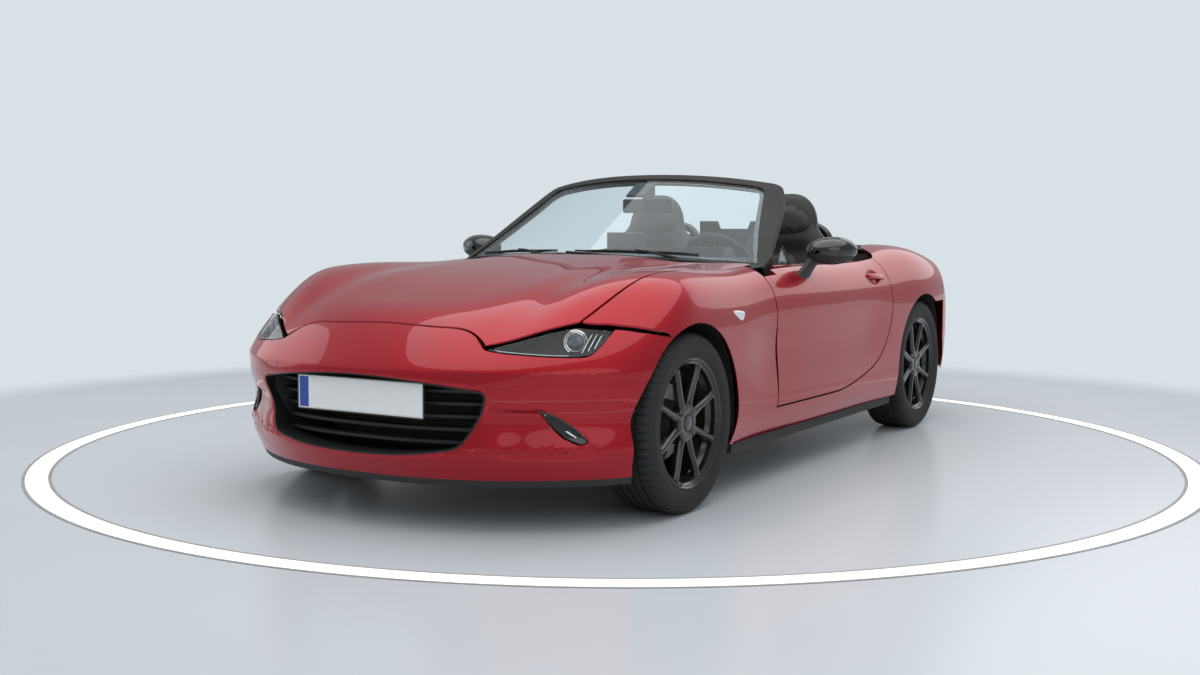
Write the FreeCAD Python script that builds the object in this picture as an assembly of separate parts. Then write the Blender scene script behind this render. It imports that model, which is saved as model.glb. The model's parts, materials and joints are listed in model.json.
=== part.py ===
import FreeCAD
import Part

import bisect
import math
import os

os.makedirs("parts", exist_ok=True)

# Open two-seat car with a folded soft top, standing on its four tyres.
# Millimetres. +X is forward, +Y is the driver's left, +Z is up.
# The origin is on the floor, under the middle of the length and width.

# Overall sizes
WHEELBASE = 2310.0
FRONT_OVERHANG = 720.0
REAR_OVERHANG = 885.0
WIDTH = 1735.0
SCREEN_TOP = 1166.0
TRACK = 1495.0
LENGTH = FRONT_OVERHANG + WHEELBASE + REAR_OVERHANG

HALF = WIDTH / 2
NOSE = LENGTH / 2
TAIL = -LENGTH / 2
FRONT_AXLE = NOSE - FRONT_OVERHANG
REAR_AXLE = FRONT_AXLE - WHEELBASE

# Wheels and tyres
TYRE_RADIUS = 300.5
TYRE_WIDTH = 195.0
RIM_RADIUS = 203.0
RIM_FLANGE = 16.0
RIM_WALL = 6.0
RIM_WIDTH = 178.0
SPOKES = 8
SPOKE_WIDTH = 26.0
HUB_RADIUS = 62.0
LUGS = 4
LUG_CIRCLE = 100.0
LUG_RADIUS = 9.0
CAP_RADIUS = 29.0
SPINDLE_RADIUS = 20.0
RIM_DROP = 13.0
SPOKE_DEPTH = 26.0
HUB_SETBACK = 5.0
MOUNT_FACE = 40.0
SPINDLE_END = 66.0
DISC_RADIUS = 129.0
DISC_THICKNESS = 20.0
DISC_Y = -20.0
CALIPER_LENGTH = 128.0
CALIPER_WALL = 16.0
RUNNING_GAP = 0.3
BRAKE_GAP = 5.0
KINGPIN_Y = 682.0
KNUCKLE_WALL = 20.0
TIE_RADIUS = 8.0
TIE_INSET = 52.0
RACK_Z = 236.0
DAMPER_HOLE = 18.0
KNUCKLE_LOW = 104.0
KNUCKLE_HIGH = 118.0
PIN_RADIUS = 9.0
EYE_RADIUS = 20.0
STEER_ARM = 118.0
ARCH_MARGIN = 31.5
LINER_MARGIN = 52.0
LINER_WALL = 3.0

WHEEL_Y = TRACK / 2
RACK_X = FRONT_AXLE - STEER_ARM + 8.0
ARCH_RADIUS = TYRE_RADIUS + ARCH_MARGIN
LINER_RADIUS = TYRE_RADIUS + LINER_MARGIN

# Panels
SKIN = 4.0
NOSE_ROUNDING = 15.5
SHUT_GAP = 7.0
SEAM_GAP = 0.6
SEAT_GAP = 0.3
DOOR_DEPTH = 112.0
DOOR_INSET = 16.0
WINDOW_SLOT = 14.0
BELT_SHELF = 796.0
MIRROR_X = 62.0
WINDOW_SLOT_DEPTH = 330.0
SILL_BOTTOM = 186.0
SILL_SEAM = 280.0
BUMPER_BOTTOM = 165.0
REAR_BUMPER_BOTTOM = 252.0
LIP_BOTTOM = 142.0
LAMP_DEPTH = 70.0
DOOR_HINGE_X = FRONT_AXLE - 780.0
DOOR_HINGE_Y = HALF - 48.0
DOOR_HINGES = (390.0, 610.0)
BELT_INSET = 117.0

# Windscreen, measured along the slope of the glass
SCREEN_BASE_X = FRONT_AXLE - 652.5
SCREEN_BASE_Z = 830.0
SCREEN_RAKE = math.radians(31.6)
SCREEN_LENGTH = (SCREEN_TOP - SCREEN_BASE_Z) / math.sin(SCREEN_RAKE)
SCREEN_FRAME_DEPTH = 34.0
SCREEN_GLASS = 5.0
HEADER_WIDTH = 34.0

COLUMN_START = 62.0
HOOP_TOP = 965.0

# Grille
SLATS = 5
SLAT_PITCH = 40.0
SLAT_HEIGHT = 10.0
SLAT_DEPTH = 34.0
SLAT_SETBACK = 60.0
SURROUND_WALL = 5.0
SURROUND_DEPTH = 78.0
PLATE_BRACKET = 26.0

# Inside
FLOOR_BOTTOM = 150.0
SHEET = 4.0
TUNNEL_HALF = 112.0
TUNNEL_TOP = 385.0
FIREWALL_X = FRONT_AXLE - 600.0
BULKHEAD_X = REAR_AXLE + 425.0
BULKHEAD_LEAN = 120.0
BULKHEAD_TOP = 820.0
TUB_HALF = HALF - 177.5
SILL_BOX_TOP = 276.0
APRON_HALF = 425.0
RAIL_INNER = 322.0
RAIL_BOTTOM = 240.0
REAR_RAIL_BOTTOM = 350.0
STRUT_TOP = 694.0
SHELF_Z = 604.0
SCUTTLE_SHELF = 745.0
POST_TOP = 735.0
POST_OUTER = HALF - 151.0
RADIATOR_X = NOSE - 330.0
WELL_HALF = HALF - 307.5
WELL_EDGE = 27.5
SEAT_Y = 345.0
STEERING_WHEEL_RADIUS = 183.0
STEERING_RIM_RADIUS = 15.0
COLUMN_TILT = math.radians(22.0)
STEERING_WHEEL_X = FIREWALL_X - 561.5
STEERING_WHEEL_Z = 751.0
COLUMN_RADIUS = 22.0
HOOP_X = BULKHEAD_X - BULKHEAD_LEAN - 27.0
BOOT_FLOOR_Z = 330.0
BOOT_WALL_TOP = 760.0
BOOT_WALL_BACK = 690.0
BOOT_HALF = WELL_HALF - 90.0
DECK_BACK = REAR_AXLE - 285.0
DOOR_CLEAR_Y = HALF - 152.5
DOOR_CLEARANCE = 6.0
DOOR_FRONT_FLANGE = HALF - 88.5
PILLAR_FOOT_X = FRONT_AXLE - 803.5

# Hinges
BONNET_HINGE_X = FRONT_AXLE - 807.5
BONNET_HINGE_Y = 640.0
BONNET_HINGE_Z = 745.0
BOOT_HINGE_X = REAR_AXLE - 174.5
BOOT_HINGE_Y = 480.0
BOOT_HINGE_Z = 825.0
BOOT_WALL_X = REAR_AXLE - 155.0
HINGE_PIN_RADIUS = 6.0
HINGE_PLATE = 8.0
HINGE_ARM_WIDTH = 16.0

# Number plate
PLATE_LENGTH = 520.0
PLATE_HEIGHT = 110.0
PLATE_THICKNESS = 3.0
PLATE_X = NOSE - 40.5
PLATE_Z = 408.0

V = FreeCAD.Vector


# Curves of the body

def spline(points):
    """Natural cubic through the points, carried on in straight lines past its ends."""
    points = sorted(points)
    xs = [p[0] for p in points]
    ys = [p[1] for p in points]
    count = len(xs)
    step = [xs[i + 1] - xs[i] for i in range(count - 1)]
    upper = [0.0] * count
    right = [0.0] * count
    bend = [0.0] * count
    for i in range(1, count - 1):
        slope_change = (ys[i + 1] - ys[i]) / step[i] - (ys[i] - ys[i - 1]) / step[i - 1]
        pivot = 2 * (step[i - 1] + step[i]) - step[i - 1] * upper[i - 1]
        upper[i] = step[i] / pivot
        right[i] = (6 * slope_change - step[i - 1] * right[i - 1]) / pivot
    for i in range(count - 2, 0, -1):
        bend[i] = right[i] - upper[i] * bend[i + 1]
    first = (ys[1] - ys[0]) / step[0] - step[0] * bend[1] / 6
    last = (ys[-1] - ys[-2]) / step[-1] + step[-1] * bend[-2] / 6

    def value(x):
        if x <= xs[0]:
            return ys[0] + first * (x - xs[0])
        if x >= xs[-1]:
            return ys[-1] + last * (x - xs[-1])
        i = bisect.bisect_right(xs, x) - 1
        a = (xs[i + 1] - x) / step[i]
        b = 1 - a
        curve = (a ** 3 - a) * bend[i] + (b ** 3 - b) * bend[i + 1]
        return a * ys[i] + b * ys[i + 1] + curve * step[i] ** 2 / 6

    return value


def blend(a, b, width):
    """The larger of two values, with a smooth change over where they are within a width."""
    near = max(width - abs(a - b), 0.0) / width
    return max(a, b) + near ** 3 * width / 6


def bump(distance, width):
    """A smooth hill of height one."""
    return math.exp(-(distance / width) ** 2)


def ramp(value, low, high):
    """A smooth step from nought to one."""
    s = min(max((value - low) / (high - low), 0.0), 1.0)
    return s * s * s * (s * (s * 6 - 15) + 10)


# Height along the middle of the car
centre_height = spline([
    (NOSE + 60, 470), (NOSE - 57, 560), (NOSE - 157, 632), (FRONT_AXLE + 362, 706),
    (FRONT_AXLE + 162, 753), (FRONT_AXLE - 38, 787), (FRONT_AXLE - 238, 812), (FRONT_AXLE - 438, 830),
    (FRONT_AXLE - 638, 842), (FRONT_AXLE - 938, 850), (REAR_AXLE + 1072, 855), (REAR_AXLE + 672, 856),
    (REAR_AXLE + 372, 862), (REAR_AXLE + 72, 866), (REAR_AXLE - 228, 862), (REAR_AXLE - 528, 850),
    (REAR_AXLE - 778, 832), (TAIL - 40, 806)])
# Height along the top of the wings, doors and haunches
crest_height = spline([
    (NOSE + 60, 420), (NOSE - 107, 560), (FRONT_AXLE + 462, 655), (FRONT_AXLE + 262, 745),
    (FRONT_AXLE + 62, 790), (FRONT_AXLE - 138, 804), (FRONT_AXLE - 338, 802), (FRONT_AXLE - 538, 800),
    (FRONT_AXLE - 738, 808), (FRONT_AXLE - 1038, 815), (REAR_AXLE + 872, 815), (REAR_AXLE + 472, 826),
    (REAR_AXLE + 222, 852), (REAR_AXLE - 28, 860), (REAR_AXLE - 278, 832), (REAR_AXLE - 528, 782),
    (REAR_AXLE - 778, 722), (TAIL - 40, 700)])
# How far in from the full half width the crest runs
crest_inset = spline([
    (NOSE, 307), (FRONT_AXLE + 362, 217), (FRONT_AXLE, 167), (FRONT_AXLE - 438, 137),
    (FRONT_AXLE - 838, 132), (REAR_AXLE + 772, 132), (REAR_AXLE + 372, 152), (REAR_AXLE, 187),
    (REAR_AXLE - 428, 227), (TAIL, 287)])
# How far in from the full half width the sides run, seen from above
side_inset = spline([
    (NOSE, 77), (FRONT_AXLE + 562, 45), (FRONT_AXLE + 362, 22), (FRONT_AXLE, 3),
    (FRONT_AXLE - 288, 15), (FRONT_AXLE - 538, 24), (FRONT_AXLE - 938, 21), (REAR_AXLE + 972, 19),
    (REAR_AXLE + 572, 17), (REAR_AXLE + 272, 9), (REAR_AXLE, 0), (REAR_AXLE - 328, 19),
    (REAR_AXLE - 628, 72), (TAIL, 162)])


def top_height(x, y):
    """Height of the upper surfaces, from the middle out to the crest."""
    across = abs(y)
    crest_y = HALF - crest_inset(x)
    share = ramp(across / crest_y, 0.15, 1.0)
    z = centre_height(x) * (1 - share) + crest_height(x) * share
    along = ramp(x, FRONT_AXLE - 738, FRONT_AXLE - 338) * (1 - ramp(x, NOSE - 307, NOSE - 57))
    return z - 14 * along * bump(across - (HALF - 397), 90)


def side_width(x, z):
    """Half width of the sides, drawn in towards the top and under the doors."""
    width = HALF - side_inset(x)
    width -= 70 * (max(z - 560, 0) / 300) ** 2
    width -= 30 * (max(330 - z, 0) / 150) ** 2
    door = ramp(x, REAR_AXLE + 272, REAR_AXLE + 772) * (1 - ramp(x, FRONT_AXLE - 738, FRONT_AXLE - 288))
    return width - 16 * door * bump(z - 500, 120)


def front_face(y, z):
    """How far forward the nose reaches."""
    across = abs(y)
    x = NOSE + NOSE_ROUNDING - 300 * (across / 800) ** 2.6 - 28 * (across / 500) ** 2
    x -= 30 * bump(z - 350, 70)
    x -= 0.36 * max(z - 500, 0) ** 1.2
    return x - 0.55 * max(260 - z, 0)


def rear_face(y, z):
    """How far back the tail reaches."""
    across = abs(y)
    x = TAIL + 330 * (across / 800) ** 2.6 + 20 * (across / 500) ** 2
    return x + 0.25 * max(z - 560, 0) + 0.35 * max(420 - z, 0)


def outside(p):
    """Below nought inside the painted body, nought on its surface."""
    g = blend(p.z - top_height(p.x, p.y), abs(p.y) - side_width(p.x, p.z), 230)
    g = blend(g, p.x - front_face(p.y, p.z), 150)
    return blend(g, rear_face(p.y, p.z) - p.x, 120)


def cast(origin, direction, reach=1400.0):
    """The point of the surface along a ray that starts inside, with the outward direction there."""
    near = 0.0
    far = reach
    for _ in range(30):
        middle = (near + far) / 2
        if outside(origin + direction * middle) > 0:
            far = middle
        else:
            near = middle
    p = origin + direction * near
    step = 0.5
    slope = V(outside(p + V(step, 0, 0)) - outside(p - V(step, 0, 0)),
              outside(p + V(0, step, 0)) - outside(p - V(0, step, 0)),
              outside(p + V(0, 0, step)) - outside(p - V(0, 0, step)))
    slope.normalize()
    return p, slope


# Ways to sweep rays over a region of the body

def deck_ray(x, y):
    """Straight up from inside, for the decks."""
    return V(x, y, 300), V(0, 0, 1)


def bonnet_ray(x, share):
    """Straight up from inside, fanning in towards the nose."""
    reach = HALF - 147 - 280 * ramp(x, FRONT_AXLE + 180, NOSE)
    return V(x, reach * share, 300), V(0, 0, 1)


def side_ray(x, angle):
    """From a line inside the left flank, turning from underneath to overhead."""
    return V(x, HALF - 307, 480), V(0, math.cos(angle), math.sin(angle))


def nose_ray(share, pitch):
    """From inside the nose, turning from one flank round to the other."""
    turn = math.radians(88) * share
    flat = math.cos(pitch)
    origin = V(FRONT_AXLE + 112, (HALF - 517) * share, 400)
    return origin, V(flat * math.cos(turn), flat * math.sin(turn), math.sin(pitch))


def tail_ray(share, pitch):
    """From inside the tail, turning from one flank round to the other."""
    turn = math.radians(88) * share
    flat = math.cos(pitch)
    origin = V(REAR_AXLE - 300, (HALF - 517) * share, 430)
    return origin, V(-flat * math.cos(turn), flat * math.sin(turn), math.sin(pitch))


def lid_ray(y, angle):
    """From inside the boot, turning from overhead to backwards."""
    return V(REAR_AXLE - 378, y, 480), V(math.cos(angle), 0, math.sin(angle))


def spread(low, high, count):
    """Evenly spaced values from low to high."""
    return [low + (high - low) * i / (count - 1) for i in range(count)]


def surface(rows):
    sheet = Part.BSplineSurface()
    sheet.interpolate(rows)
    return sheet


def borders(sheet):
    u0, u1, v0, v1 = sheet.bounds()
    return [sheet.uIso(u0), sheet.uIso(u1), sheet.vIso(v0), sheet.vIso(v1)]


def slab_between(outer_rows, inner_rows):
    """Closed solid between two sheets of points."""
    outer = surface(outer_rows)
    inner = surface(inner_rows)
    faces = [outer.toShape(), inner.toShape()]
    for a, b in zip(borders(outer), borders(inner)):
        faces.append(Part.makeRuledSurface(a.toShape(), b.toShape()))
    shell = Part.makeShell(faces)
    shell.sewShape()
    solid = Part.makeSolid(shell)
    if solid.Volume < 0:
        solid.reverse()
    return solid


def slab(ray, us, vs, depth=SKIN, below=0.0):
    """Closed solid that follows the body's surface, from one depth under it to another."""
    outer = []
    inner = []
    for u in us:
        hits = [cast(*ray(u, v)) for v in vs]
        outer.append([p - n * below for p, n in hits])
        inner.append([p - n * (below + depth) for p, n in hits])
    return slab_between(outer, inner)


# Outlines

PLANES = {
    "xy": (lambda a, b, c: V(a, b, c), V(0, 0, 1)),
    "xz": (lambda a, b, c: V(a, c, b), V(0, 1, 0)),
    "yz": (lambda a, b, c: V(c, a, b), V(1, 0, 0)),
}


def grown(runs, distance):
    """A closed outline moved outwards, or inwards for a distance below nought."""
    loop = []
    for run in runs:
        for point in run:
            if not loop or math.dist(loop[-1], point) > 1e-6:
                loop.append(point)
    if math.dist(loop[0], loop[-1]) < 1e-6:
        loop.pop()
    count = len(loop)
    area = sum(loop[i - 1][0] * loop[i][1] - loop[i][0] * loop[i - 1][1] for i in range(count))
    sign = 1 if area > 0 else -1
    shifted = {}
    for i, (a, b) in enumerate(loop):
        before = loop[i - 1]
        after = loop[(i + 1) % count]
        first = math.atan2(b - before[1], a - before[0])
        second = math.atan2(after[1] - b, after[0] - a)
        normal = (sign * (math.sin(first) + math.sin(second)), -sign * (math.cos(first) + math.cos(second)))
        scale = distance / (1 + math.cos(first - second))
        shifted[(a, b)] = (a + normal[0] * scale, b + normal[1] * scale)
    return [[shifted[point] for point in run] for run in runs]


def prism(plane, runs, low, high):
    """Solid over a closed outline of smooth runs that meet end to end."""
    place, way = PLANES[plane]
    edges = []
    start = None
    for run in runs:
        points = [place(a, b, low) for a, b in run]
        if start is not None and start.distanceToPoint(points[0]) > 1e-6:
            edges.append(Part.LineSegment(start, points[0]).toShape())
        if len(points) == 2:
            edges.append(Part.LineSegment(points[0], points[1]).toShape())
        elif len(points) > 2:
            curve = Part.BSplineCurve()
            curve.interpolate(points)
            edges.append(curve.toShape())
        start = points[-1]
    first = edges[0].Vertexes[0].Point
    if start.distanceToPoint(first) > 1e-6:
        edges.append(Part.LineSegment(start, first).toShape())
    return Part.Face(Part.Wire(edges)).extrude(way * (high - low))


def polygon(*points):
    """A straight-sided outline."""
    closed = list(points) + [points[0]]
    return [[closed[i], closed[i + 1]] for i in range(len(points))]


def mirrored(runs):
    """The other half of an outline, in the order that carries it on."""
    return [[(a, -b) for a, b in reversed(run)] for run in reversed(runs)]


def across(runs):
    """The other half of an outline drawn over the width, in the order that carries it on."""
    return [[(-a, b) for a, b in reversed(run)] for run in reversed(runs)]


# Small helpers

def box(x0, x1, y0, y1, z0, z1):
    return Part.makeBox(x1 - x0, y1 - y0, z1 - z0, V(x0, y0, z0))


def rod(start, end, radius):
    return Part.makeCylinder(radius, start.distanceToPoint(end), start, end - start)


def other_side(shape):
    return shape.mirror(V(0, 0, 0), V(0, 1, 0))


def joined(*shapes):
    whole = shapes[0].fuse(list(shapes[1:])) if len(shapes) > 1 else shapes[0]
    return whole.removeSplitter()


def solids(*shapes):
    """All solids of the shapes in one compound."""
    found = []
    for shape in shapes:
        found += [piece for piece in shape.Solids if piece.Volume > 1]
    return Part.makeCompound(found)


def main_solid(shape):
    """The largest solid, where a cut leaves crumbs."""
    return max(shape.Solids, key=lambda piece: piece.Volume)


def write(name, shape):
    shape.exportStep("parts/" + name + ".step")
    print(name, len(shape.Solids), round(shape.Volume / 1e6, 2), "dm3", shape.isValid())


# Shut lines and seams, each written once for the two panels that meet there

def bonnet_runs():
    """Bonnet outline seen from above, left half: front, lamp, wing and rear edges."""
    a = FRONT_AXLE
    front = [(NOSE - 174, 0), (NOSE - 174, 223), (NOSE - 183, 328), (NOSE - 172, 373), (NOSE - 152, 416)]
    lamp = [(NOSE - 152, 416), (NOSE - 179, 452), (NOSE - 240, 522), (NOSE - 293, 580), (NOSE - 349, 636)]
    wing = [(NOSE - 349, 636), (a + 289, HALF - 206), (a + 200, HALF - 186), (a + 85, HALF - 171),
            (a - 87, HALF - 163), (a - 337, HALF - 161), (a - 587, HALF - 164), (a - 748, HALF - 174)]
    rear = [(a - 748, HALF - 174), (a - 762, HALF - 192), (a - 748, 652), (a - 692, 590), (a - 627, 520),
            (a - 577, 400), (a - 545, 220), (a - 535, 0)]
    return [front, lamp, wing, rear]


def bonnet_outline():
    front, lamp, wing, rear = bonnet_runs()
    whole_front = mirrored([front[1:]])[0] + front
    whole_rear = rear + mirrored([rear[:-1]])[0]
    return [whole_front, lamp, wing, whole_rear] + mirrored([lamp, wing])


def door_outline():
    """Door outline seen from the side."""
    a = FRONT_AXLE
    b = REAR_AXLE
    front = [(a - 686, 900), (a - 683, 658), (a - 690, 564), (a - 697, 451), (a - 691, 360), (a - 682, 279)]
    bottom = [(a - 682, 279), (b + 1023, 278)]
    rear = [(b + 1023, 278), (b + 909, 290), (b + 727, 323), (b + 557, 380), (b + 461, 468), (b + 416, 577),
            (b + 411, 665), (b + 422, 745), (b + 424, 900)]
    return [front, bottom, rear, [(b + 424, 900), (a - 686, 900)]]


def lamp_outline():
    """Left headlamp seen from the front."""
    lower = [(418, 566), (466, 558), (525, 553), (580, 549), (631, 546), (678, 545), (704, 550), (716, 566),
             (724, 592), (731, 625)]
    upper = [(731, 625), (700, 629), (663, 633), (636, 637), (580, 622), (522, 603), (452, 580), (418, 566)]
    return [lower, upper]


def grille_outline():
    """Mouth of the bumper seen from the front."""
    top = [(-435, 447), (-289, 467), (0, 484), (289, 467), (435, 447)]
    left = [(435, 447), (459, 431), (455, 408), (414, 324), (393, 285), (352, 260)]
    bottom = [(352, 260), (240, 243), (0, 232), (-240, 243), (-352, 260)]
    return [top, left, bottom, across([left])[0]]


def slot_outline():
    """Running lamp slot in the left corner of the bumper, seen from the front."""
    upper = [(588, 386), (630, 366), (675, 330), (713, 290)]
    lower = [(713, 290), (700, 279), (655, 300), (618, 338), (588, 386)]
    return [upper, lower]


def boot_outline():
    """Boot lid outline seen from above."""
    b = REAR_AXLE
    side = [(b - 258, 430), (b - 275, 520), (b - 320, 566), (b - 400, 578), (b - 600, 560), (b - 760, 524)]
    front = [(b - 258, -430), (b - 244, -220), (b - 240, 0), (b - 244, 220), (b - 258, 430)]
    back = [(b - 760, 524), (TAIL - 60, 500), (TAIL - 60, -500), (b - 760, -524)]
    return [front, side, [back[0], back[1]], [back[1], back[2]], [back[2], back[3]], mirrored([side])[0]]


def tail_lamp_outline():
    """Left tail lamp seen from behind."""
    inner = [(660, 626), (600, 604), (545, 618), (521, 662), (540, 708), (590, 728)]
    outer = [(590, 728), (650, 722), (712, 700), (752, 668)]
    lower = [(752, 668), (715, 640), (660, 626)]
    return [inner, outer, lower]


BOOT_BOTTOM = 632.0
WING_SEAM_Z = 598.0
TAIL_SEAM_Z = 590.0


def bumper_top(gap):
    """Area of the front bumper seen from the front, up to the panels above it."""
    lower_lamp = lamp_outline()[0]
    half = [(0, 632), (110, 630), (223, 625), (328, 615), (373, 597), (408, 573)]
    corner = [(731, 625), (757, 622), (783, 616), (826, 605), (845, WING_SEAM_Z)]
    side = [lower_lamp, corner, [(845, WING_SEAM_Z), (960, WING_SEAM_Z)], [(960, WING_SEAM_Z), (960, 0)]]
    top = across([half[1:] + lower_lamp[:1]])[0] + half + lower_lamp[:1]
    return grown([top] + side + [[(960, 0), (-960, 0)]] + across(side), -gap)


# Painted panels

def make_bonnet():
    skin = slab(bonnet_ray, spread(FRONT_AXLE - 880, NOSE - 130, 25), spread(-1, 1, 45))
    skin = skin.common(prism("xy", grown(bonnet_outline(), -SHUT_GAP / 2), 0, 1200))
    x = BONNET_HINGE_X
    y = BONNET_HINGE_Y
    under = slab(deck_ray, spread(x - 40, x + 190, 4), spread(y - 30, y + 30, 3), 160, SKIN / 2)
    points = [(0, 0), (60, -36), (118, -30), (148, 10), (152, 90)]
    hinge = gooseneck(x, y, BONNET_HINGE_Z, 1, points, HINGE_ARM_WIDTH).common(under)
    return main_solid(joined(main_solid(skin), hinge, other_side(hinge)))


def make_wing():
    a = FRONT_AXLE
    skin = slab(side_ray, spread(a - 720, a + 420, 25), [math.radians(d) for d in spread(-44, 84, 19)])
    bonnet = bonnet_runs()
    lamp = [(NOSE - 349, 636), (NOSE - 364, 663), (NOSE - 394, 700), (NOSE - 419, 731)]
    seam = [(NOSE - 419, 731), (NOSE - 469, 783), (NOSE - 521, 826), (NOSE - 551, 843),
            (NOSE - 580, HALF + 60)]
    side = [bonnet[2][::-1], lamp, seam, [(NOSE - 580, HALF + 60), (a - 748, HALF + 60)],
            [(a - 748, HALF + 60), (a - 748, HALF - 174)]]
    skin = skin.common(prism("xy", grown(side, -SHUT_GAP / 2), 0, 1200))
    skin = skin.cut(prism("xz", grown(door_outline(), SHUT_GAP / 2), 0, HALF + 60))
    skin = skin.cut(box(a - 900, a - 683, 0, HALF + 60, 0, 1200))
    skin = skin.cut(box(a - 900, NOSE, 0, HALF + 60, 0, SILL_SEAM + SEAM_GAP / 2))
    skin = skin.cut(prism("yz", bumper_top(-SEAM_GAP / 2), a + 60, NOSE))
    skin = skin.cut(prism("yz", grown(lamp_outline(), SHUT_GAP / 2), a + 120, NOSE))
    return main_solid(skin.cut(arch(a)))


def arch(axle, radius=ARCH_RADIUS):
    """Round space about a wheel on the left."""
    return Part.makeCylinder(radius, HALF, V(axle, HALF - 307, TYRE_RADIUS), V(0, 1, 0))


def make_side():
    a = FRONT_AXLE
    b = REAR_AXLE
    rows = spread(b - 640, b - 260, 14) + spread(b - 220, a - 260, 32)
    skin = slab(side_ray, rows, [math.radians(d) for d in spread(-52, 97, 29)])
    boot = grown(boot_outline(), SHUT_GAP / 2)
    skin = skin.cut(prism("xz", grown(door_outline(), SHUT_GAP / 2), 0, HALF + 60))
    skin = skin.cut(box(a - 700, a, 0, HALF + 60, SILL_SEAM - SEAM_GAP / 2, 1200))
    skin = skin.cut(box(b - 900, a, 0, HALF + 60, 0, SILL_BOTTOM))
    skin = skin.cut(arch(a))
    skin = skin.cut(arch(b))
    skin = skin.cut(prism("xy", boot, 0, 1200))
    skin = skin.cut(prism("xy", cockpit_outline(), 0, 1200))
    skin = skin.cut(prism("yz", rear_bumper_top(SEAM_GAP / 2), TAIL - 60, b))
    skin = skin.cut(prism("yz", grown(tail_lamp_outline(), SEAM_GAP / 2), TAIL - 60, b))
    return main_solid(skin.cut(box(DECK_BACK, b, 0, WELL_HALF + WELL_EDGE, 0, 1200)))


def cockpit_outline():
    """Open top of the cabin and of the soft top's well, left half, seen from above."""
    b = REAR_AXLE
    edge = [(b + 436, HALF - BELT_INSET), (b + 372, HALF - 133), (b + 272, HALF - 215),
            (b + 172, WELL_HALF + 45.5), (b - 28, WELL_HALF + 32.5), (b - 118, WELL_HALF + WELL_EDGE)]
    return [[(b + 436, 0), edge[0]], edge, [edge[-1], (b - 118, 0)], [(b - 118, 0), (b + 436, 0)]]


def make_door():
    """Outer skin, inner shell with its window slot, and the two hinge leaves, joined."""
    a = FRONT_AXLE
    b = REAR_AXLE
    pitch = [math.radians(d) for d in spread(-42, 80, 16)]
    rows = spread(b + 380, a - 640, 21)
    belt = HALF - BELT_INSET + 1
    face = prism("xz", grown(door_outline(), -SHUT_GAP / 2), 0, HALF + 60)
    skin = slab(side_ray, rows, pitch).common(face)
    skin = skin.cut(box(PILLAR_FOOT_X, a, 0, DOOR_FRONT_FLANGE, 700, 1200))
    skin = main_solid(skin.common(box(b, a, belt, HALF + 60, 0, 1200)))
    core = slab(side_ray, rows, pitch, 240, SKIN / 2)
    core = core.common(prism("xz", grown(door_outline(), -DOOR_INSET - SHUT_GAP / 2), 0, HALF + 60))
    core = core.common(box(b, DOOR_HINGE_X - 14, HALF - DOOR_DEPTH - 46, HALF + 60, 0, 1200))
    core = core.cut(box(b, a, 0, belt - 26, 620, 1200))
    slot_y = belt - 14
    slot_bottom = 780 - WINDOW_SLOT_DEPTH
    core = core.cut(box(b + 470, DOOR_HINGE_X - 80, slot_y, slot_y + WINDOW_SLOT, slot_bottom, 1200))
    core = core.cut(box(b, a, 0, belt, BELT_SHELF, 1200))
    core = core.cut(box(PILLAR_FOOT_X - 60, a, 0, belt + 1, 700, 1200))
    leaves = []
    for z in DOOR_HINGES:
        pin = V(DOOR_HINGE_X, DOOR_HINGE_Y, z)
        leaf = box(DOOR_HINGE_X - 40, DOOR_HINGE_X, DOOR_HINGE_Y - 10, DOOR_HINGE_Y, z, z + HINGE_PLATE)
        leaves.append(leaf.fuse(Part.makeCylinder(HINGE_PIN_RADIUS + 4, HINGE_PLATE, pin)))
    whole = joined(skin, main_solid(core), *leaves)
    for z in DOOR_HINGES:
        start = V(DOOR_HINGE_X, DOOR_HINGE_Y, z - 20)
        whole = whole.cut(Part.makeCylinder(HINGE_PIN_RADIUS + RUNNING_GAP, 50, start))
    return main_solid(whole)


def make_front_bumper():
    skin = slab(nose_ray, spread(-1, 1, 33), [math.radians(d) for d in spread(-30, 34, 17)])
    skin = skin.common(prism("yz", bumper_top(SEAM_GAP / 2), FRONT_AXLE, NOSE + 60))
    skin = skin.cut(box(0, NOSE + 60, -HALF, HALF, 0, BUMPER_BOTTOM))
    skin = skin.cut(prism("yz", grown(grille_outline(), SEAM_GAP), FRONT_AXLE, NOSE + 60))
    opening = prism("yz", grown(slot_outline(), SEAM_GAP), FRONT_AXLE, NOSE + 60)
    skin = skin.cut(opening)
    skin = skin.cut(other_side(opening))
    skin = skin.cut(prism("xy", grown(bonnet_outline(), SHUT_GAP / 2), 0, 1200))
    skin = skin.cut(arch(FRONT_AXLE))
    return main_solid(skin.cut(other_side(arch(FRONT_AXLE))))


def rear_bumper_top(gap):
    """Area of the rear bumper seen from behind, up to the panels above it, grown by a gap."""
    corner = [(470, BOOT_BOTTOM), (508, BOOT_BOTTOM - 8), (540, 600)]
    edge = [(540, 600), (760, TAIL_SEAM_Z)]
    side = [corner, edge, [(760, TAIL_SEAM_Z), (960, TAIL_SEAM_Z)], [(960, TAIL_SEAM_Z), (960, 0)]]
    top = [[(-470, BOOT_BOTTOM), (470, BOOT_BOTTOM)]]
    return grown(top + side + [[(960, 0), (-960, 0)]] + across(side), gap)


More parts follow.
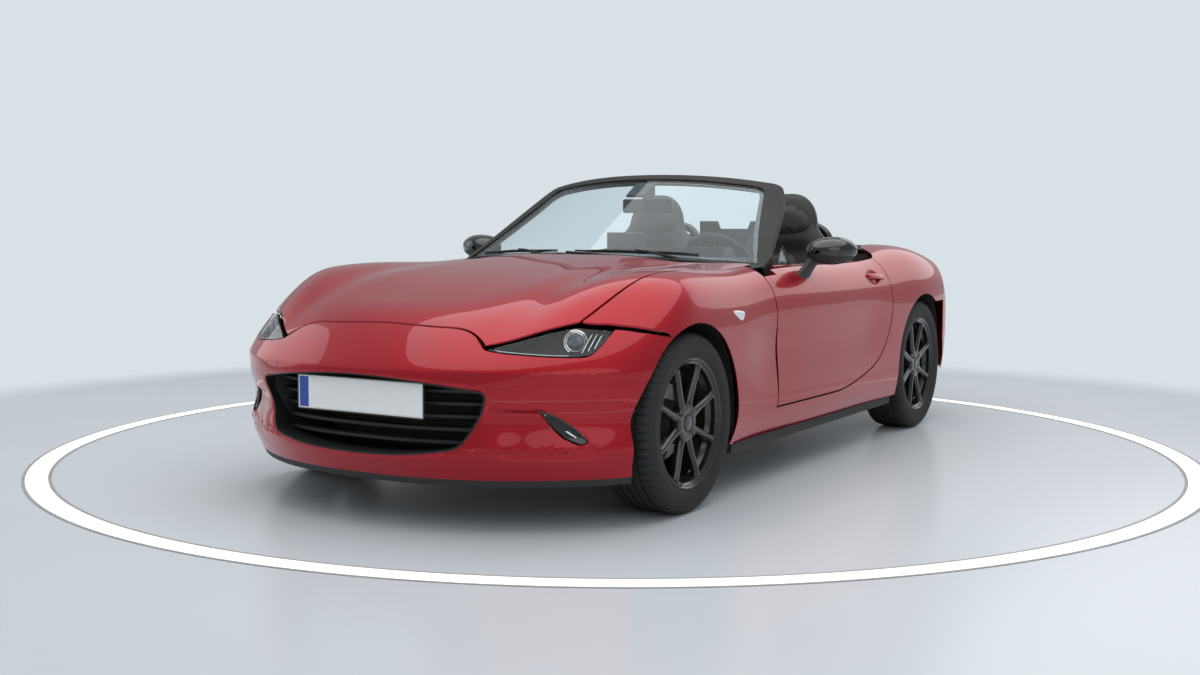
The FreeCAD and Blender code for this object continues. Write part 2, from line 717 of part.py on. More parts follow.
def make_rear_bumper():
    skin = slab(tail_ray, spread(-1, 1, 31), [math.radians(d) for d in spread(-32, 30, 15)])
    skin = skin.common(prism("yz", rear_bumper_top(-SEAM_GAP / 2), TAIL - 60, REAR_AXLE))
    skin = skin.cut(box(TAIL - 60, REAR_AXLE, -HALF, HALF, 0, REAR_BUMPER_BOTTOM))
    lamp = prism("yz", grown(tail_lamp_outline(), SEAM_GAP / 2), TAIL - 60, REAR_AXLE)
    skin = skin.cut(lamp)
    skin = skin.cut(other_side(lamp))
    skin = skin.cut(arch(REAR_AXLE))
    return main_solid(skin.cut(other_side(arch(REAR_AXLE))))


def make_boot_lid():
    angles = [math.radians(d) for d in spread(66, 168, 21)]
    skin = slab(lid_ray, spread(-HALF + 270, HALF - 270, 21), angles)
    skin = skin.common(prism("xy", grown(boot_outline(), -SHUT_GAP / 2), 0, 1200))
    skin = skin.cut(box(TAIL - 60, REAR_AXLE, -HALF, HALF, 0, BOOT_BOTTOM + SHUT_GAP / 2))
    lamp = prism("yz", grown(tail_lamp_outline(), SHUT_GAP), TAIL - 60, REAR_AXLE)
    skin = main_solid(skin.cut(lamp).cut(other_side(lamp)))
    x = BOOT_HINGE_X
    y = BOOT_HINGE_Y
    under = slab(deck_ray, spread(x - 200, x + 40, 4), spread(y - 30, y + 30, 3), 200, SKIN / 2)
    points = [(0, 0), (5, -60), (35, -105), (85, -112), (118, -70), (124, -10), (124, 70)]
    hinge = gooseneck(x, y, BOOT_HINGE_Z, -1, points, HINGE_ARM_WIDTH).common(under)
    return main_solid(joined(skin, hinge, other_side(hinge)))


def make_rear_deck():
    b = REAR_AXLE
    half = WELL_HALF + WELL_EDGE - SEAM_GAP
    skin = slab(deck_ray, spread(b - 310, b - 90, 8), spread(-half - 20, half + 20, 21))
    strip = box(DECK_BACK + SEAM_GAP, b - 118 - SEAM_GAP, -half, half, 0, 1200)
    skin = skin.common(strip)
    return main_solid(skin.cut(prism("xy", grown(boot_outline(), SHUT_GAP / 2 + 1.5), 0, 1200)))


# Lamps, grille and lower trims

def nose_slab(depth, below, shares=(-1, 1), pitches=(-30, 34), counts=(23, 11)):
    pitch = [math.radians(d) for d in spread(pitches[0], pitches[1], counts[1])]
    return slab(nose_ray, spread(shares[0], shares[1], counts[0]), pitch, depth, below)


def make_headlamps():
    lens = nose_slab(LAMP_DEPTH, 1.0, (0.3, 0.98), (8, 34), (15, 9))
    lens = lens.common(prism("yz", grown(lamp_outline(), -SHUT_GAP / 2), FRONT_AXLE, NOSE + 60))
    lens = main_solid(lens.cut(prism("xy", grown(bonnet_outline(), SHUT_GAP / 2), 0, 1200)))
    return solids(lens, other_side(lens))


def make_grille():
    """Surround, slats and the two running lamp inserts, all in black plastic."""
    mouth = prism("yz", grown(grille_outline(), 0), FRONT_AXLE, NOSE + 60)
    hole = prism("yz", grown(grille_outline(), -SURROUND_WALL), FRONT_AXLE, NOSE + 60)
    surround = nose_slab(SURROUND_DEPTH, 2.0, (-0.75, 0.75), (-24, 14), (19, 9)).common(mouth).cut(hole)
    field = nose_slab(SLAT_DEPTH, SLAT_SETBACK, (-0.75, 0.75), (-24, 14), (13, 6)).common(mouth)
    low = 232 + SLAT_PITCH
    slats = []
    for i in range(SLATS):
        z = low + i * SLAT_PITCH
        slats.append(main_solid(field.common(box(FRONT_AXLE, NOSE + 60, -HALF, HALF, z, z + SLAT_HEIGHT))))
    plate_back = box(PLATE_X - PLATE_THICKNESS - PLATE_BRACKET, PLATE_X - PLATE_THICKNESS - SEAT_GAP,
                     -PLATE_LENGTH / 2 + 30, PLATE_LENGTH / 2 - 30, PLATE_Z - 40, PLATE_Z + 40)
    whole = main_solid(joined(surround, *slats, plate_back))
    slot = prism("yz", grown(slot_outline(), 0), FRONT_AXLE, NOSE + 60)
    insert = main_solid(nose_slab(30, 8.0, (0.5, 1), (-24, 6), (7, 5)).common(slot))
    return solids(whole, insert, other_side(insert))


def make_radiator():
    x = RADIATOR_X
    core = box(x, x + 40, -RAIL_INNER - 14, RAIL_INNER + 14, 215, 560)
    crash_beam = box(x + 60, x + 110, -520, 520, 395, 470)
    stays = [box(x, x + 60 + 1, y, y + 40, 410, 450) for y in (-280, 240)]
    return joined(core, crash_beam, *stays)


def make_plate():
    return box(PLATE_X - PLATE_THICKNESS, PLATE_X, -PLATE_LENGTH / 2, PLATE_LENGTH / 2,
               PLATE_Z - PLATE_HEIGHT / 2, PLATE_Z + PLATE_HEIGHT / 2)


def make_tail_lamps():
    pitch = [math.radians(d) for d in spread(8, 40, 8)]
    lens = slab(tail_ray, spread(0.35, 1, 12), pitch, LAMP_DEPTH, 1.0)
    lens = main_solid(lens.common(prism("yz", grown(tail_lamp_outline(), -SEAM_GAP), TAIL - 60, REAR_AXLE)))
    return solids(lens, other_side(lens))


def make_lower_trims():
    """Front lip and the strips under the sills."""
    lip = nose_slab(55, 3.0, (-1, 1), (-36, -12), (17, 5))
    lip = lip.common(box(FRONT_AXLE + 60, NOSE + 60, -HALF, HALF, LIP_BOTTOM, BUMPER_BOTTOM - SEAT_GAP))
    lip = main_solid(lip.cut(arch(FRONT_AXLE)).cut(other_side(arch(FRONT_AXLE))))
    reach = TYRE_RADIUS + 40
    sill = box(REAR_AXLE + reach, FRONT_AXLE - reach, HALF - 75, HALF - 51, FLOOR_BOTTOM, SILL_BOTTOM - 5)
    return solids(lip, sill, other_side(sill))


# Windscreen

def screen_point(across, up, under=0.0):
    """A point of the curved glass from its distance across and up the slope."""
    slope = V(-math.cos(SCREEN_RAKE), 0, math.sin(SCREEN_RAKE))
    normal = V(math.sin(SCREEN_RAKE), 0, math.cos(SCREEN_RAKE))
    bow = (2.1e-4 + 1.0e-4 * up / SCREEN_LENGTH) * across ** 2
    return V(SCREEN_BASE_X, across, SCREEN_BASE_Z) + slope * up - normal * (bow + under)


def screen_slab(depth, below):
    rows = spread(-60, SCREEN_LENGTH + 110, 7)
    columns = spread(-HALF + 90, HALF - 90, 11)
    outer = [[screen_point(a, u, below) for a in columns] for u in rows]
    inner = [[screen_point(a, u, below + depth) for a in columns] for u in rows]
    return slab_between(outer, inner)


def screen_prism(runs):
    """Solid through the windscreen over an outline drawn on its slope."""
    flat = prism("xy", runs, -400, 400)
    slope = V(-math.cos(SCREEN_RAKE), 0, math.sin(SCREEN_RAKE))
    normal = V(math.sin(SCREEN_RAKE), 0, math.cos(SCREEN_RAKE))
    base = V(SCREEN_BASE_X, 0, SCREEN_BASE_Z)
    turn = FreeCAD.Matrix(0, slope.x, normal.x, base.x, 1, slope.y, normal.y, base.y,
                          0, slope.z, normal.z, base.z, 0, 0, 0, 1)
    return flat.transformGeometry(turn)


def screen_outer():
    """Outer edge of the frame on the slope: across, up."""
    top = SCREEN_LENGTH
    header = [(-515, top + 64), (-300, top + 24), (0, top), (300, top + 24), (515, top + 64)]
    pillar = [(515, top + 64), (572, top + 58), (596, top + 12), (664, top - 260), (742, 150)]
    base = [(742, 150), (735, 40), (-735, 40), (-742, 150)]
    return [header, pillar, base[:2], base[1:3], base[2:], across([pillar])[0]]


def glass_outline():
    top = SCREEN_LENGTH - HEADER_WIDTH
    header = [(-480, top + 50), (-300, top + 21), (0, top), (300, top + 21), (480, top + 50)]
    pillar = [(480, top + 50), (520, top + 32), (538, top - 20), (604, top - 240), (686, 134)]
    base = [(686, 134), (480, 66), (250, 20), (0, 3), (-250, 20), (-480, 66), (-686, 134)]
    return [header, pillar, base, across([pillar])[0]]


def make_windscreen():
    frame = screen_slab(SCREEN_FRAME_DEPTH, 0).common(screen_prism(screen_outer()))
    frame = frame.cut(screen_prism(glass_outline()))
    base_cut = [(-800, -100), (800, -100), (800, 112), (686, 112), (480, 44), (250, -2), (0, -19),
                (-250, -2), (-480, 44), (-686, 112), (-800, 112)]
    frame = frame.cut(screen_prism(polygon(*base_cut)))
    door_top = slab(side_ray, spread(FRONT_AXLE - 1000, FRONT_AXLE - 600, 9),
                    [math.radians(d) for d in spread(30, 97, 9)], 120, -DOOR_CLEARANCE)
    door_top = door_top.common(box(0, FRONT_AXLE, DOOR_CLEAR_Y, HALF + 60, 0, 1200))
    frame = main_solid(frame.cut(door_top).cut(other_side(door_top)))
    glass = screen_slab(SCREEN_GLASS, 5).common(screen_prism(grown(glass_outline(), -SEAT_GAP)))
    return frame, main_solid(glass)


# Wheels, hubs and brakes, made about the wheel's centre with +Y outwards

def turned(profile):
    """Ring about the axle from points of radius and distance outwards."""
    points = [V(0, y, r) for r, y in profile]
    return Part.Face(Part.makePolygon(points + points[:1])).revolve(V(0, 0, 0), V(0, 1, 0), 360)


def disc_round(radius, low, high):
    return Part.makeCylinder(radius, high - low, V(0, low, 0), V(0, 1, 0))


def make_rim():
    edge = RIM_WIDTH / 2
    seat = RIM_RADIUS
    lip = seat + RIM_FLANGE
    well = seat - RIM_DROP
    barrel = turned([
        (lip, edge), (lip, edge - 5), (seat, edge - 9), (seat, edge - 32), (well, edge - 46),
        (well, 62 - edge), (seat, 36 - edge), (seat, 9 - edge), (lip, 5 - edge), (lip, -edge),
        (seat - RIM_WALL, 9 - edge), (seat - RIM_WALL, 38 - edge), (well - RIM_WALL, 64 - edge),
        (well - RIM_WALL, edge - 48), (seat - RIM_WALL, edge - 30), (seat - RIM_WALL + 2, edge - 6)])
    face = edge - HUB_SETBACK
    reach = seat - RIM_WALL / 2
    inner = [V(-SPOKE_WIDTH * 0.62, face - SPOKE_DEPTH, 40), V(SPOKE_WIDTH * 0.62, face - SPOKE_DEPTH, 40),
             V(SPOKE_WIDTH * 0.5, face, 40), V(-SPOKE_WIDTH * 0.5, face, 40)]
    outer = [V(-SPOKE_WIDTH * 0.45, edge - 40, reach), V(SPOKE_WIDTH * 0.45, edge - 40, reach),
             V(SPOKE_WIDTH * 0.36, edge - 10, reach), V(-SPOKE_WIDTH * 0.36, edge - 10, reach)]
    ends = [Part.makePolygon(inner + inner[:1]), Part.makePolygon(outer + outer[:1])]
    spoke = Part.makeLoft(ends, True, True)
    spokes = []
    for i in range(SPOKES):
        spokes.append(spoke.rotated(V(0, 0, 0), V(0, 1, 0), (i + 0.5) * 360 / SPOKES))
    hub = disc_round(HUB_RADIUS, MOUNT_FACE, face - 6)
    cap = disc_round(CAP_RADIUS, face - 10, face)
    hat = turned([(64, DISC_Y - DISC_THICKNESS / 2), (DISC_RADIUS, DISC_Y - DISC_THICKNESS / 2),
                  (DISC_RADIUS, DISC_Y + DISC_THICKNESS / 2), (72, DISC_Y + DISC_THICKNESS / 2),
                  (72, MOUNT_FACE + 1), (SPINDLE_RADIUS + RUNNING_GAP, MOUNT_FACE + 1),
                  (SPINDLE_RADIUS + RUNNING_GAP, MOUNT_FACE - 8), (64, MOUNT_FACE - 8)])
    wheel = joined(barrel, hub, cap, hat, *spokes)
    wheel = wheel.cut(disc_round(SPINDLE_RADIUS + RUNNING_GAP, -edge, SPINDLE_END + BRAKE_GAP))
    for i in range(LUGS):
        turn = math.radians(45 + i * 360 / LUGS)
        place = V(LUG_CIRCLE / 2 * math.cos(turn), 0, LUG_CIRCLE / 2 * math.sin(turn))
        wheel = wheel.cut(disc_round(LUG_RADIUS, face - 30, face).translated(place))
    return main_solid(wheel)


def make_tyre():
    edge = RIM_WIDTH / 2
    bore = RIM_RADIUS + SEAT_GAP
    half = TYRE_WIDTH / 2
    bead = edge - 9 - SEAT_GAP
    wall = [(bore, bead), (bore + 22, edge - 5), (bore + 50, half), (TYRE_RADIUS - 14, half - 7),
            (TYRE_RADIUS, half - 26)]
    return turned(wall + [(r, -y) for r, y in reversed(wall)])


def make_knuckle(pinned, caliper_angle):
    """Upright with its spindle and brake caliper; pinned at the kingpin where it steers."""
    inner = KINGPIN_Y - WHEEL_Y - KNUCKLE_WALL / 2
    outer = inner + KNUCKLE_WALL
    outline = [(-26, -KNUCKLE_LOW), (26, -KNUCKLE_LOW), (46, -20), (46, 30), (24, KNUCKLE_HIGH),
               (-24, KNUCKLE_HIGH), (-46, 30), (-46, -20)]
    plate = prism("xz", polygon(*outline), inner, outer)
    boss = disc_round(46, outer - 1, DISC_Y - DISC_THICKNESS / 2 - BRAKE_GAP)
    spindle = disc_round(SPINDLE_RADIUS, outer, SPINDLE_END)
    pieces = [plate, boss, spindle]
    if pinned:
        axis = KINGPIN_Y - WHEEL_Y
        pieces.append(Part.makeCylinder(PIN_RADIUS, 36, V(0, axis, KNUCKLE_HIGH - 2), V(0, 0, 1)))
        pieces.append(Part.makeCylinder(PIN_RADIUS, 36, V(0, axis, 2 - KNUCKLE_LOW), V(0, 0, -1)))
        pieces.append(box(-STEER_ARM, -30, inner, outer, -50, -34))
        pieces.append(box(-STEER_ARM, 30 - STEER_ARM, axis - TIE_INSET - 10, outer, -50, -34))
    bridge = DISC_Y - DISC_THICKNESS / 2 - BRAKE_GAP
    side = CALIPER_WALL + 6
    outer_pad = DISC_Y + DISC_THICKNESS / 2 + BRAKE_GAP
    block = box(DISC_RADIUS - 48, DISC_RADIUS + BRAKE_GAP + CALIPER_WALL, bridge - side,
                outer_pad + CALIPER_WALL, -CALIPER_LENGTH / 2, CALIPER_LENGTH / 2)
    block = block.common(disc_round(RIM_RADIUS - RIM_DROP - RIM_WALL - BRAKE_GAP - 2, -90, 90))
    groove = disc_round(DISC_RADIUS + BRAKE_GAP, bridge, outer_pad)
    block = block.cut(groove)
    block = block.cut(disc_round(78, bridge, 90))
    ear = box(30, DISC_RADIUS - 40, inner, bridge - side + 8, -30, 30)
    caliper = joined(main_solid(block), ear).rotated(V(0, 0, 0), V(0, 1, 0), caliper_angle)
    return main_solid(joined(*pieces, caliper))


def at_wheel(shape, axle):
    """A left wheel's piece in its place."""
    return shape.translated(V(axle, WHEEL_Y, TYRE_RADIUS))


def arm(eye_x, inner_y, z, spread_x, thickness, eye=True):
    """Wishbone from two pivots on the subframe to an eye round the kingpin's pin."""
    half = thickness / 2
    ring = Part.makeCylinder(EYE_RADIUS, thickness, V(eye_x, KINGPIN_Y, z - half))
    bore = Part.makeCylinder(PIN_RADIUS + RUNNING_GAP, thickness + 20, V(eye_x, KINGPIN_Y, z - half - 10))
    outline = [(eye_x - 15, KINGPIN_Y - 6), (eye_x + 15, KINGPIN_Y - 6), (eye_x + 34, KINGPIN_Y - 90),
               (eye_x + spread_x + 16, inner_y), (eye_x + spread_x - 16, inner_y), (eye_x, KINGPIN_Y - 110),
               (eye_x - spread_x + 16, inner_y), (eye_x - spread_x - 16, inner_y),
               (eye_x - 34, KINGPIN_Y - 90)]
    web = prism("xy", polygon(*outline), z - half, z + half)
    whole = joined(ring, web)
    return main_solid(whole.cut(bore)) if eye else main_solid(whole)


def front_damper():
    """Foot and top of the left front damper."""
    foot = V(FRONT_AXLE + 8, KINGPIN_Y - 96, TYRE_RADIUS - KNUCKLE_LOW - 14)
    return foot, V(FRONT_AXLE + 10, APRON_HALF + SHEET + 66, STRUT_TOP - 2.5)


def make_front_suspension():
    """Subframe, wishbones, dampers and steering rack, joined into one piece."""
    a = FRONT_AXLE
    low = TYRE_RADIUS - KNUCKLE_LOW - 14
    high = TYRE_RADIUS + KNUCKLE_HIGH + 14
    inner_low = RAIL_INNER + 30
    inner_high = APRON_HALF + SHEET + SEAT_GAP
    cross = joined(box(a - 50, a + 50, -inner_low, inner_low, 172, 222),
                   box(a - 150, a + 150, -inner_low, -inner_low + 50, 166, 214),
                   box(a - 150, a + 150, inner_low - 50, inner_low, 166, 214))
    mounts = []
    for x in (a - 130, a + 130):
        for y in (-inner_low + 25, inner_low - 25):
            mounts.append(Part.makeCylinder(15, RAIL_BOTTOM - SEAT_GAP - 200, V(x, y, 200)))
    lower = arm(a, inner_low - 10, low, 120, 22)
    upper = arm(a, inner_high, high, 90, 18)
    damper_foot, damper_top = front_damper()
    rack_x = RACK_X
    rack = rod(V(rack_x, -300, RACK_Z), V(rack_x, 300, RACK_Z), 19)
    tie_end = V(rack_x, KINGPIN_Y - TIE_INSET, TYRE_RADIUS - 59 - RUNNING_GAP)
    tie = rod(V(rack_x, 290, RACK_Z), tie_end, TIE_RADIUS)
    stay = box(rack_x - 12, a - 40, 250, 290, 200, 230)
    half = [lower, rod(damper_foot, damper_foot * 0.45 + damper_top * 0.55, 24),
            rod(damper_foot * 0.6 + damper_top * 0.4, damper_top, 11), tie, stay]
    pieces = [cross, rack] + mounts
    for piece in half:
        pieces += [piece, other_side(piece)]
    whole = main_solid(joined(*pieces))
    return solids(whole, upper, other_side(upper))


def make_rear_suspension():
    """Subframe, differential, drive shafts, arms, hub carriers, springs and dampers, in one piece."""
    b = REAR_AXLE
    low = TYRE_RADIUS - KNUCKLE_LOW - 14
    high = TYRE_RADIUS + KNUCKLE_HIGH + 14
    cross = joined(box(b - 130, b - 90, -400, 400, 200, 250), box(b + 90, b + 130, -400, 400, 200, 250),
                   box(b - 130, b + 130, -400, -360, 200, 250), box(b - 130, b + 130, 360, 400, 200, 250))
    housing = rod(V(b, -95, TYRE_RADIUS), V(b, 95, TYRE_RADIUS), 88)
    nose = rod(V(b + 40, 0, TYRE_RADIUS), V(b + 190, 0, TYRE_RADIUS), 48)
    cradle = box(b - 100, b + 100, -60, 60, 206, 236)
    shaft = rod(V(b, 80, TYRE_RADIUS), V(b, KINGPIN_Y, TYRE_RADIUS), 13)
    joint_inner = Part.makeCone(48, 24, 80, V(b, 90, TYRE_RADIUS), V(0, 1, 0))
    joint_outer = Part.makeCone(24, 44, 70, V(b, KINGPIN_Y - 72, TYRE_RADIUS), V(0, 1, 0))
    lower = arm(b, 380, low, 105, 22, False)
    upper = arm(b, 440, high, 80, 18, False)
    post = joined(box(b - 100, b - 60, 430, 452, 230, high), box(b + 60, b + 100, 430, 452, 230, high),
                  box(b - 100, b + 100, 380, 452, 224, 244))
    foot = V(b - 60, KINGPIN_Y - 150, low)
    top = V(b - 50, KINGPIN_Y - 60, 620)
    carrier = at_wheel(make_knuckle(False, 20), b)
    stub = Part.makeCylinder(12, 20, V(b, KINGPIN_Y, TYRE_RADIUS + KNUCKLE_HIGH - 2))
    stub_low = Part.makeCylinder(12, 20, V(b, KINGPIN_Y, TYRE_RADIUS - KNUCKLE_LOW - 18))
    half = [shaft, joint_inner, joint_outer, lower, upper, post, carrier, stub, stub_low,
            rod(foot, foot * 0.5 + top * 0.5, 26), rod(foot * 0.6 + top * 0.4, top, 12)]
    pieces = [cross, housing, nose, cradle]
    for x in (b - 110, b + 110):
        for y in (-380, 380):
            pieces.append(Part.makeCylinder(16, REAR_RAIL_BOTTOM - SEAT_GAP - 230, V(x, y, 230)))
    for piece in half:
        pieces += [piece, other_side(piece)]
    return main_solid(joined(*pieces))


# Structure

def screen_base_x(y, ahead=0.0):
    """Where the foot of the glass stands, seen from above."""
    up = 157 * (y / (HALF - 127)) ** 2
    return screen_point(y, up).x + ahead


def base_curve(ahead, half, count=7):
    return [(screen_base_x(y, ahead), y) for y in spread(-half, half, count)]


def both_sides(middle, half):
    """Middle pieces and left ones with their mirror images, welded together."""
    return joined(*middle, *half, *[other_side(piece) for piece in half])


def bulkhead(gap):
    """Leaning wall behind the seats, grown by a gap."""
    low = FLOOR_BOTTOM
    top = BULKHEAD_X - BULKHEAD_LEAN
    outline = [(BULKHEAD_X - gap, low), (BULKHEAD_X + SHEET + gap, low),
               (top + SHEET + gap, BULKHEAD_TOP), (top - gap, BULKHEAD_TOP)]
    return prism("xz", polygon(*outline), -TUB_HALF - gap, TUB_HALF + gap)


def make_floor():
    """Cabin floor, tunnel, sills, firewall, bulkhead, front posts and the shelf under the glass."""
    a = FRONT_AXLE
    b = REAR_AXLE
    t = SHEET
    low = FLOOR_BOTTOM
    tub = TUB_HALF
    front = FIREWALL_X
    reach = LINER_RADIUS + LINER_WALL + SEAT_GAP
    curve = base_curve(-15, tub - 60)
    corners = [(front + t, tub - 60), (front + t, 60 - tub)]
    middle = [
        box(BULKHEAD_X, front, -tub, tub, low, low + t),
        box(BULKHEAD_X, front, -TUNNEL_HALF, TUNNEL_HALF, low, TUNNEL_TOP),
        box(front, front + t, -tub, tub, low, SCUTTLE_SHELF),
        bulkhead(0),
        prism("xy", [curve, [curve[-1], corners[0]], corners, [corners[1], curve[0]]],
              SCUTTLE_SHELF - t, SCUTTLE_SHELF),
    ]
    half = [
        box(b + reach, a - reach, tub - 1, HALF - 85, low, SILL_BOX_TOP),
        box(b + reach, a - reach, tub, HALF - 40, SILL_BOTTOM - t - SEAT_GAP, SILL_BOTTOM - SEAT_GAP),
        box(a - 757, front + t, tub - 20, POST_OUTER, low, POST_TOP),
        bonnet_bracket(), door_brackets(),
    ]
    inside = box(BULKHEAD_X - 60, front + 20, t - TUNNEL_HALF, TUNNEL_HALF - t, low - 10, TUNNEL_TOP - t)
    return main_solid(both_sides(middle, half).cut(inside))


def make_front_structure():
    """Rails, aprons and strut tops ahead of the firewall, and the cross member behind the radiator."""
    t = SHEET
    start = FIREWALL_X + t + SEAT_GAP
    wall = APRON_HALF + t
    back = RADIATOR_X - 90
    ahead = RADIATOR_X - SEAT_GAP
    middle = [box(back, back + 40, -RAIL_INNER - 1, RAIL_INNER + 1, RAIL_BOTTOM, RAIL_BOTTOM + 40)]
    half = [
        box(start, back + 20, RAIL_INNER, wall, RAIL_BOTTOM, RAIL_BOTTOM + 90),
        box(start, back + 20, APRON_HALF, wall, RAIL_BOTTOM, STRUT_TOP + t),
        box(start, FRONT_AXLE + 260, APRON_HALF, APRON_HALF + 190, STRUT_TOP, STRUT_TOP + t),
        box(back, ahead, RAIL_INNER, wall, RAIL_BOTTOM, 560),
    ]
    notch = rod(V(RACK_X, 290, RACK_Z), V(RACK_X, wall + 20, RACK_Z), TIE_RADIUS + 8)
    whole = both_sides(middle, half)
    return main_solid(whole.cut(notch).cut(other_side(notch)))


def make_rear_structure():
    """Shelf behind the seats, the wall under it, rear rails and inner wheel housings."""
    t = SHEET
    rail = REAR_RAIL_BOTTOM
    house = rail + 120
    wide = max(BOOT_HALF, WELL_HALF)
    inner = min(BOOT_HALF, WELL_HALF) - t
    middle = [
        box(BOOT_WALL_X, BULKHEAD_X, -WELL_HALF, WELL_HALF, SHELF_Z - t, SHELF_Z),
        box(BOOT_WALL_X - t, BOOT_WALL_X, -WELL_HALF, WELL_HALF, BOOT_FLOOR_Z, SHELF_Z),
    ]
    half = [
        box(BOOT_WALL_X, BULKHEAD_X, 360, 420, rail, rail + 60),
        box(BOOT_WALL_X, BULKHEAD_X, 360, 360 + t, rail, house),
        box(BOOT_WALL_X, BULKHEAD_X - 100, 360, WELL_HALF, house - t, house),
        box(BOOT_WALL_X, BULKHEAD_X - BULKHEAD_LEAN - 60, WELL_HALF - t, WELL_HALF, house - t, 800),
        box(BOOT_WALL_X - t, BOOT_WALL_X, inner, wide, SHELF_Z - t, BOOT_WALL_TOP),
    ]
    ahead = prism("xz", polygon((BULKHEAD_X - SEAT_GAP, FLOOR_BOTTOM), (BULKHEAD_X + 200, FLOOR_BOTTOM),
                                (BULKHEAD_X + 200, BULKHEAD_TOP),
                                (BULKHEAD_X - BULKHEAD_LEAN - SEAT_GAP, BULKHEAD_TOP)), -HALF, HALF)
    return main_solid(both_sides(middle, half).cut(ahead))


def make_boot_tub():
    """Floor and walls of the boot with the lid's hinge brackets."""
    t = SHEET
    tail = TAIL + 175
    front = BOOT_WALL_X - t - SEAT_GAP
    wall = polygon((tail, BOOT_FLOOR_Z), (front, BOOT_FLOOR_Z), (front, BOOT_WALL_TOP),
                   (tail, BOOT_WALL_BACK))
    middle = [
        box(tail, front, -BOOT_HALF, BOOT_HALF, BOOT_FLOOR_Z, BOOT_FLOOR_Z + t),
        box(tail, tail + t, -BOOT_HALF, BOOT_HALF, BOOT_FLOOR_Z, BOOT_BOTTOM - 20),
    ]
    return main_solid(both_sides(middle, [prism("xz", wall, BOOT_HALF - t, BOOT_HALF), boot_bracket()]))


def bonnet_bracket():
    """Upright with the bonnet's hinge pin."""
    x = BONNET_HINGE_X
    y = BONNET_HINGE_Y
    plate = box(x - 12, x + 12, y - HINGE_PLATE - 8, y - 8, BONNET_HINGE_Z - 10, BONNET_HINGE_Z + 10)
    foot = box(x - 12, FIREWALL_X, y - 40, y - 10, SCUTTLE_SHELF - SHEET, SCUTTLE_SHELF)
    pin = Part.makeCylinder(HINGE_PIN_RADIUS, 24, V(x, y - 12, BONNET_HINGE_Z), V(0, 1, 0))
    return plate.fuse([foot, pin])


def door_brackets():
    """Two plates from the front post out to the door's hinge pins."""
    a = FRONT_AXLE
    plates = []
    for z in DOOR_HINGES:
        low = z - HINGE_PLATE - RUNNING_GAP
        outline = [(DOOR_HINGE_X - 12, DOOR_HINGE_Y + 7), (DOOR_HINGE_X + 6, DOOR_HINGE_Y + 7),
                   (a - 735, POST_OUTER - 4), (a - 757, POST_OUTER - 4)]
        plates.append(prism("xy", polygon(*outline), low, low + HINGE_PLATE))
        foot = V(DOOR_HINGE_X, DOOR_HINGE_Y, low)
        plates.append(Part.makeCylinder(HINGE_PIN_RADIUS, HINGE_PLATE * 2 + 4, foot))
    return plates[0].fuse(plates[1:])


def boot_bracket():
    """Upright on the boot's side wall with the lid's hinge pin."""
    x = BOOT_HINGE_X
    front = BOOT_WALL_X - SHEET - SEAT_GAP
    plate = box(x - 16, front, BOOT_HALF - SHEET, BOOT_HALF, 700, BOOT_HINGE_Z + 10)
    pin = Part.makeCylinder(HINGE_PIN_RADIUS, 22, V(x, BOOT_HALF - 1, BOOT_HINGE_Z), V(0, 1, 0))
    return plate.fuse(pin)


def gooseneck(x, y, z, way, points, width):
    """Curved hinge arm that passes round the edge of its opening; way is 1 for forward."""
    edge = []
    for i, (u, w) in enumerate(points):
        before = points[max(i - 1, 0)]
        after = points[min(i + 1, len(points) - 1)]
        turn = math.atan2(after[1] - before[1], after[0] - before[0])
        edge.append((math.sin(turn) * width / 2, -math.cos(turn) * width / 2))
    right = [(x + way * (u + e[0]), z + w + e[1]) for (u, w), e in zip(points, edge)]
    left = [(x + way * (u - e[0]), z + w - e[1]) for (u, w), e in zip(points, edge)]
    arm_plate = prism("xz", polygon(*(right + left[::-1])), y - HINGE_PLATE / 2, y + HINGE_PLATE / 2)
    eye = Part.makeCylinder(HINGE_PIN_RADIUS + 6, HINGE_PLATE, V(x, y - HINGE_PLATE / 2, z), V(0, 1, 0))
    bore = Part.makeCylinder(HINGE_PIN_RADIUS + RUNNING_GAP, 60, V(x, y - 30, z), V(0, 1, 0))
    return arm_plate.fuse(eye).cut(bore)


def plan_edge(axle, inset):
    """Outline seen from above that stays inside the flank about an axle."""
    points = []
    for x in spread(axle - 400, axle + 400, 9):
        y = min(cast(V(x, 0, z), V(0, 1, 0))[0].y for z in (200, 330, 450, 600, 650))
        points.append((x, y - inset))
    return points


def make_arch_liners():
    liners = []
    for axle, inner in ((FRONT_AXLE, APRON_HALF + SHEET + SEAT_GAP), (REAR_AXLE, WELL_HALF + SEAT_GAP)):
        ring = Part.makeCylinder(LINER_RADIUS + LINER_WALL, HALF, V(axle, inner, TYRE_RADIUS), V(0, 1, 0))
        ring = ring.cut(Part.makeCylinder(LINER_RADIUS, HALF, V(axle, inner, TYRE_RADIUS), V(0, 1, 0)))
        edge = plan_edge(axle, SKIN + SEAT_GAP)
        inside = prism("xy", [edge, [edge[-1], (edge[-1][0], 0)], [(edge[-1][0], 0), (edge[0][0], 0)],
                              [(edge[0][0], 0), edge[0]]], 215, 1200)
        liner = ring.common(inside)
        if axle == FRONT_AXLE:
            foot, top = front_damper()
            liner = liner.cut(rod(foot, top + (top - foot) * 0.1, DAMPER_HOLE))
        liner = main_solid(liner)
        liners += [liner, other_side(liner)]
    return solids(*liners)


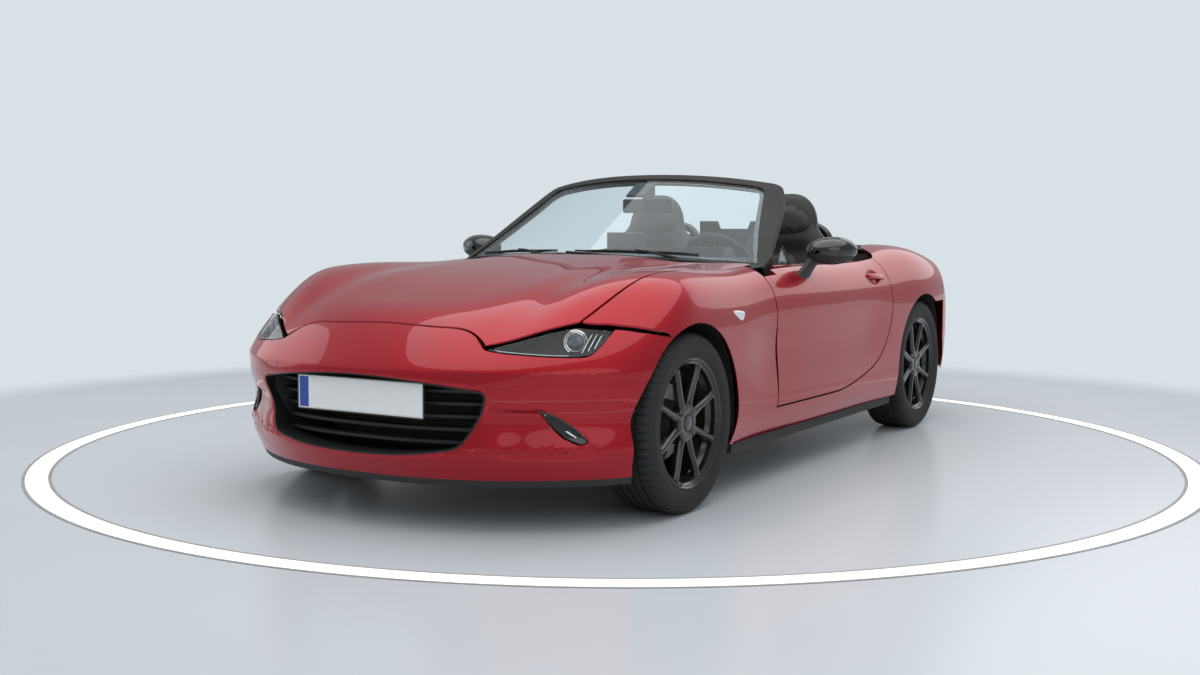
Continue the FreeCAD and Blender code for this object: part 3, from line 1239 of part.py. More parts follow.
def make_scuttle():
    """Black panel between bonnet and glass, with the two wipers parked on it."""
    reach = HALF - 150
    skin = slab(deck_ray, spread(FRONT_AXLE - 830, FRONT_AXLE - 500, 9), spread(-reach, reach, 17), SKIN, 18)
    screen = screen_slab(SCREEN_FRAME_DEPTH + 2 * SEAT_GAP, -SEAT_GAP)
    rear = base_curve(6, TUB_HALF - 72)
    front = [(FRONT_AXLE - 400, TUB_HALF - 72), (FRONT_AXLE - 400, 72 - TUB_HALF)]
    skin = skin.common(prism("xy", [rear, [rear[-1], front[0]], front, [front[1], rear[0]]], 0, 1200))
    skin = main_solid(skin.cut(prism("xy", grown(bonnet_outline(), SHUT_GAP / 2), 0, 1200)))
    wipers = []
    for pivot_y, length in ((500, 560), (-80, 520)):
        start = V(screen_base_x(pivot_y, 40), pivot_y, 0)
        start.z = cast(V(start.x, start.y, 300), V(0, 0, 1))[0].z - 14
        end_y = pivot_y - length
        end = V(screen_base_x(end_y, 26), end_y, 0)
        end.z = cast(V(end.x, end.y, 300), V(0, 0, 1))[0].z + 2
        wipers.append(rod(start - V(0, 0, 14), start + V(0, 0, 12), 11))
        wipers.append(rod(start + V(0, 0, 8), end, 5))
    front = FRONT_AXLE - 683 - SEAM_GAP
    outline = [(front, 604), (front, DOOR_CLEAR_Y - 6), (FRONT_AXLE - 940, DOOR_CLEAR_Y - 6),
               (FRONT_AXLE - 940, 604)]
    rows = spread(FRONT_AXLE - 960, FRONT_AXLE - 660, 6)
    cover = slab(deck_ray, rows, spread(590, HALF - 115, 5), SKIN, 6)
    cover = cover.common(prism("xy", polygon(*outline), 0, 1200))
    cover = cover.cut(prism("xy", grown(bonnet_outline(), SHUT_GAP / 2), 0, 1200))
    cover = cover.cut(screen)
    cover = max(cover.Solids, key=lambda piece: piece.BoundBox.XMax)
    link = slab(deck_ray, spread(FRONT_AXLE - 830, FRONT_AXLE - 700, 3), spread(600, 620, 3), 12, 8)
    near = screen_base_x(612, 12)
    far = screen_base_x(612, 40)
    link = link.common(prism("xy", polygon((near, 606), (far, 606), (far, 617), (near, 617)), 0, 1200))
    return main_solid(joined(skin, cover, link, other_side(cover), other_side(link), *wipers).cut(screen))


# Inside the cabin

def make_dashboard():
    f = FIREWALL_X
    profile = [(f - SEAT_GAP, 470), (f - SEAT_GAP, 735), (f - 70, 800), (f - 200, 822), (f - 330, 826),
               (f - 408, 806), (f - 432, 762), (f - 420, 700), (f - 380, 640), (f - 300, 560), (f - 200, 500)]
    body = prism("xz", polygon(*profile), -TUB_HALF + 22, TUB_HALF - 22)
    glass = base_curve(-38, TUB_HALF + 60)
    ahead = [(f + 40, TUB_HALF + 60), (f + 40, -TUB_HALF - 60)]
    body = body.cut(prism("xy", [glass, [glass[-1], ahead[0]], ahead, [ahead[1], glass[0]]], 720, 1200))
    hood = rod(V(f - 330, SEAT_Y, 790), V(f - 440, SEAT_Y, 784), 150).common(
        box(f - 460, f - 300, SEAT_Y - 170, SEAT_Y + 170, 780, 862))
    way = V(math.cos(COLUMN_TILT), 0, -math.sin(COLUMN_TILT))
    centre = V(STEERING_WHEEL_X, SEAT_Y, STEERING_WHEEL_Z)
    column_end = (FIREWALL_X - 385 - STEERING_WHEEL_X) / math.cos(COLUMN_TILT)
    column = rod(centre + way * (COLUMN_START + SEAT_GAP), centre + way * column_end, COLUMN_RADIUS)
    knee = box(f - 395, f - 250, 118, 620, 470, 600)
    stub = rod(centre + way * (COLUMN_START - 18), centre + way * (COLUMN_START + 10), 9)
    body = joined(body, hood, column, stub, knee)
    body = body.cut(screen_slab(200 + SCREEN_FRAME_DEPTH + SEAT_GAP, -200))
    for side in (1, -1):
        y = side * (TUB_HALF - 35)
        body = body.cut(box(f - 260, f + 10, y - 40, y + 40, 688, 1200))
    return main_solid(body)


def make_console():
    """Trim over the tunnel with gear lever and parking brake."""
    low = TUNNEL_TOP + SEAT_GAP
    back = BULKHEAD_X + 70
    front = FIREWALL_X - 250
    run = front - 60 - back
    profile = [(back, low), (back, low + 90), (back + 0.23 * run, low + 84), (back + 0.47 * run, low + 52),
               (back + 0.71 * run, low + 60), (front - 60, low + 150), (front - 60, low)]
    body = prism("xz", polygon(*profile), -105, 105)
    lever = rod(V(back + 560, 0, low + 40), V(back + 548, 0, low + 150), 8)
    knob = Part.makeSphere(23, V(back + 546, 0, low + 160))
    brake = rod(V(back + 300, -62, low + 60), V(back + 470, -62, low + 105), 13)
    return main_solid(joined(body, lever, knob, brake))


def ring_of(centre, across, deep, lean, round_share=0.3):
    """Eight-cornered section across a seat; lean tips it backwards."""
    w = across / 2
    d = deep / 2
    c = round_share
    corners = [(w, -d * (1 - c)), (w, d * (1 - c)), (w * (1 - c), d), (-w * (1 - c), d), (-w, d * (1 - c)),
               (-w, -d * (1 - c)), (-w * (1 - c), -d), (w * (1 - c), -d)]
    way = V(math.cos(lean), 0, math.sin(lean))
    points = [centre + V(0, y, 0) + way * x for y, x in corners]
    return Part.makePolygon(points + points[:1])


def make_seat():
    """Cushion, one-piece back with its head restraint, and the runners under them."""
    x = BULKHEAD_X
    y = SEAT_Y
    base = FLOOR_BOTTOM + SHEET + SEAT_GAP
    back = [(x + 150, 270, 400, 120), (x + 118, 400, 440, 130), (x + 72, 600, 440, 118),
            (x + 30, 800, 424, 100), (x + 4, 930, 392, 92), (x - 10, 1010, 330, 88),
            (x - 20, 1070, 290, 82), (x - 26, 1097, 190, 40)]
    rows = [ring_of(V(px, y, pz), wide, deep, math.radians(14)) for px, pz, wide, deep in back]
    spine = Part.makeLoft(rows, True, True)
    cushion = [(x + 130, 300, 380, 150), (x + 260, 292, 450, 150), (x + 460, 302, 460, 150),
               (x + 600, 318, 450, 130), (x + 650, 318, 400, 70)]
    rows = [ring_of(V(px, y, pz), wide, deep, math.radians(90)) for px, pz, wide, deep in cushion]
    pad = Part.makeLoft(rows, True, True)
    runners = box(x + 170, x + 560, y - 170, y + 170, base, 260)
    return main_solid(joined(spine, pad, runners))


def make_roll_hoops():
    """Two hoops behind the seats and the wind deflector between them."""
    x = HOOP_X
    pieces = []
    for side in (1, -1):
        low = SHELF_Z + SEAT_GAP
        a = V(x, side * (SEAT_Y - 150), low)
        b = V(x, side * (SEAT_Y + 150), low)
        up = V(0, 0, HOOP_TOP - 19 - 90 - low)
        over = V(0, side * 90, 90)
        turn = V(0, side * 90 * (1 - math.sqrt(0.5)), 90 * math.sqrt(0.5))
        back = V(0, -side * 90, 90)
        turn_back = V(0, -side * 90 * (1 - math.sqrt(0.5)), 90 * math.sqrt(0.5))
        path = Part.Wire([
            Part.LineSegment(a, a + up).toShape(),
            Part.Arc(a + up, a + up + turn, a + up + over).toShape(),
            Part.LineSegment(a + up + over, b + up + back).toShape(),
            Part.Arc(b + up + back, b + up + turn_back, b + up).toShape(),
            Part.LineSegment(b + up, b).toShape()])
        ring = Part.Wire(Part.makeCircle(19, a, V(0, 0, 1)))
        pieces.append(path.makePipeShell([ring], True, False))
    inner = SEAT_Y - 150 - 10
    outline = [(-inner, 850), (-inner, 971), (-88, 971), (-72, 934), (72, 934), (88, 971), (inner, 971),
               (inner, 850)]
    panel = prism("yz", polygon(*outline), x - 3, x + 3)
    return main_solid(joined(*pieces, panel))


def make_soft_top():
    """Folded top in its well behind the seats."""
    front = HOOP_X - 26
    back = REAR_AXLE - 118 - 8
    top = []
    bottom = []
    for share in spread(0, 1, 7):
        x = front + (back - front) * share
        drop = 42 * share + 22 * (2 * share - 1) ** 4
        half = WELL_HALF - SEAT_GAP - SHEET - 8
        row = []
        for part in spread(-1, 1, 9):
            row.append(V(x, half * part, 917 - drop - 34 * part ** 4))
        top.append(row)
        bottom.append([V(p.x, p.y, SHELF_Z + SEAT_GAP) for p in row])
    return slab_between(top, bottom)


def make_steering_wheel():
    """Rim, three spokes and hub; made flat, then set on the column."""
    ring_radius = STEERING_WHEEL_RADIUS - STEERING_RIM_RADIUS
    rim = Part.makeTorus(ring_radius, STEERING_RIM_RADIUS)
    hub = Part.makeCylinder(62, 52, V(0, 0, -46))
    spoke = box(0, ring_radius, -17, 17, -18, -4)
    spokes = [spoke.rotated(V(0, 0, 0), V(0, 0, 1), turn) for turn in (0, 180, 270)]
    back = Part.makeCylinder(34, 26, V(0, 0, -COLUMN_START))
    wheel = joined(rim, hub, back, *spokes)
    wheel = wheel.cut(Part.makeCylinder(9 + RUNNING_GAP, 20 + RUNNING_GAP, V(0, 0, -COLUMN_START - 1)))
    wheel = main_solid(wheel).rotated(V(0, 0, 0), V(0, 0, 1), 90)
    wheel = wheel.rotated(V(0, 0, 0), V(0, 1, 0), -90 + math.degrees(COLUMN_TILT))
    return wheel.translated(V(STEERING_WHEEL_X, SEAT_Y, STEERING_WHEEL_Z))


def make_interior_mirror():
    up = 560.0
    foot = screen_point(0, up, 5 + SCREEN_GLASS + SEAT_GAP)
    pod = box(foot.x - 30, foot.x + 60, -45, 45, foot.z - 46, foot.z + 60)
    glass = screen_slab(60, 5 + SCREEN_GLASS + SEAT_GAP)
    pod = main_solid(pod.common(glass))
    stem = rod(V(foot.x - 10, 0, foot.z - 40), V(foot.x - 34, 0, foot.z - 72), 8)
    head = box(foot.x - 52, foot.x - 30, -118, 118, foot.z - 112, foot.z - 52)
    head = head.makeFillet(9, head.Edges)
    return main_solid(joined(pod, stem, head))


def oval(x, y, z, half_y, half_z):
    """Upright ellipse across the car, for lofting."""
    ellipse = Part.Ellipse(V(0, 0, 0), half_y, half_z)
    edge = ellipse.toShape()
    turn = FreeCAD.Rotation(V(0, 1, 0), V(0, 0, 1), V(1, 0, 0), "XYZ")
    edge.Placement = FreeCAD.Placement(V(x, y, z), turn)
    return Part.Wire(edge)


def make_mirror():
    """Door mirror housing on its foot."""
    x = MIRROR_X
    y = HALF - 6
    rings = [oval(x, y, 851, 92, 52), oval(x + 24, y, 851, 94, 55), oval(x + 64, y - 7, 850, 86, 52),
             oval(x + 98, y - 17, 848, 66, 40), oval(x + 124, y - 27, 846, 30, 20)]
    shell = Part.makeLoft(rings, True, False)
    foot = prism("xz", polygon((x + 114, 728), (x + 222, 728), (x + 102, 842), (x + 42, 842)),
                 HALF - 93, HALF - 56)
    angles = [math.radians(d) for d in spread(10, 80, 7)]
    flank = slab(side_ray, spread(x - 20, x + 320, 5), angles, 130, -SEAT_GAP)
    foot = foot.cut(flank)
    foot = max(foot.Solids, key=lambda piece: piece.BoundBox.ZMax)
    return main_solid(joined(shell, foot))


def make_quarter_window():
    """Small fixed pane and its strut on the door, behind the pillar."""
    base = HALF - BELT_INSET - 22
    floor = BELT_SHELF + SEAT_GAP
    rear = MIRROR_X + 146
    low = [V(rear + 112, base, floor), V(rear, base, floor)]
    high = V(rear, base - 36, floor + 72)
    pane = Part.Face(Part.makePolygon([low[0], low[1], high, low[0]])).extrude(V(0, 5, 0))
    post = [low[1] - V(3, 0, 0), low[1] + V(14, 0, 0), high + V(6, 0, 0), high - V(3, 0, 0)]
    strut = Part.Face(Part.makePolygon(post + post[:1])).extrude(V(0, 7, 0))
    return main_solid(joined(pane, strut))


def make_engine():
    block = box(FIREWALL_X + 50, FRONT_AXLE - 68, -190, 190, 275, 640)
    mount = box(FIREWALL_X + 250, FIREWALL_X + 310, 180, RAIL_INNER - SEAT_GAP, 285, 315)
    return joined(block, mount, other_side(mount))


def make_propshaft():
    """Gearbox and the shaft back to the differential."""
    x = FIREWALL_X + 50 - SEAT_GAP
    box_end = x - 560
    gearbox = Part.makeCone(92, 58, 560, V(x, 0, 288), V(-1, 0, 0))
    shaft = rod(V(box_end + 10, 0, 290), V(REAR_AXLE + 190 + SEAT_GAP, 0, 294), 32)
    return main_solid(joined(gearbox, shaft))


def make_exhaust():
    """Pipe along the tunnel, silencer across the tail, and two tips on the right."""
    z = 174
    y = -70
    bend = REAR_AXLE - 330
    pipe = rod(V(FIREWALL_X - 40, y, z), V(bend, y, z), 24)
    elbow = Part.makeSphere(24, V(bend, y, z))
    cross = rod(V(bend, y, z), V(bend - 60, -200, 236), 24)
    silencer = box(TAIL + 190, bend - 40, -440, -150, 186, 306)
    silencer = silencer.makeFillet(40, [e for e in silencer.Edges if abs(e.Length - 290) < 1])
    tips = [rod(V(TAIL + 200, ty, 216), V(TAIL + 72, ty, 216), 31) for ty in (-400, -320)]
    hollow = [rod(V(TAIL + 110, ty, 216), V(TAIL + 60, ty, 216), 27) for ty in (-400, -320)]
    lug = box(bend - 150, bend - 110, -300, -260, 300, BOOT_FLOOR_Z - SEAT_GAP)
    return main_solid(joined(pipe, elbow, cross, silencer, lug, *tips).cut(hollow[0]).cut(hollow[1]))


# Everything in its place

def main():
    side = make_side()
    wing = make_wing()
    door = make_door()
    mirror = joined(make_mirror(), make_quarter_window())
    seat = make_seat()
    frame, glass = make_windscreen()
    pairs = {"body_side": side, "front_wing": wing, "door": door, "mirror": mirror, "seat": seat}
    rim = make_rim()
    tyre = make_tyre()
    pairs["wheel_front"] = at_wheel(rim, FRONT_AXLE)
    pairs["wheel_rear"] = at_wheel(rim, REAR_AXLE)
    pairs["tyre_front"] = at_wheel(tyre, FRONT_AXLE)
    pairs["tyre_rear"] = at_wheel(tyre, REAR_AXLE)
    pairs["knuckle_front"] = at_wheel(make_knuckle(True, 40), FRONT_AXLE)
    for name, shape in pairs.items():
        write(name + "_left", shape)
        write(name + "_right", other_side(shape))
    write("floor_pan", make_floor())
    write("front_structure", make_front_structure())
    write("rear_structure", make_rear_structure())
    write("boot_tub", make_boot_tub())
    write("arch_liners", make_arch_liners())
    write("front_bumper", make_front_bumper())
    write("rear_bumper", make_rear_bumper())
    write("lower_trims", make_lower_trims())
    write("rear_deck", make_rear_deck())
    write("scuttle", make_scuttle())
    write("bonnet", make_bonnet())
    write("boot_lid", make_boot_lid())
    write("windscreen_frame", frame)
    write("windscreen_glass", glass)
    write("headlamps", make_headlamps())
    write("tail_lamps", make_tail_lamps())
    write("grille", make_grille())
    write("radiator", make_radiator())
    write("number_plate", make_plate())
    write("dashboard", make_dashboard())
    write("centre_console", make_console())
    write("steering_wheel", make_steering_wheel())
    write("interior_mirror", make_interior_mirror())
    write("roll_hoops", make_roll_hoops())
    write("soft_top", make_soft_top())
    write("engine_block", make_engine())
    write("gearbox_shaft", make_propshaft())
    write("exhaust", make_exhaust())
    write("front_suspension", make_front_suspension())
    write("rear_suspension", make_rear_suspension())


main()
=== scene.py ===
"""Open two-seat car with a folded soft top: its looks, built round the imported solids.

Lengths in the property groups are metres. The body's form is worked out in millimetres, as it was drawn.
"""

import functools
import json
import math

import bmesh
import bpy
import numpy as np
from mathutils import Matrix, Vector


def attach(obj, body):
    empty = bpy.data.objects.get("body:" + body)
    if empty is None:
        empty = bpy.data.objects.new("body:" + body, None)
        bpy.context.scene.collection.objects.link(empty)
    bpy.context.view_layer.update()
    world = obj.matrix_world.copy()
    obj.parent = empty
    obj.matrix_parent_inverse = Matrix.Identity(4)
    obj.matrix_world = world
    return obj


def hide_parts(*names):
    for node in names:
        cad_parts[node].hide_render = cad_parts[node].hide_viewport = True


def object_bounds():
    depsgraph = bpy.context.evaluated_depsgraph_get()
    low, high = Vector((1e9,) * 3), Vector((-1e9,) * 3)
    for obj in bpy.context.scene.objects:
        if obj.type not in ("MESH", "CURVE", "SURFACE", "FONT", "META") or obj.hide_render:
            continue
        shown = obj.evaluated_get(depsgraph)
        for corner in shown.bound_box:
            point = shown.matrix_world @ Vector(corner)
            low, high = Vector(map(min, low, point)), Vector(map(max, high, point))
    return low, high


bl_info = {
    "name": "Open two-seat car",
    "version": (1, 0, 0),
    "blender": (4, 5, 0),
    "location": "View3D > Sidebar > Car",
    "description": "Dresses the packed solids of an open two-seat car",
    "category": "Add Mesh",
}

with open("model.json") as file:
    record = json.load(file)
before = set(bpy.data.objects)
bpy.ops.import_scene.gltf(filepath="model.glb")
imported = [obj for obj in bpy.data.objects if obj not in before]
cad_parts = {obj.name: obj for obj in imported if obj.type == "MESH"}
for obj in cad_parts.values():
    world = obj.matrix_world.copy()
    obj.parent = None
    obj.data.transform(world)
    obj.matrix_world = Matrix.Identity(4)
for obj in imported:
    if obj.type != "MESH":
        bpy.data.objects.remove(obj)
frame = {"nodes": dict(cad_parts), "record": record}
CAD_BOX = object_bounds()

# The body's named sizes, in millimetres, as in its drawing
LENGTH = 3915.0
HALF = 867.5
NOSE = LENGTH / 2
TAIL = -LENGTH / 2
FRONT_AXLE = NOSE - 720.0
REAR_AXLE = FRONT_AXLE - 2310.0
TYRE_RADIUS = 300.5
WHEEL_Y = 747.5
SKIN = 4.0
NOSE_ROUNDING = 15.5
SKIN_ABOVE = 4.0
SKIN_BELOW = 2.0
CHIN_BELOW = 2.75
SCOOP = 9.0
HANDLE_X = -512.0
HANDLE_Z = 726.0
SCREEN_RAKE = math.radians(31.6)
SCREEN_BASE_X = FRONT_AXLE - 652.5
SCREEN_BASE_Z = 830.0
SCREEN_LENGTH = 640.5
SEAT_Y = 345.0
PLATE_X = NOSE - 40.5
PLATE_Z = 408.0
PLATE_HALF = 260.0
MM = 0.001

# The studio
WORLD_LIGHT = 0.64
GLOSS_LIGHT = 0.40
FLOOR_NEAR = 3.5
FLOOR_FAR = 4.2
RING_LIGHT = 1.35
RING_CENTRE = (0.12, -0.12)
RING_INNER = 2.30
RING_OUTER = 2.38
RING_JOINT = 0.012
RING_PROUD = 0.0012
CAMERA_PLACE = (5.1938, 2.9025, 0.9497)
CAMERA_TURN = (3.69049, -0.08205, 0.001956)
CAMERA_LENS = 40.94
FLOOR_REACH = 60.0

PAINTED = ("bonnet", "boot_lid", "rear_deck", "front_bumper", "rear_bumper",
           "front_wing_left", "front_wing_right", "door_left", "door_right",
           "body_side_left", "body_side_right")
SIDES = (("left", 1), ("right", -1))
BODY_OF = {node: body for body, nodes in frame["record"]["behaviour"]["bodies"].items() for node in nodes}
ROOT = BODY_OF["floor_pan"]


# Shader expressions

def maths(operation, reflected=False):
    """A method of Socket that adds one Math node."""
    def method(self, *others):
        values = (self,) + others
        if reflected:
            values = values[::-1]
        return self.recipe.node("ShaderNodeMath", {"operation": operation}, dict(enumerate(values)))

    return method


class Socket:
    """A shader value; arithmetic on it adds Math nodes."""

    def __init__(self, recipe, link):
        self.recipe = recipe
        self.link = link

    __add__ = maths("ADD")
    __radd__ = maths("ADD", True)
    __sub__ = maths("SUBTRACT")
    __rsub__ = maths("SUBTRACT", True)
    __mul__ = maths("MULTIPLY")
    __rmul__ = maths("MULTIPLY", True)
    __truediv__ = maths("DIVIDE")
    __pow__ = maths("POWER")
    __gt__ = maths("GREATER_THAN")
    __lt__ = maths("LESS_THAN")
    abs = maths("ABSOLUTE")
    sine = maths("SINE")
    least = maths("MINIMUM")
    most = maths("MAXIMUM")


class Recipe:
    """A material under construction."""

    def __init__(self, name):
        self.material = bpy.data.materials.new(name)
        self.material.use_nodes = True
        self.tree = self.material.node_tree
        self.tree.nodes.clear()

    def node(self, kind, settings=None, sockets=None, output=0):
        """Adds a node, sets it up, joins its sockets and gives one output."""
        made = self.tree.nodes.new(kind)
        for key, value in (settings or {}).items():
            if key == "stops":
                self._stops(made.color_ramp, value)
            else:
                setattr(made, key, value)
        for key, value in (sockets or {}).items():
            socket = made.inputs[key]
            if isinstance(value, Socket):
                self.tree.links.new(value.link, socket)
            else:
                socket.default_value = value
        return Socket(self, made.outputs[output]) if len(made.outputs) else None

    @staticmethod
    def _stops(ramp, stops):
        while len(ramp.elements) > 1:
            ramp.elements.remove(ramp.elements[-1])
        ramp.elements[0].position = stops[0][0]
        ramp.elements[0].color = stops[0][1]
        for position, colour in stops[1:]:
            ramp.elements.new(position).color = colour

    def place(self):
        """Position on the piece in metres."""
        return self.node("ShaderNodeTexCoord", output="Object")

    def parts(self, vector):
        split = self.tree.nodes.new("ShaderNodeSeparateXYZ")
        self.tree.links.new(vector.link, split.inputs[0])
        return [Socket(self, split.outputs[i]) for i in range(3)]

    def noise(self, scale, detail=3.0):
        sockets = {"Vector": self.place(), "Scale": scale, "Detail": detail}
        return self.node("ShaderNodeTexNoise", {}, sockets, "Fac")

    def cells(self, scale):
        return self.node("ShaderNodeTexVoronoi", {}, {"Vector": self.place(), "Scale": scale}, "Distance")

    def mix(self, share, first, second):
        """A colour between two colours."""
        made = self.tree.nodes.new("ShaderNodeMix")
        made.data_type = "RGBA"
        for index, value in ((0, share), (6, first), (7, second)):
            if isinstance(value, Socket):
                self.tree.links.new(value.link, made.inputs[index])
            else:
                made.inputs[index].default_value = value
        return Socket(self, made.outputs[2])

    def relief(self, height, distance, strength=1.0):
        return self.node("ShaderNodeBump", {}, {"Height": height, "Distance": distance, "Strength": strength})

    def surface(self, **sockets):
        """Principled surface; spaces in socket names are written as underscores."""
        named = {key.replace("_", " "): value for key, value in sockets.items()}
        return self.node("ShaderNodeBsdfPrincipled", {}, named)

    def finish(self, shader):
        self.node("ShaderNodeOutputMaterial", {}, {"Surface": shader})
        return self.material


def tone(colour, factor=1.0):
    return (colour[0] * factor, colour[1] * factor, colour[2] * factor, 1.0)


def grey(value, red, green, blue):
    """A value with a share of its own for each channel."""
    return (value * red, value * green, value * blue, 1)


@functools.cache
def finish(maker, *values):
    """One material for each maker and set of values."""
    return maker(*values)


def red_lacquer():
    """Clear coat over a deep metallic red, with a little orange peel."""
    colour = bpy.context.scene.car_colours.paint
    r = Recipe("red_lacquer")
    flake = r.noise(900.0, 1.0)
    peel = r.noise(70.0, 1.0)
    base = r.mix(flake, tone(colour, 0.85), tone(colour, 1.15))
    return r.finish(r.surface(Base_Color=base, Metallic=0.55, Roughness=0.38, Coat_Weight=0.85,
                              Coat_Roughness=0.02, Coat_IOR=1.42, Specular_IOR_Level=0.12,
                              Normal=r.relief(peel, 0.00012, 0.2)))


def gloss_black(name, value):
    r = Recipe(name)
    dust = r.noise(35.0, 4.0)
    return r.finish(r.surface(Base_Color=(value, value, value * 1.08, 1.0), Roughness=0.10 + dust * 0.1,
                              Coat_Weight=0.6, Coat_Roughness=0.04))


def grained_plastic(name, value, grain):
    r = Recipe(name)
    pits = r.cells(grain)
    cloud = r.noise(6.0, 3.0)
    colour = r.mix(cloud, grey(value, 0.8, 0.8, 0.82), grey(value, 1.3, 1.3, 1.33))
    return r.finish(r.surface(Base_Color=colour, Roughness=0.55 + cloud * 0.15,
                              Normal=r.relief(pits, 0.0003, 0.35)))


def rubber():
    r = Recipe("tyre_rubber")
    cloud = r.noise(14.0, 4.0)
    fine = r.noise(420.0, 2.0)
    colour = r.mix(cloud, (0.008, 0.008, 0.0085, 1), (0.017, 0.017, 0.018, 1))
    return r.finish(r.surface(Base_Color=colour, Roughness=0.62 + cloud * 0.2,
                              Normal=r.relief(fine, 0.0002, 0.3)))


def brake_disc(centre):
    """Swept face of a brake disc: fine rings about its axle and a bloom of rust at its edges."""
    r = Recipe("brake_disc_" + ("front" if centre > 0 else "rear"))
    x, _, z = r.parts(r.place())
    dx = x - centre * MM
    dz = z - TYRE_RADIUS * MM
    radius = (dx * dx + dz * dz) ** 0.5
    rings = (radius * 5200.0).sine()
    cloud = r.noise(30.0, 4.0)
    worn = ((radius > 0.0755) * (radius < 0.1265)).least(1.0)
    colour = r.mix(worn, (0.10, 0.055, 0.035, 1), r.mix(cloud, (0.36, 0.36, 0.37, 1), (0.52, 0.52, 0.53, 1)))
    return r.finish(r.surface(Base_Color=colour, Metallic=0.95, Roughness=0.62 - worn * 0.34 + cloud * 0.06,
                              Normal=r.relief(rings, 0.00015, 0.4)))


def light_guide():
    """Frosted white guide of a light that is off."""
    r = Recipe("light_guide")
    _, y, _ = r.parts(r.place())
    ribs = (y * 1700.0).sine()
    cloud = r.noise(40.0, 2.0)
    colour = r.mix(cloud, (0.62, 0.64, 0.66, 1), (0.74, 0.76, 0.78, 1))
    return r.finish(r.surface(Base_Color=colour, Roughness=0.14, Coat_Weight=1.0, Coat_Roughness=0.02,
                              Normal=r.relief(ribs, 0.0003, 0.35)))


def black_alloy():
    """Wheel lacquer with a fine metallic glint."""
    r = Recipe("black_alloy")
    flake = r.noise(1100.0, 1.0)
    dust = r.noise(18.0, 4.0)
    colour = r.mix(flake, (0.010, 0.010, 0.011, 1), (0.024, 0.024, 0.026, 1))
    return r.finish(r.surface(Base_Color=colour, Metallic=0.4, Roughness=0.22 + dust * 0.12, Coat_Weight=0.7,
                              Coat_Roughness=0.08))


def bright_metal(name, value, roughness):
    r = Recipe(name)
    streak = r.noise(60.0, 4.0)
    return r.finish(r.surface(Base_Color=(value, value, value * 1.01, 1), Metallic=1.0,
                              Roughness=roughness + streak * 0.12))


def cast_metal(name, value):
    """Rough cast or forged metal with patches of dust."""
    r = Recipe(name)
    cloud = r.noise(22.0, 5.0)
    pits = r.noise(260.0, 3.0)
    colour = r.mix(cloud, grey(value, 0.65, 0.63, 0.62), grey(value, 1.4, 1.38, 1.34))
    return r.finish(r.surface(Base_Color=colour, Metallic=0.7, Roughness=0.55 + cloud * 0.25,
                              Normal=r.relief(pits, 0.0005, 0.5)))


def underseal():
    """Sprayed coating of the pressed floor."""
    r = Recipe("underseal")
    cloud = r.noise(9.0, 4.0)
    lumps = r.noise(180.0, 3.0)
    colour = r.mix(cloud, (0.016, 0.017, 0.019, 1), (0.034, 0.035, 0.038, 1))
    return r.finish(r.surface(Base_Color=colour, Roughness=0.68 + cloud * 0.2,
                              Normal=r.relief(lumps, 0.0008, 0.5)))


def black_leather(name, value):
    """Grained hide: small pebbles broken by finer creases."""
    r = Recipe(name)
    pebbles = r.cells(620.0)
    creases = r.noise(140.0, 4.0)
    cloud = r.noise(7.0, 3.0)
    height = pebbles * 0.7 + creases * 0.5
    colour = r.mix(cloud, grey(value, 0.75, 0.75, 0.78), grey(value, 1.35, 1.33, 1.33))
    return r.finish(r.surface(Base_Color=colour, Roughness=0.42 + cloud * 0.16,
                              Normal=r.relief(height, 0.0006, 0.5)))


def pierced_leather(name, first, second):
    """Hide with rows of fine punched holes, on a pad that faces along the remaining axis."""
    r = Recipe("pierced_leather_" + name)
    axes = dict(zip("xyz", r.parts(r.place())))
    pitch = 2 * math.pi / 0.0065
    dots = (axes[first] * pitch).sine() * (axes[second] * pitch).sine()
    holes = dots > 0.78
    pebbles = r.cells(620.0)
    cloud = r.noise(7.0, 3.0)
    colour = r.mix(cloud, (0.013, 0.013, 0.0135, 1), (0.024, 0.0235, 0.0235, 1))
    colour = r.mix(holes, colour, (0.001, 0.001, 0.001, 1))
    return r.finish(r.surface(Base_Color=colour, Roughness=0.48 + cloud * 0.16 + holes * 0.3,
                              Normal=r.relief(pebbles * 0.4 - holes * 1.4, 0.0006, 0.5)))


def thread():
    r = Recipe("thread")
    twist = r.noise(900.0, 2.0)
    colour = r.mix(twist, (0.045, 0.045, 0.047, 1), (0.11, 0.11, 0.115, 1))
    return r.finish(r.surface(Base_Color=colour, Roughness=0.8))


def cabin_floor():
    """Pressed floor: looped carpet on the faces inside the cabin, sprayed coating elsewhere."""
    r = Recipe("cabin_floor")
    x, y, z = r.parts(r.place())
    inside = (x > -0.80) * (x < 0.6372) * (y.abs() < 0.6895) * (z > 0.1521)
    loops = r.cells(700.0)
    lumps = r.noise(180.0, 3.0)
    cloud = r.noise(11.0, 3.0)
    coated = r.mix(cloud, (0.016, 0.017, 0.019, 1), (0.034, 0.035, 0.038, 1))
    laid = r.mix(cloud, (0.010, 0.010, 0.011, 1), (0.022, 0.022, 0.024, 1))
    height = lumps * (1.0 - inside) * 0.5 + loops * inside
    return r.finish(r.surface(Base_Color=r.mix(inside, coated, laid), Roughness=0.70 + inside * 0.22,
                              Normal=r.relief(height, 0.0012, 0.7)))


def glowing_ring():
    """Lit ring let into the studio floor."""
    r = Recipe("glowing_ring")
    cloud = r.noise(3.0, 2.0)
    glow = r.mix(cloud, (0.96, 0.98, 1.0, 1), (1.0, 1.0, 1.0, 1))
    return r.finish(r.node("ShaderNodeEmission", {}, {"Color": glow, "Strength": RING_LIGHT}))


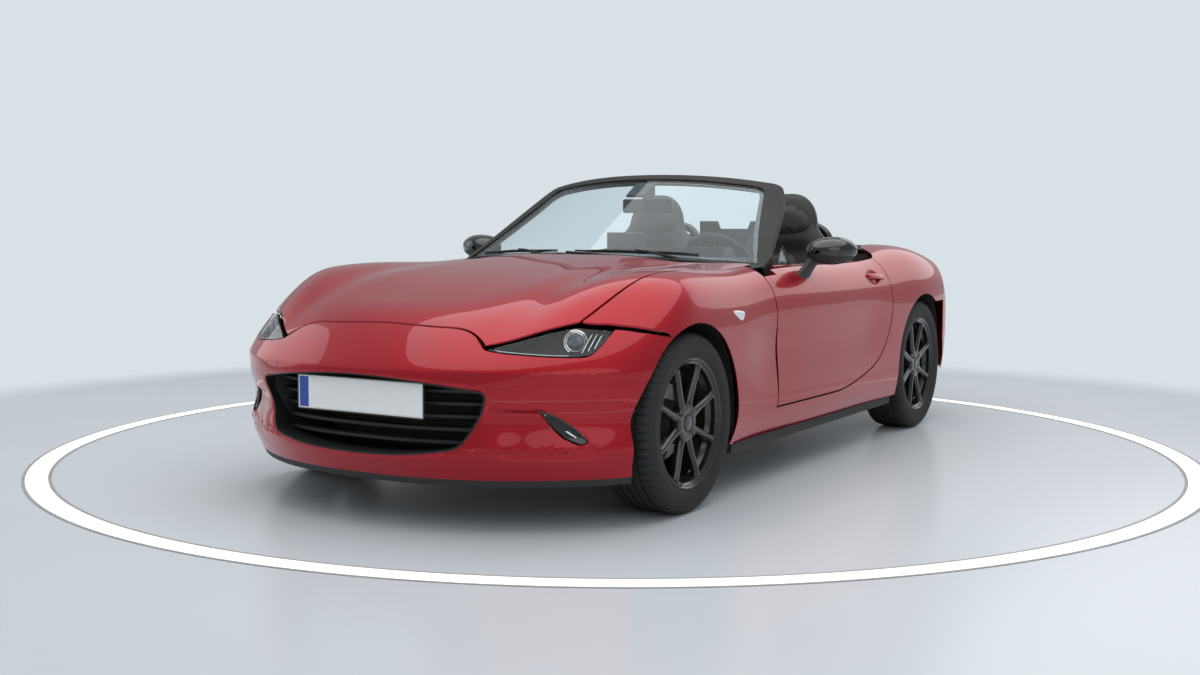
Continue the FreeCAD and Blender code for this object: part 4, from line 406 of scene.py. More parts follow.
def hood_cloth():
    """Twill of the folded top."""
    r = Recipe("hood_cloth")
    x, y, z = r.parts(r.place())
    warp = (x * 2600.0 + y * 900.0).sine()
    weft = (y * 2600.0 - z * 900.0).sine()
    cloud = r.noise(11.0, 4.0)
    colour = r.mix(cloud, (0.009, 0.009, 0.010, 1), (0.020, 0.020, 0.022, 1))
    return r.finish(r.surface(Base_Color=colour, Roughness=0.88, Sheen_Weight=0.25, Sheen_Roughness=0.4,
                              Normal=r.relief(warp * weft, 0.0004, 0.6)))


def clear_glass(name, tint, mirrored):
    """Tinted pane: seen through, with reflections that rise towards the edge of sight."""
    r = Recipe(name)
    through = r.node("ShaderNodeBsdfTransparent", {}, {"Color": tone(tint)})
    gloss = r.node("ShaderNodeBsdfGlossy", {}, {"Color": (1, 1, 1, 1), "Roughness": 0.0})
    facing = r.node("ShaderNodeLayerWeight", {}, {"Blend": 0.5}, "Facing")
    share = (facing ** 5.0) * 0.7 + (0.03 + mirrored)
    return r.finish(r.node("ShaderNodeMixShader", {}, {0: share, 1: through, 2: gloss}))


def mirror_glass():
    r = Recipe("mirror_glass")
    smear = r.noise(25.0, 3.0)
    return r.finish(r.surface(Base_Color=(0.82, 0.84, 0.86, 1), Metallic=1.0, Roughness=0.015 + smear * 0.02))


def plate_face():
    """Blank white plate with a plain blue band at its end and a black rim line."""
    r = Recipe("plate_face")
    _, y, z = r.parts(r.place())
    half = PLATE_HALF * MM
    band = y < -(half - 0.045)
    rim = ((y.abs() > (half - 0.006)) + ((z - PLATE_Z * MM).abs() > 0.0495)).least(1.0)
    grime = r.noise(40.0, 3.0)
    white = r.mix(grime, (0.78, 0.79, 0.80, 1), (0.86, 0.87, 0.88, 1))
    face = r.mix(band, white, (0.005, 0.05, 0.36, 1))
    face = r.mix(rim, face, (0.62, 0.63, 0.64, 1))
    return r.finish(r.surface(Base_Color=face, Roughness=0.28 + grime * 0.1, Coat_Weight=0.3))


def ribbed_lens(name, colour):
    """Coloured lamp lens with fine ribs inside."""
    r = Recipe(name)
    _, y, z = r.parts(r.place())
    ribs = (z * 1500.0).sine() * (y * 1500.0).sine()
    colour = r.mix(r.noise(30.0), tone(colour, 0.85), tone(colour, 1.2))
    return r.finish(r.surface(Base_Color=colour, Roughness=0.12, Coat_Weight=1.0, Coat_Roughness=0.02,
                              Normal=r.relief(ribs, 0.0003, 0.25)))


def fins():
    """Radiator core: fine upright fins."""
    r = Recipe("radiator_fins")
    _, y, z = r.parts(r.place())
    wave = (y * 3000.0).sine()
    rows = (z * 700.0).sine()
    colour = r.mix(wave * 0.5 + 0.5, (0.015, 0.015, 0.016, 1), (0.07, 0.07, 0.072, 1))
    return r.finish(r.surface(Base_Color=colour, Metallic=0.6, Roughness=0.5,
                              Normal=r.relief(wave + rows, 0.001, 0.6)))


# Finishes that differ only in a few values: their maker, then what it takes
NAMED = {
    "gloss_black": (gloss_black, 0.008),
    "seam_black": (gloss_black, 0.004),
    "band_black": (gloss_black, 0.004),
    "dial_black": (gloss_black, 0.006),
    "screen_black": (gloss_black, 0.004),
    "grained_plastic": (grained_plastic, 0.022, 900.0),
    "satin_black": (grained_plastic, 0.018, 1500.0),
    "dash_skin": (grained_plastic, 0.020, 500.0),
    "door_lining": (grained_plastic, 0.020, 500.0),
    "liner_plastic": (grained_plastic, 0.016, 300.0),
    "lamp_dark": (grained_plastic, 0.006, 3000.0),
    "frame_black": (grained_plastic, 0.010, 2400.0),
    "grille_plastic": (grained_plastic, 0.012, 1200.0),
    "ring_joint": (grained_plastic, 0.30, 300.0),
    "bright_metal": (bright_metal, 0.75, 0.16),
    "satin_metal": (bright_metal, 0.42, 0.3),
    "steel_pipe": (bright_metal, 0.42, 0.3),
    "lamp_chrome": (bright_metal, 0.72, 0.1),
    "core_metal": (bright_metal, 0.35, 0.2),
    "cast_metal": (cast_metal, 0.10),
    "engine_casting": (cast_metal, 0.16),
    "nut_steel": (cast_metal, 0.16),
    "hat_iron": (cast_metal, 0.06),
    "suspension_iron": (cast_metal, 0.05),
    "black_leather": (black_leather, 0.016),
    "gaiter_hide": (black_leather, 0.020),
    "screen_glass": (clear_glass, (0.90, 0.955, 0.97), 0.0),
    "lamp_glass": (clear_glass, (0.93, 0.95, 0.96), -0.015),
    "dome_glass": (clear_glass, (0.80, 0.84, 0.88), 0.06),
    "red_lens": (ribbed_lens, (0.34, 0.006, 0.008)),
    "amber_lens": (ribbed_lens, (0.50, 0.10, 0.004)),
}


def named(name):
    """The material of a finish in the list."""
    maker, *values = NAMED[name]
    return finish(maker, name, *values)


# The body's form in numbers, the same as in its drawing, for many points at once

def spline(points):
    """Natural cubic through the points, carried on in straight lines past its ends."""
    knots = np.array(sorted(points), float)
    xs = knots[:, 0]
    ys = knots[:, 1]
    step = np.diff(xs)
    count = len(xs)
    system = np.eye(count)
    target = np.zeros(count)
    for i in range(1, count - 1):
        system[i, i - 1:i + 2] = step[i - 1], 2 * (step[i - 1] + step[i]), step[i]
        target[i] = 6 * ((ys[i + 1] - ys[i]) / step[i] - (ys[i] - ys[i - 1]) / step[i - 1])
    bend = np.linalg.solve(system, target)
    first = (ys[1] - ys[0]) / step[0] - step[0] * bend[1] / 6
    last = (ys[-1] - ys[-2]) / step[-1] + step[-1] * bend[-2] / 6

    def value(x):
        x = np.asarray(x, float)
        i = np.clip(np.searchsorted(xs, x) - 1, 0, count - 2)
        a = (xs[i + 1] - x) / step[i]
        b = 1 - a
        curve = ((a ** 3 - a) * bend[i] + (b ** 3 - b) * bend[i + 1]) * step[i] ** 2 / 6
        inner = a * ys[i] + b * ys[i + 1] + curve
        inner = np.where(x < xs[0], ys[0] + first * (x - xs[0]), inner)
        return np.where(x > xs[-1], ys[-1] + last * (x - xs[-1]), inner)

    return value


def merge(a, b, width):
    """The larger of two values, with a smooth change over where they are within a width."""
    near = np.maximum(width - np.abs(a - b), 0.0) / width
    return np.maximum(a, b) + near ** 3 * width / 6


def bump(distance, width):
    return np.exp(-(distance / width) ** 2)


def ramp(value, low, high):
    s = np.clip((value - low) / (high - low), 0.0, 1.0)
    return s * s * s * (s * (s * 6 - 15) + 10)


centre_height = spline([
    (NOSE + 60, 470), (NOSE - 57, 560), (NOSE - 157, 632), (FRONT_AXLE + 362, 706),
    (FRONT_AXLE + 162, 753), (FRONT_AXLE - 38, 787), (FRONT_AXLE - 238, 812), (FRONT_AXLE - 438, 830),
    (FRONT_AXLE - 638, 842), (FRONT_AXLE - 938, 850), (REAR_AXLE + 1072, 855), (REAR_AXLE + 672, 856),
    (REAR_AXLE + 372, 862), (REAR_AXLE + 72, 866), (REAR_AXLE - 228, 862), (REAR_AXLE - 528, 850),
    (REAR_AXLE - 778, 832), (TAIL - 40, 806)])
crest_height = spline([
    (NOSE + 60, 420), (NOSE - 107, 560), (FRONT_AXLE + 462, 655), (FRONT_AXLE + 262, 745),
    (FRONT_AXLE + 62, 790), (FRONT_AXLE - 138, 804), (FRONT_AXLE - 338, 802), (FRONT_AXLE - 538, 800),
    (FRONT_AXLE - 738, 808), (FRONT_AXLE - 1038, 815), (REAR_AXLE + 872, 815), (REAR_AXLE + 472, 826),
    (REAR_AXLE + 222, 852), (REAR_AXLE - 28, 860), (REAR_AXLE - 278, 832), (REAR_AXLE - 528, 782),
    (REAR_AXLE - 778, 722), (TAIL - 40, 700)])
crest_inset = spline([
    (NOSE, 307), (FRONT_AXLE + 362, 217), (FRONT_AXLE, 167), (FRONT_AXLE - 438, 137),
    (FRONT_AXLE - 838, 132), (REAR_AXLE + 772, 132), (REAR_AXLE + 372, 152), (REAR_AXLE, 187),
    (REAR_AXLE - 428, 227), (TAIL, 287)])
side_inset = spline([
    (NOSE, 77), (FRONT_AXLE + 562, 45), (FRONT_AXLE + 362, 22), (FRONT_AXLE, 3),
    (FRONT_AXLE - 288, 15), (FRONT_AXLE - 538, 24), (FRONT_AXLE - 938, 21), (REAR_AXLE + 972, 19),
    (REAR_AXLE + 572, 17), (REAR_AXLE + 272, 9), (REAR_AXLE, 0), (REAR_AXLE - 328, 19),
    (REAR_AXLE - 628, 72), (TAIL, 162)])


def top_height(x, y):
    across = np.abs(y)
    share = ramp(across / (HALF - crest_inset(x)), 0.15, 1.0)
    z = centre_height(x) * (1 - share) + crest_height(x) * share
    along = ramp(x, FRONT_AXLE - 738, FRONT_AXLE - 338) * (1 - ramp(x, NOSE - 307, NOSE - 57))
    return z - 14 * along * bump(across - (HALF - 397), 90)


def side_width(x, z):
    width = HALF - side_inset(x)
    width = width - 70 * (np.maximum(z - 560, 0) / 300) ** 2
    width = width - 30 * (np.maximum(330 - z, 0) / 150) ** 2
    door = ramp(x, REAR_AXLE + 272, REAR_AXLE + 772) * (1 - ramp(x, FRONT_AXLE - 738, FRONT_AXLE - 288))
    return width - 16 * door * bump(z - 500, 120)


def front_face(y, z):
    across = np.abs(y)
    x = NOSE + NOSE_ROUNDING - 300 * (across / 800) ** 2.6 - 28 * (across / 500) ** 2
    x = x - 30 * bump(z - 350, 70)
    x = x - 0.36 * np.maximum(z - 500, 0) ** 1.2
    return x - 0.55 * np.maximum(260 - z, 0)


def rear_face(y, z):
    across = np.abs(y)
    x = TAIL + 330 * (across / 800) ** 2.6 + 20 * (across / 500) ** 2
    return x + 0.25 * np.maximum(z - 560, 0) + 0.35 * np.maximum(420 - z, 0)


def outside(p):
    """Below nought inside the painted body, for rows of points."""
    x, y, z = p.T
    g = merge(z - top_height(x, y), np.abs(y) - side_width(x, z), 230.0)
    g = merge(g, x - front_face(y, z), 150.0)
    return merge(g, rear_face(y, z) - x, 120.0)


def rise_of(value, p, step=0.5):
    """Slope of a value of the form at each point, along the three axes."""
    rises = [value(p + step * axis) - value(p - step * axis) for axis in np.eye(3)]
    return np.stack(rises, axis=1) / (2 * step)


def outward(p):
    """Unit direction out of the body at each point, and how fast the form's value grows along it."""
    slope = rise_of(outside, p)
    length = np.linalg.norm(slope, axis=1, keepdims=True)
    return slope / length, length[:, 0]


def onto_body(p, lift=0.0, rounds=4):
    """Moves points along the form's slope until they lie on it, or lift above it."""
    for _ in range(rounds):
        way, rate = outward(p)
        p = p - way * (outside(p) / rate)[:, None]
    way, rate = outward(p)
    return p + way * lift, way


# Making pieces

CREASE = 35.0


def add_object(name, mesh, *materials):
    """An object of its own for a mesh, in the scene's collection."""
    piece = bpy.data.objects.new(name, mesh)
    bpy.context.scene.collection.objects.link(piece)
    for material in materials:
        mesh.materials.append(material)
    return piece


def crease(mesh, angle):
    """Turns the faces outwards and smooth, with hard edges where they meet at more than an angle."""
    made = bmesh.new()
    made.from_mesh(mesh)
    bmesh.ops.recalc_face_normals(made, faces=made.faces)
    for face in made.faces:
        face.smooth = True
    for edge in made.edges:
        if len(edge.link_faces) == 2 and edge.calc_face_angle(0) > math.radians(angle):
            edge.smooth = False
    made.to_mesh(mesh)
    made.free()


class Build:
    """Points and faces of one piece in millimetres, gathered part by part."""

    def __init__(self):
        self.verts = []
        self.faces = []

    def add(self, verts, faces):
        start = len(self.verts)
        self.verts += [tuple(float(c) for c in v) for v in verts]
        self.faces += [tuple(start + int(i) for i in f) for f in faces]
        return self

    def loft(self, rings, caps=(True, True)):
        """Skin over closed rings of as many points each."""
        count = len(rings[0])
        faces = grid_faces(len(rings), count, wrap=True)
        if caps[0]:
            faces.append(tuple(range(count))[::-1])
        if caps[1]:
            faces.append(tuple(range((len(rings) - 1) * count, len(rings) * count)))
        return self.add([p for ring in rings for p in ring], faces)

    def lathe(self, profile, centre, axis=(0, 1, 0), steps=48, closed=False):
        """Profile of (radius, distance along the axis) turned about the axis."""
        axis = np.array(axis, float) / np.linalg.norm(axis)
        side = np.cross(axis, (0, 0, 1) if abs(axis[2]) < 0.9 else (1, 0, 0))
        side = side / np.linalg.norm(side)
        other = np.cross(axis, side)
        rings = []
        for turn in np.arange(steps) * 2 * math.pi / steps:
            way = side * math.cos(turn) + other * math.sin(turn)
            rings.append([np.array(centre, float) + way * r + axis * h for r, h in profile])
        faces = grid_faces(steps, len(profile), wrap=closed, ring=True)
        return self.add([p for ring in rings for p in ring], faces)

    def tube(self, points, radii, sides=12, flat=1.0):
        """Bar along points; its section may be flattened and its radius may change."""
        points = np.array(points, float)
        radii = np.full(len(points), radii, float) if np.isscalar(radii) else np.array(radii, float)
        along = np.gradient(points, axis=0)
        along = along / np.linalg.norm(along, axis=1, keepdims=True)
        side = np.cross(along[0], (0, 0, 1) if abs(along[0][2]) < 0.9 else (1, 0, 0))
        rings = []
        for point, way, radius in zip(points, along, radii):
            side = side - way * (side @ way)
            side = side / np.linalg.norm(side)
            other = np.cross(way, side)
            turns = np.arange(sides) * 2 * math.pi / sides
            rings.append([point + radius * (side * math.cos(t) * flat + other * math.sin(t)) for t in turns])
        return self.loft(rings)

    def block(self, low, high, chamfer=2.0):
        """Box with chamfered upright and level edges."""
        (x0, y0, z0), (x1, y1, z1) = low, high
        c = chamfer
        rings = []
        for z, inset in ((z0, c), (z0 + c, 0), (z1 - c, 0), (z1, c)):
            a, b = x0 + inset, x1 - inset
            d, e = y0 + inset, y1 - inset
            rings.append([(a + c, d, z), (b - c, d, z), (b, d + c, z), (b, e - c, z),
                          (b - c, e, z), (a + c, e, z), (a, e - c, z), (a, d + c, z)])
        return self.loft(rings)

    def sheet(self, outer, inner):
        """Closed shell between two grids of points."""
        outer = np.array(outer, float)
        inner = np.array(inner, float)
        rows, cols = outer.shape[:2]
        size = rows * cols
        faces = grid_faces(rows, cols)
        faces += [tuple(size + i for i in f[::-1]) for f in grid_faces(rows, cols)]
        rim = list(range(cols)) + [i * cols + cols - 1 for i in range(1, rows)]
        rim += [(rows - 1) * cols + j for j in range(cols - 2, -1, -1)]
        rim += [i * cols for i in range(rows - 2, 0, -1)]
        for a, b in zip(rim, rim[1:] + rim[:1]):
            faces.append((a, size + a, size + b, b))
        return self.add(np.concatenate([outer.reshape(-1, 3), inner.reshape(-1, 3)]), faces)

    def other_side(self):
        made = Build()
        made.verts = [(x, -y, z) for x, y, z in self.verts]
        made.faces = [f[::-1] for f in self.faces]
        return made

    def piece(self, name, material, slot, body=ROOT, angle=CREASE):
        """The gathered part as a piece in the scene that rides on its body."""
        mesh = bpy.data.meshes.new(name)
        mesh.from_pydata([tuple(c * MM for c in v) for v in self.verts], [], self.faces)
        mesh.validate()
        made = add_object(name, mesh, material)
        crease(mesh, angle)
        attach(made, body)
        return made


def grid_faces(rows, cols, wrap=False, ring=False):
    """Four-sided faces of a grid; wrap joins its last column to its first, and ring its last row."""
    faces = []
    for i in range(rows if ring else rows - 1):
        here = i * cols
        there = (i + 1) % rows * cols
        for j in range(cols if wrap else cols - 1):
            k = (j + 1) % cols
            faces.append((here + j, here + k, there + k, there + j))
    return faces


def find_skin(place, shape, inner, outer, depth):
    """Halves the way between a value inside and one outside the skin, for many places at once."""
    near = np.full(shape, inner)
    far = np.full(shape, outer)
    for _ in range(26):
        middle = (near + far) / 2
        out = outside(place(middle).reshape(-1, 3)).reshape(shape) > -depth
        far = np.where(out, middle, far)
        near = np.where(out, near, middle)
    return place(near)


def cast_x(y, z, depth=0.0, forward=True):
    """Points under the nose or tail skin at a depth, for places seen from the front."""
    y = np.asarray(y, float)
    z = np.asarray(z, float)
    ends = (1400.0, 2080.0) if forward else (-1300.0, -2080.0)
    return find_skin(lambda x: np.stack([x, y, z], axis=-1), y.shape, *ends, depth)


def cast_y(x, z, depth=0.0):
    """Points under the left flank at a depth, for places seen from the side."""
    x = np.asarray(x, float)
    z = np.asarray(z, float)
    return find_skin(lambda y: np.stack([x, y, z], axis=-1), x.shape, 400.0, 950.0, depth)


def lifted(grid, lift):
    """Points of a grid moved out of the body, or in for a lift below nought."""
    grid = np.asarray(grid, float)
    way, _ = outward(grid.reshape(-1, 3))
    return grid + way.reshape(grid.shape) * np.asarray(lift)[..., None]


def screen_at(across, up, under=0.0):
    """Points of the curved glass from distances across and up its slope."""
    across = np.asarray(across, float)
    up = np.asarray(up, float)
    slope = np.array([-math.cos(SCREEN_RAKE), 0, math.sin(SCREEN_RAKE)])
    normal = np.array([math.sin(SCREEN_RAKE), 0, math.cos(SCREEN_RAKE)])
    bow = (2.1e-4 + 1.0e-4 * up / SCREEN_LENGTH) * across ** 2 + under
    foot = [np.full(across.shape, SCREEN_BASE_X), across, np.full(across.shape, SCREEN_BASE_Z)]
    return np.stack(foot, axis=-1) + up[..., None] * slope - bow[..., None] * normal


def superellipse(half_a, half_b, power=2.6, steps=40):
    """Closed section between an ellipse and a rectangle."""
    turns = np.arange(steps) * 2 * math.pi / steps
    c = np.cos(turns)
    s = np.sin(turns)
    a = half_a * np.sign(c) * np.abs(c) ** (2 / power)
    b = half_b * np.sign(s) * np.abs(s) ** (2 / power)
    return np.stack([a, b], axis=1)


def closing(share, margin, power):
    """Narrows a row of sections to nearly nothing at both ends of a share from 0 to 1."""
    return math.sin(math.pi * min(max(share, margin), 1 - margin)) ** power


def on_root(_side):
    return ROOT


def on_door(side):
    return BODY_OF["door_" + side]


def each_side(name, build, material, slot, body_of=on_root):
    """The left piece and its mirror image; body_of gives the body for each side."""
    builds = {"left": build, "right": build.other_side()}
    return [builds[side].piece(f"{name}_{side}", material, slot, body_of(side)) for side, _ in SIDES]


def outline_distance(y, z, outline):
    """Distance of points from a closed outline of straight runs, seen from the front."""
    best = np.full(len(y), 1e9)
    for (y0, z0), (y1, z1) in zip(outline, outline[1:] + outline[:1]):
        run = np.array([y1 - y0, z1 - z0], float)
        share = np.clip(((y - y0) * run[0] + (z - z0) * run[1]) / (run @ run), 0, 1)
        best = np.minimum(best, np.hypot(y - y0 - share * run[0], z - z0 - share * run[1]))
    return best


def smooth_outline(points, count=8):
    """A closed run of points rounded between the given ones."""
    rounded = []
    total = len(points)
    for i in range(total):
        p0, p1, p2, p3 = (np.array(points[(i + k) % total], float) for k in (-1, 0, 1, 2))
        for t in np.arange(count) / count:
            rounded.append(tuple(0.5 * (2 * p1 + (p2 - p0) * t + (2 * p0 - 5 * p1 + 4 * p2 - p3) * t ** 2
                                        + (3 * p1 - p0 - 3 * p2 + p3) * t ** 3)))
    return rounded


MOUTH = [(0, 484), (289, 467), (435, 447), (459, 431), (455, 408), (414, 324), (393, 285), (352, 260),
         (240, 243), (0, 232)]
MOUTH_EDGE = smooth_outline(MOUTH + [(-y, z) for y, z in MOUTH[-2:0:-1]], 4)
SLOT = [(588, 386), (630, 366), (675, 330), (713, 290), (700, 279), (655, 300), (618, 338)]


def bumper_relief(p):
    """How far the front bumper's skin is pressed in: rolled mouth and the scoop under each running lamp."""
    _, y, z = p.T
    across = np.abs(y)
    edge = outline_distance(y, z, MOUTH_EDGE)
    rolled = 5.0 * np.clip(1 - edge / 15.0, 0, 1) ** 2
    top = np.interp(across, [440, 600, 655, 715, 760], [392, 388, 318, 284, 262])
    scoop = ramp(across, 425, 560) * (1 - ramp(across, 716, 742))
    scoop = scoop * ramp(z, 222, 262) * (1 - ramp(z, top - 16, top + 3))
    slot = outline_distance(across, z, SLOT)
    return rolled + SCOOP * scoop + 3.0 * np.clip(1 - slot / 9.0, 0, 1) ** 2


def door_relief(p):
    """Hand recess behind the door handle."""
    x, _, z = p.T
    away = np.hypot((x - HANDLE_X - 22) / 80.0, (z - HANDLE_Z) / 37.0)
    return 15.0 * (1 - ramp(away, 0.35, 1.0)) * (z > 600)


RELIEF = {"front_bumper": bumper_relief, "door_left": door_relief, "door_right": door_relief}


def fineness(node, middle, longest):
    """Longest edge wanted round points of a panel."""
    wanted = np.full(len(middle), longest)
    x, y, z = middle.T
    if node == "front_bumper":
        near = outline_distance(y, z, MOUTH_EDGE) < 24
        scoop = (np.abs(y) > 410) & (np.abs(y) < 770) & (z > 205) & (z < 410)
        wanted[scoop] = 13.0
        wanted[near] = 9.0
    if node.startswith("door"):
        wanted[np.hypot((x - HANDLE_X - 22) / 95.0, (z - HANDLE_Z) / 50.0) < 1] = 7.0
    return wanted


def split_edges(mesh, points, on_skin, node, longest):
    """Divides the skin's long edges once; true while there were any."""
    for i, vert in enumerate(mesh.verts):
        vert.index = i
    edges = [e for e in mesh.edges if on_skin[e.verts[0].index] and on_skin[e.verts[1].index]]
    ends = np.array([[e.verts[0].index, e.verts[1].index] for e in edges])
    start = points[ends[:, 0]]
    end = points[ends[:, 1]]
    wanted = fineness(node, (start + end) / 2, longest)
    long_edges = [edges[i] for i in np.flatnonzero(np.linalg.norm(start - end, axis=1) > wanted)]
    if not long_edges:
        return False
    bmesh.ops.subdivide_edges(mesh, edges=long_edges, cuts=1)
    bmesh.ops.triangulate(mesh, faces=[f for f in mesh.faces if len(f.verts) > 3])
    return True


def skin_limit(node):
    """How far under the form a panel's outer face may lie; the bumper's chin is drawn flatter than it."""
    return CHIN_BELOW if node == "front_bumper" else SKIN_BELOW


def lies_on_skin(value, node):
    """Whether points with these values of the form belong to a panel's outer face."""
    return (value > -skin_limit(node)) & (value < SKIN_ABOVE)


def panel_from(node, material, longest=42.0, others=()):
    """Smooth skin over a painted solid: its faces are divided, laid on the form and shaded by its slope."""
    source = frame["nodes"][node]
    mesh = bmesh.new()
    mesh.from_mesh(source.data)
    bmesh.ops.remove_doubles(mesh, verts=mesh.verts, dist=2e-5)
    for _ in range(8):
        points = np.array([v.co for v in mesh.verts]) / MM
        if not split_edges(mesh, points, lies_on_skin(outside(points), node), node, longest):
            break
    points = np.array([v.co for v in mesh.verts]) / MM
    value = outside(points)
    on_skin = lies_on_skin(value, node)
    laid, way = onto_body(points)
    points[on_skin] = laid[on_skin]
    relief = RELIEF.get(node)
    if relief:
        sheet = value > -SKIN - 1.5
        points[sheet] -= way[sheet] * relief(points[sheet])[:, None]
        way = relief_slope(points, way, relief)
    for vert, point in zip(mesh.verts, points):
        vert.co = Vector(point * MM)
    for face in mesh.faces:
        face.smooth = True
    mesh.normal_update()
    data = bpy.data.meshes.new(node + "_skin")
    mesh.to_mesh(data)
    mesh.free()
    inner = (value <= -skin_limit(node)) & (value > -SKIN - 2.5)
    shade_by_form(data, way, on_skin, inner)
    piece = add_object(node + "_skin", data, material, *others)
    if others:
        line_inner_faces(data)
    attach(piece, BODY_OF[node])
    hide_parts(node)
    return piece


def line_inner_faces(data):
    """Gives the second material to a door's faces that look into the cabin, below its painted shelf."""
    middle = np.array([p.center for p in data.polygons]) / MM
    normal = np.array([p.normal for p in data.polygons])
    inwards = normal[:, 1] * np.sign(middle[:, 1]) < -0.5
    deep = outside(middle) < -40
    for i in np.flatnonzero(inwards & deep & (middle[:, 2] < 768)):
        data.polygons[i].material_index = 1


def relief_slope(points, way, relief):
    """Outward directions of a skin that is pressed in by a relief."""
    slope = rise_of(relief, points)
    slope -= way * np.einsum("ij,ij->i", slope, way)[:, None]
    bent = way + slope
    return bent / np.linalg.norm(bent, axis=1, keepdims=True)


def shade_by_form(data, way, on_skin, inner):
    """Sets corner normals: the form's slope on the outer skin and its back, flat on the cut edges."""
    face_normals = np.array([p.normal for p in data.polygons])
    corners = np.array([l.vertex_index for l in data.loops])
    owners = np.repeat(np.arange(len(data.polygons)), [p.loop_total for p in data.polygons])
    slopes = way[corners]
    faces = face_normals[owners]
    agree = np.einsum("ij,ij->i", slopes, faces)
    skin_all = np.ones(len(data.polygons), bool)
    back_all = np.ones(len(data.polygons), bool)
    np.logical_and.at(skin_all, owners, on_skin[corners])
    np.logical_and.at(back_all, owners, inner[corners])
    normals = faces.copy()
    outer = skin_all[owners] & (agree > 0.3)
    back = back_all[owners] & (agree < -0.3)
    normals[outer] = slopes[outer]
    normals[back] = -slopes[back]
    data.normals_split_custom_set([tuple(n) for n in normals])


# Groups of sizes and colours that a user would change

class CarColours(bpy.types.PropertyGroup):
    paint: bpy.props.FloatVectorProperty(
        name="Paint", description="Colour of the painted panels", subtype="COLOR", size=3, min=0, max=1,
        default=(0.37, 0.003, 0.012))
    floor: bpy.props.FloatVectorProperty(
        name="Studio floor", description="Colour of the floor", subtype="COLOR", size=3, min=0, max=1,
        default=(0.60, 0.645, 0.68))
    backdrop: bpy.props.FloatVectorProperty(
        name="Backdrop", description="Colour behind the car", subtype="COLOR", size=3, min=0, max=1,
        default=(0.69, 0.755, 0.79))


class CarSizes(bpy.types.PropertyGroup):
    groove: bpy.props.FloatProperty(
        name="Tread depth", description="Depth of the tyres' main grooves", default=0.0065, min=0.001,
        max=0.012, unit="LENGTH")
    edge: bpy.props.FloatProperty(
        name="Panel edge", description="Longest edge left in a painted skin", default=0.042, min=0.01,
        max=0.2, unit="LENGTH")


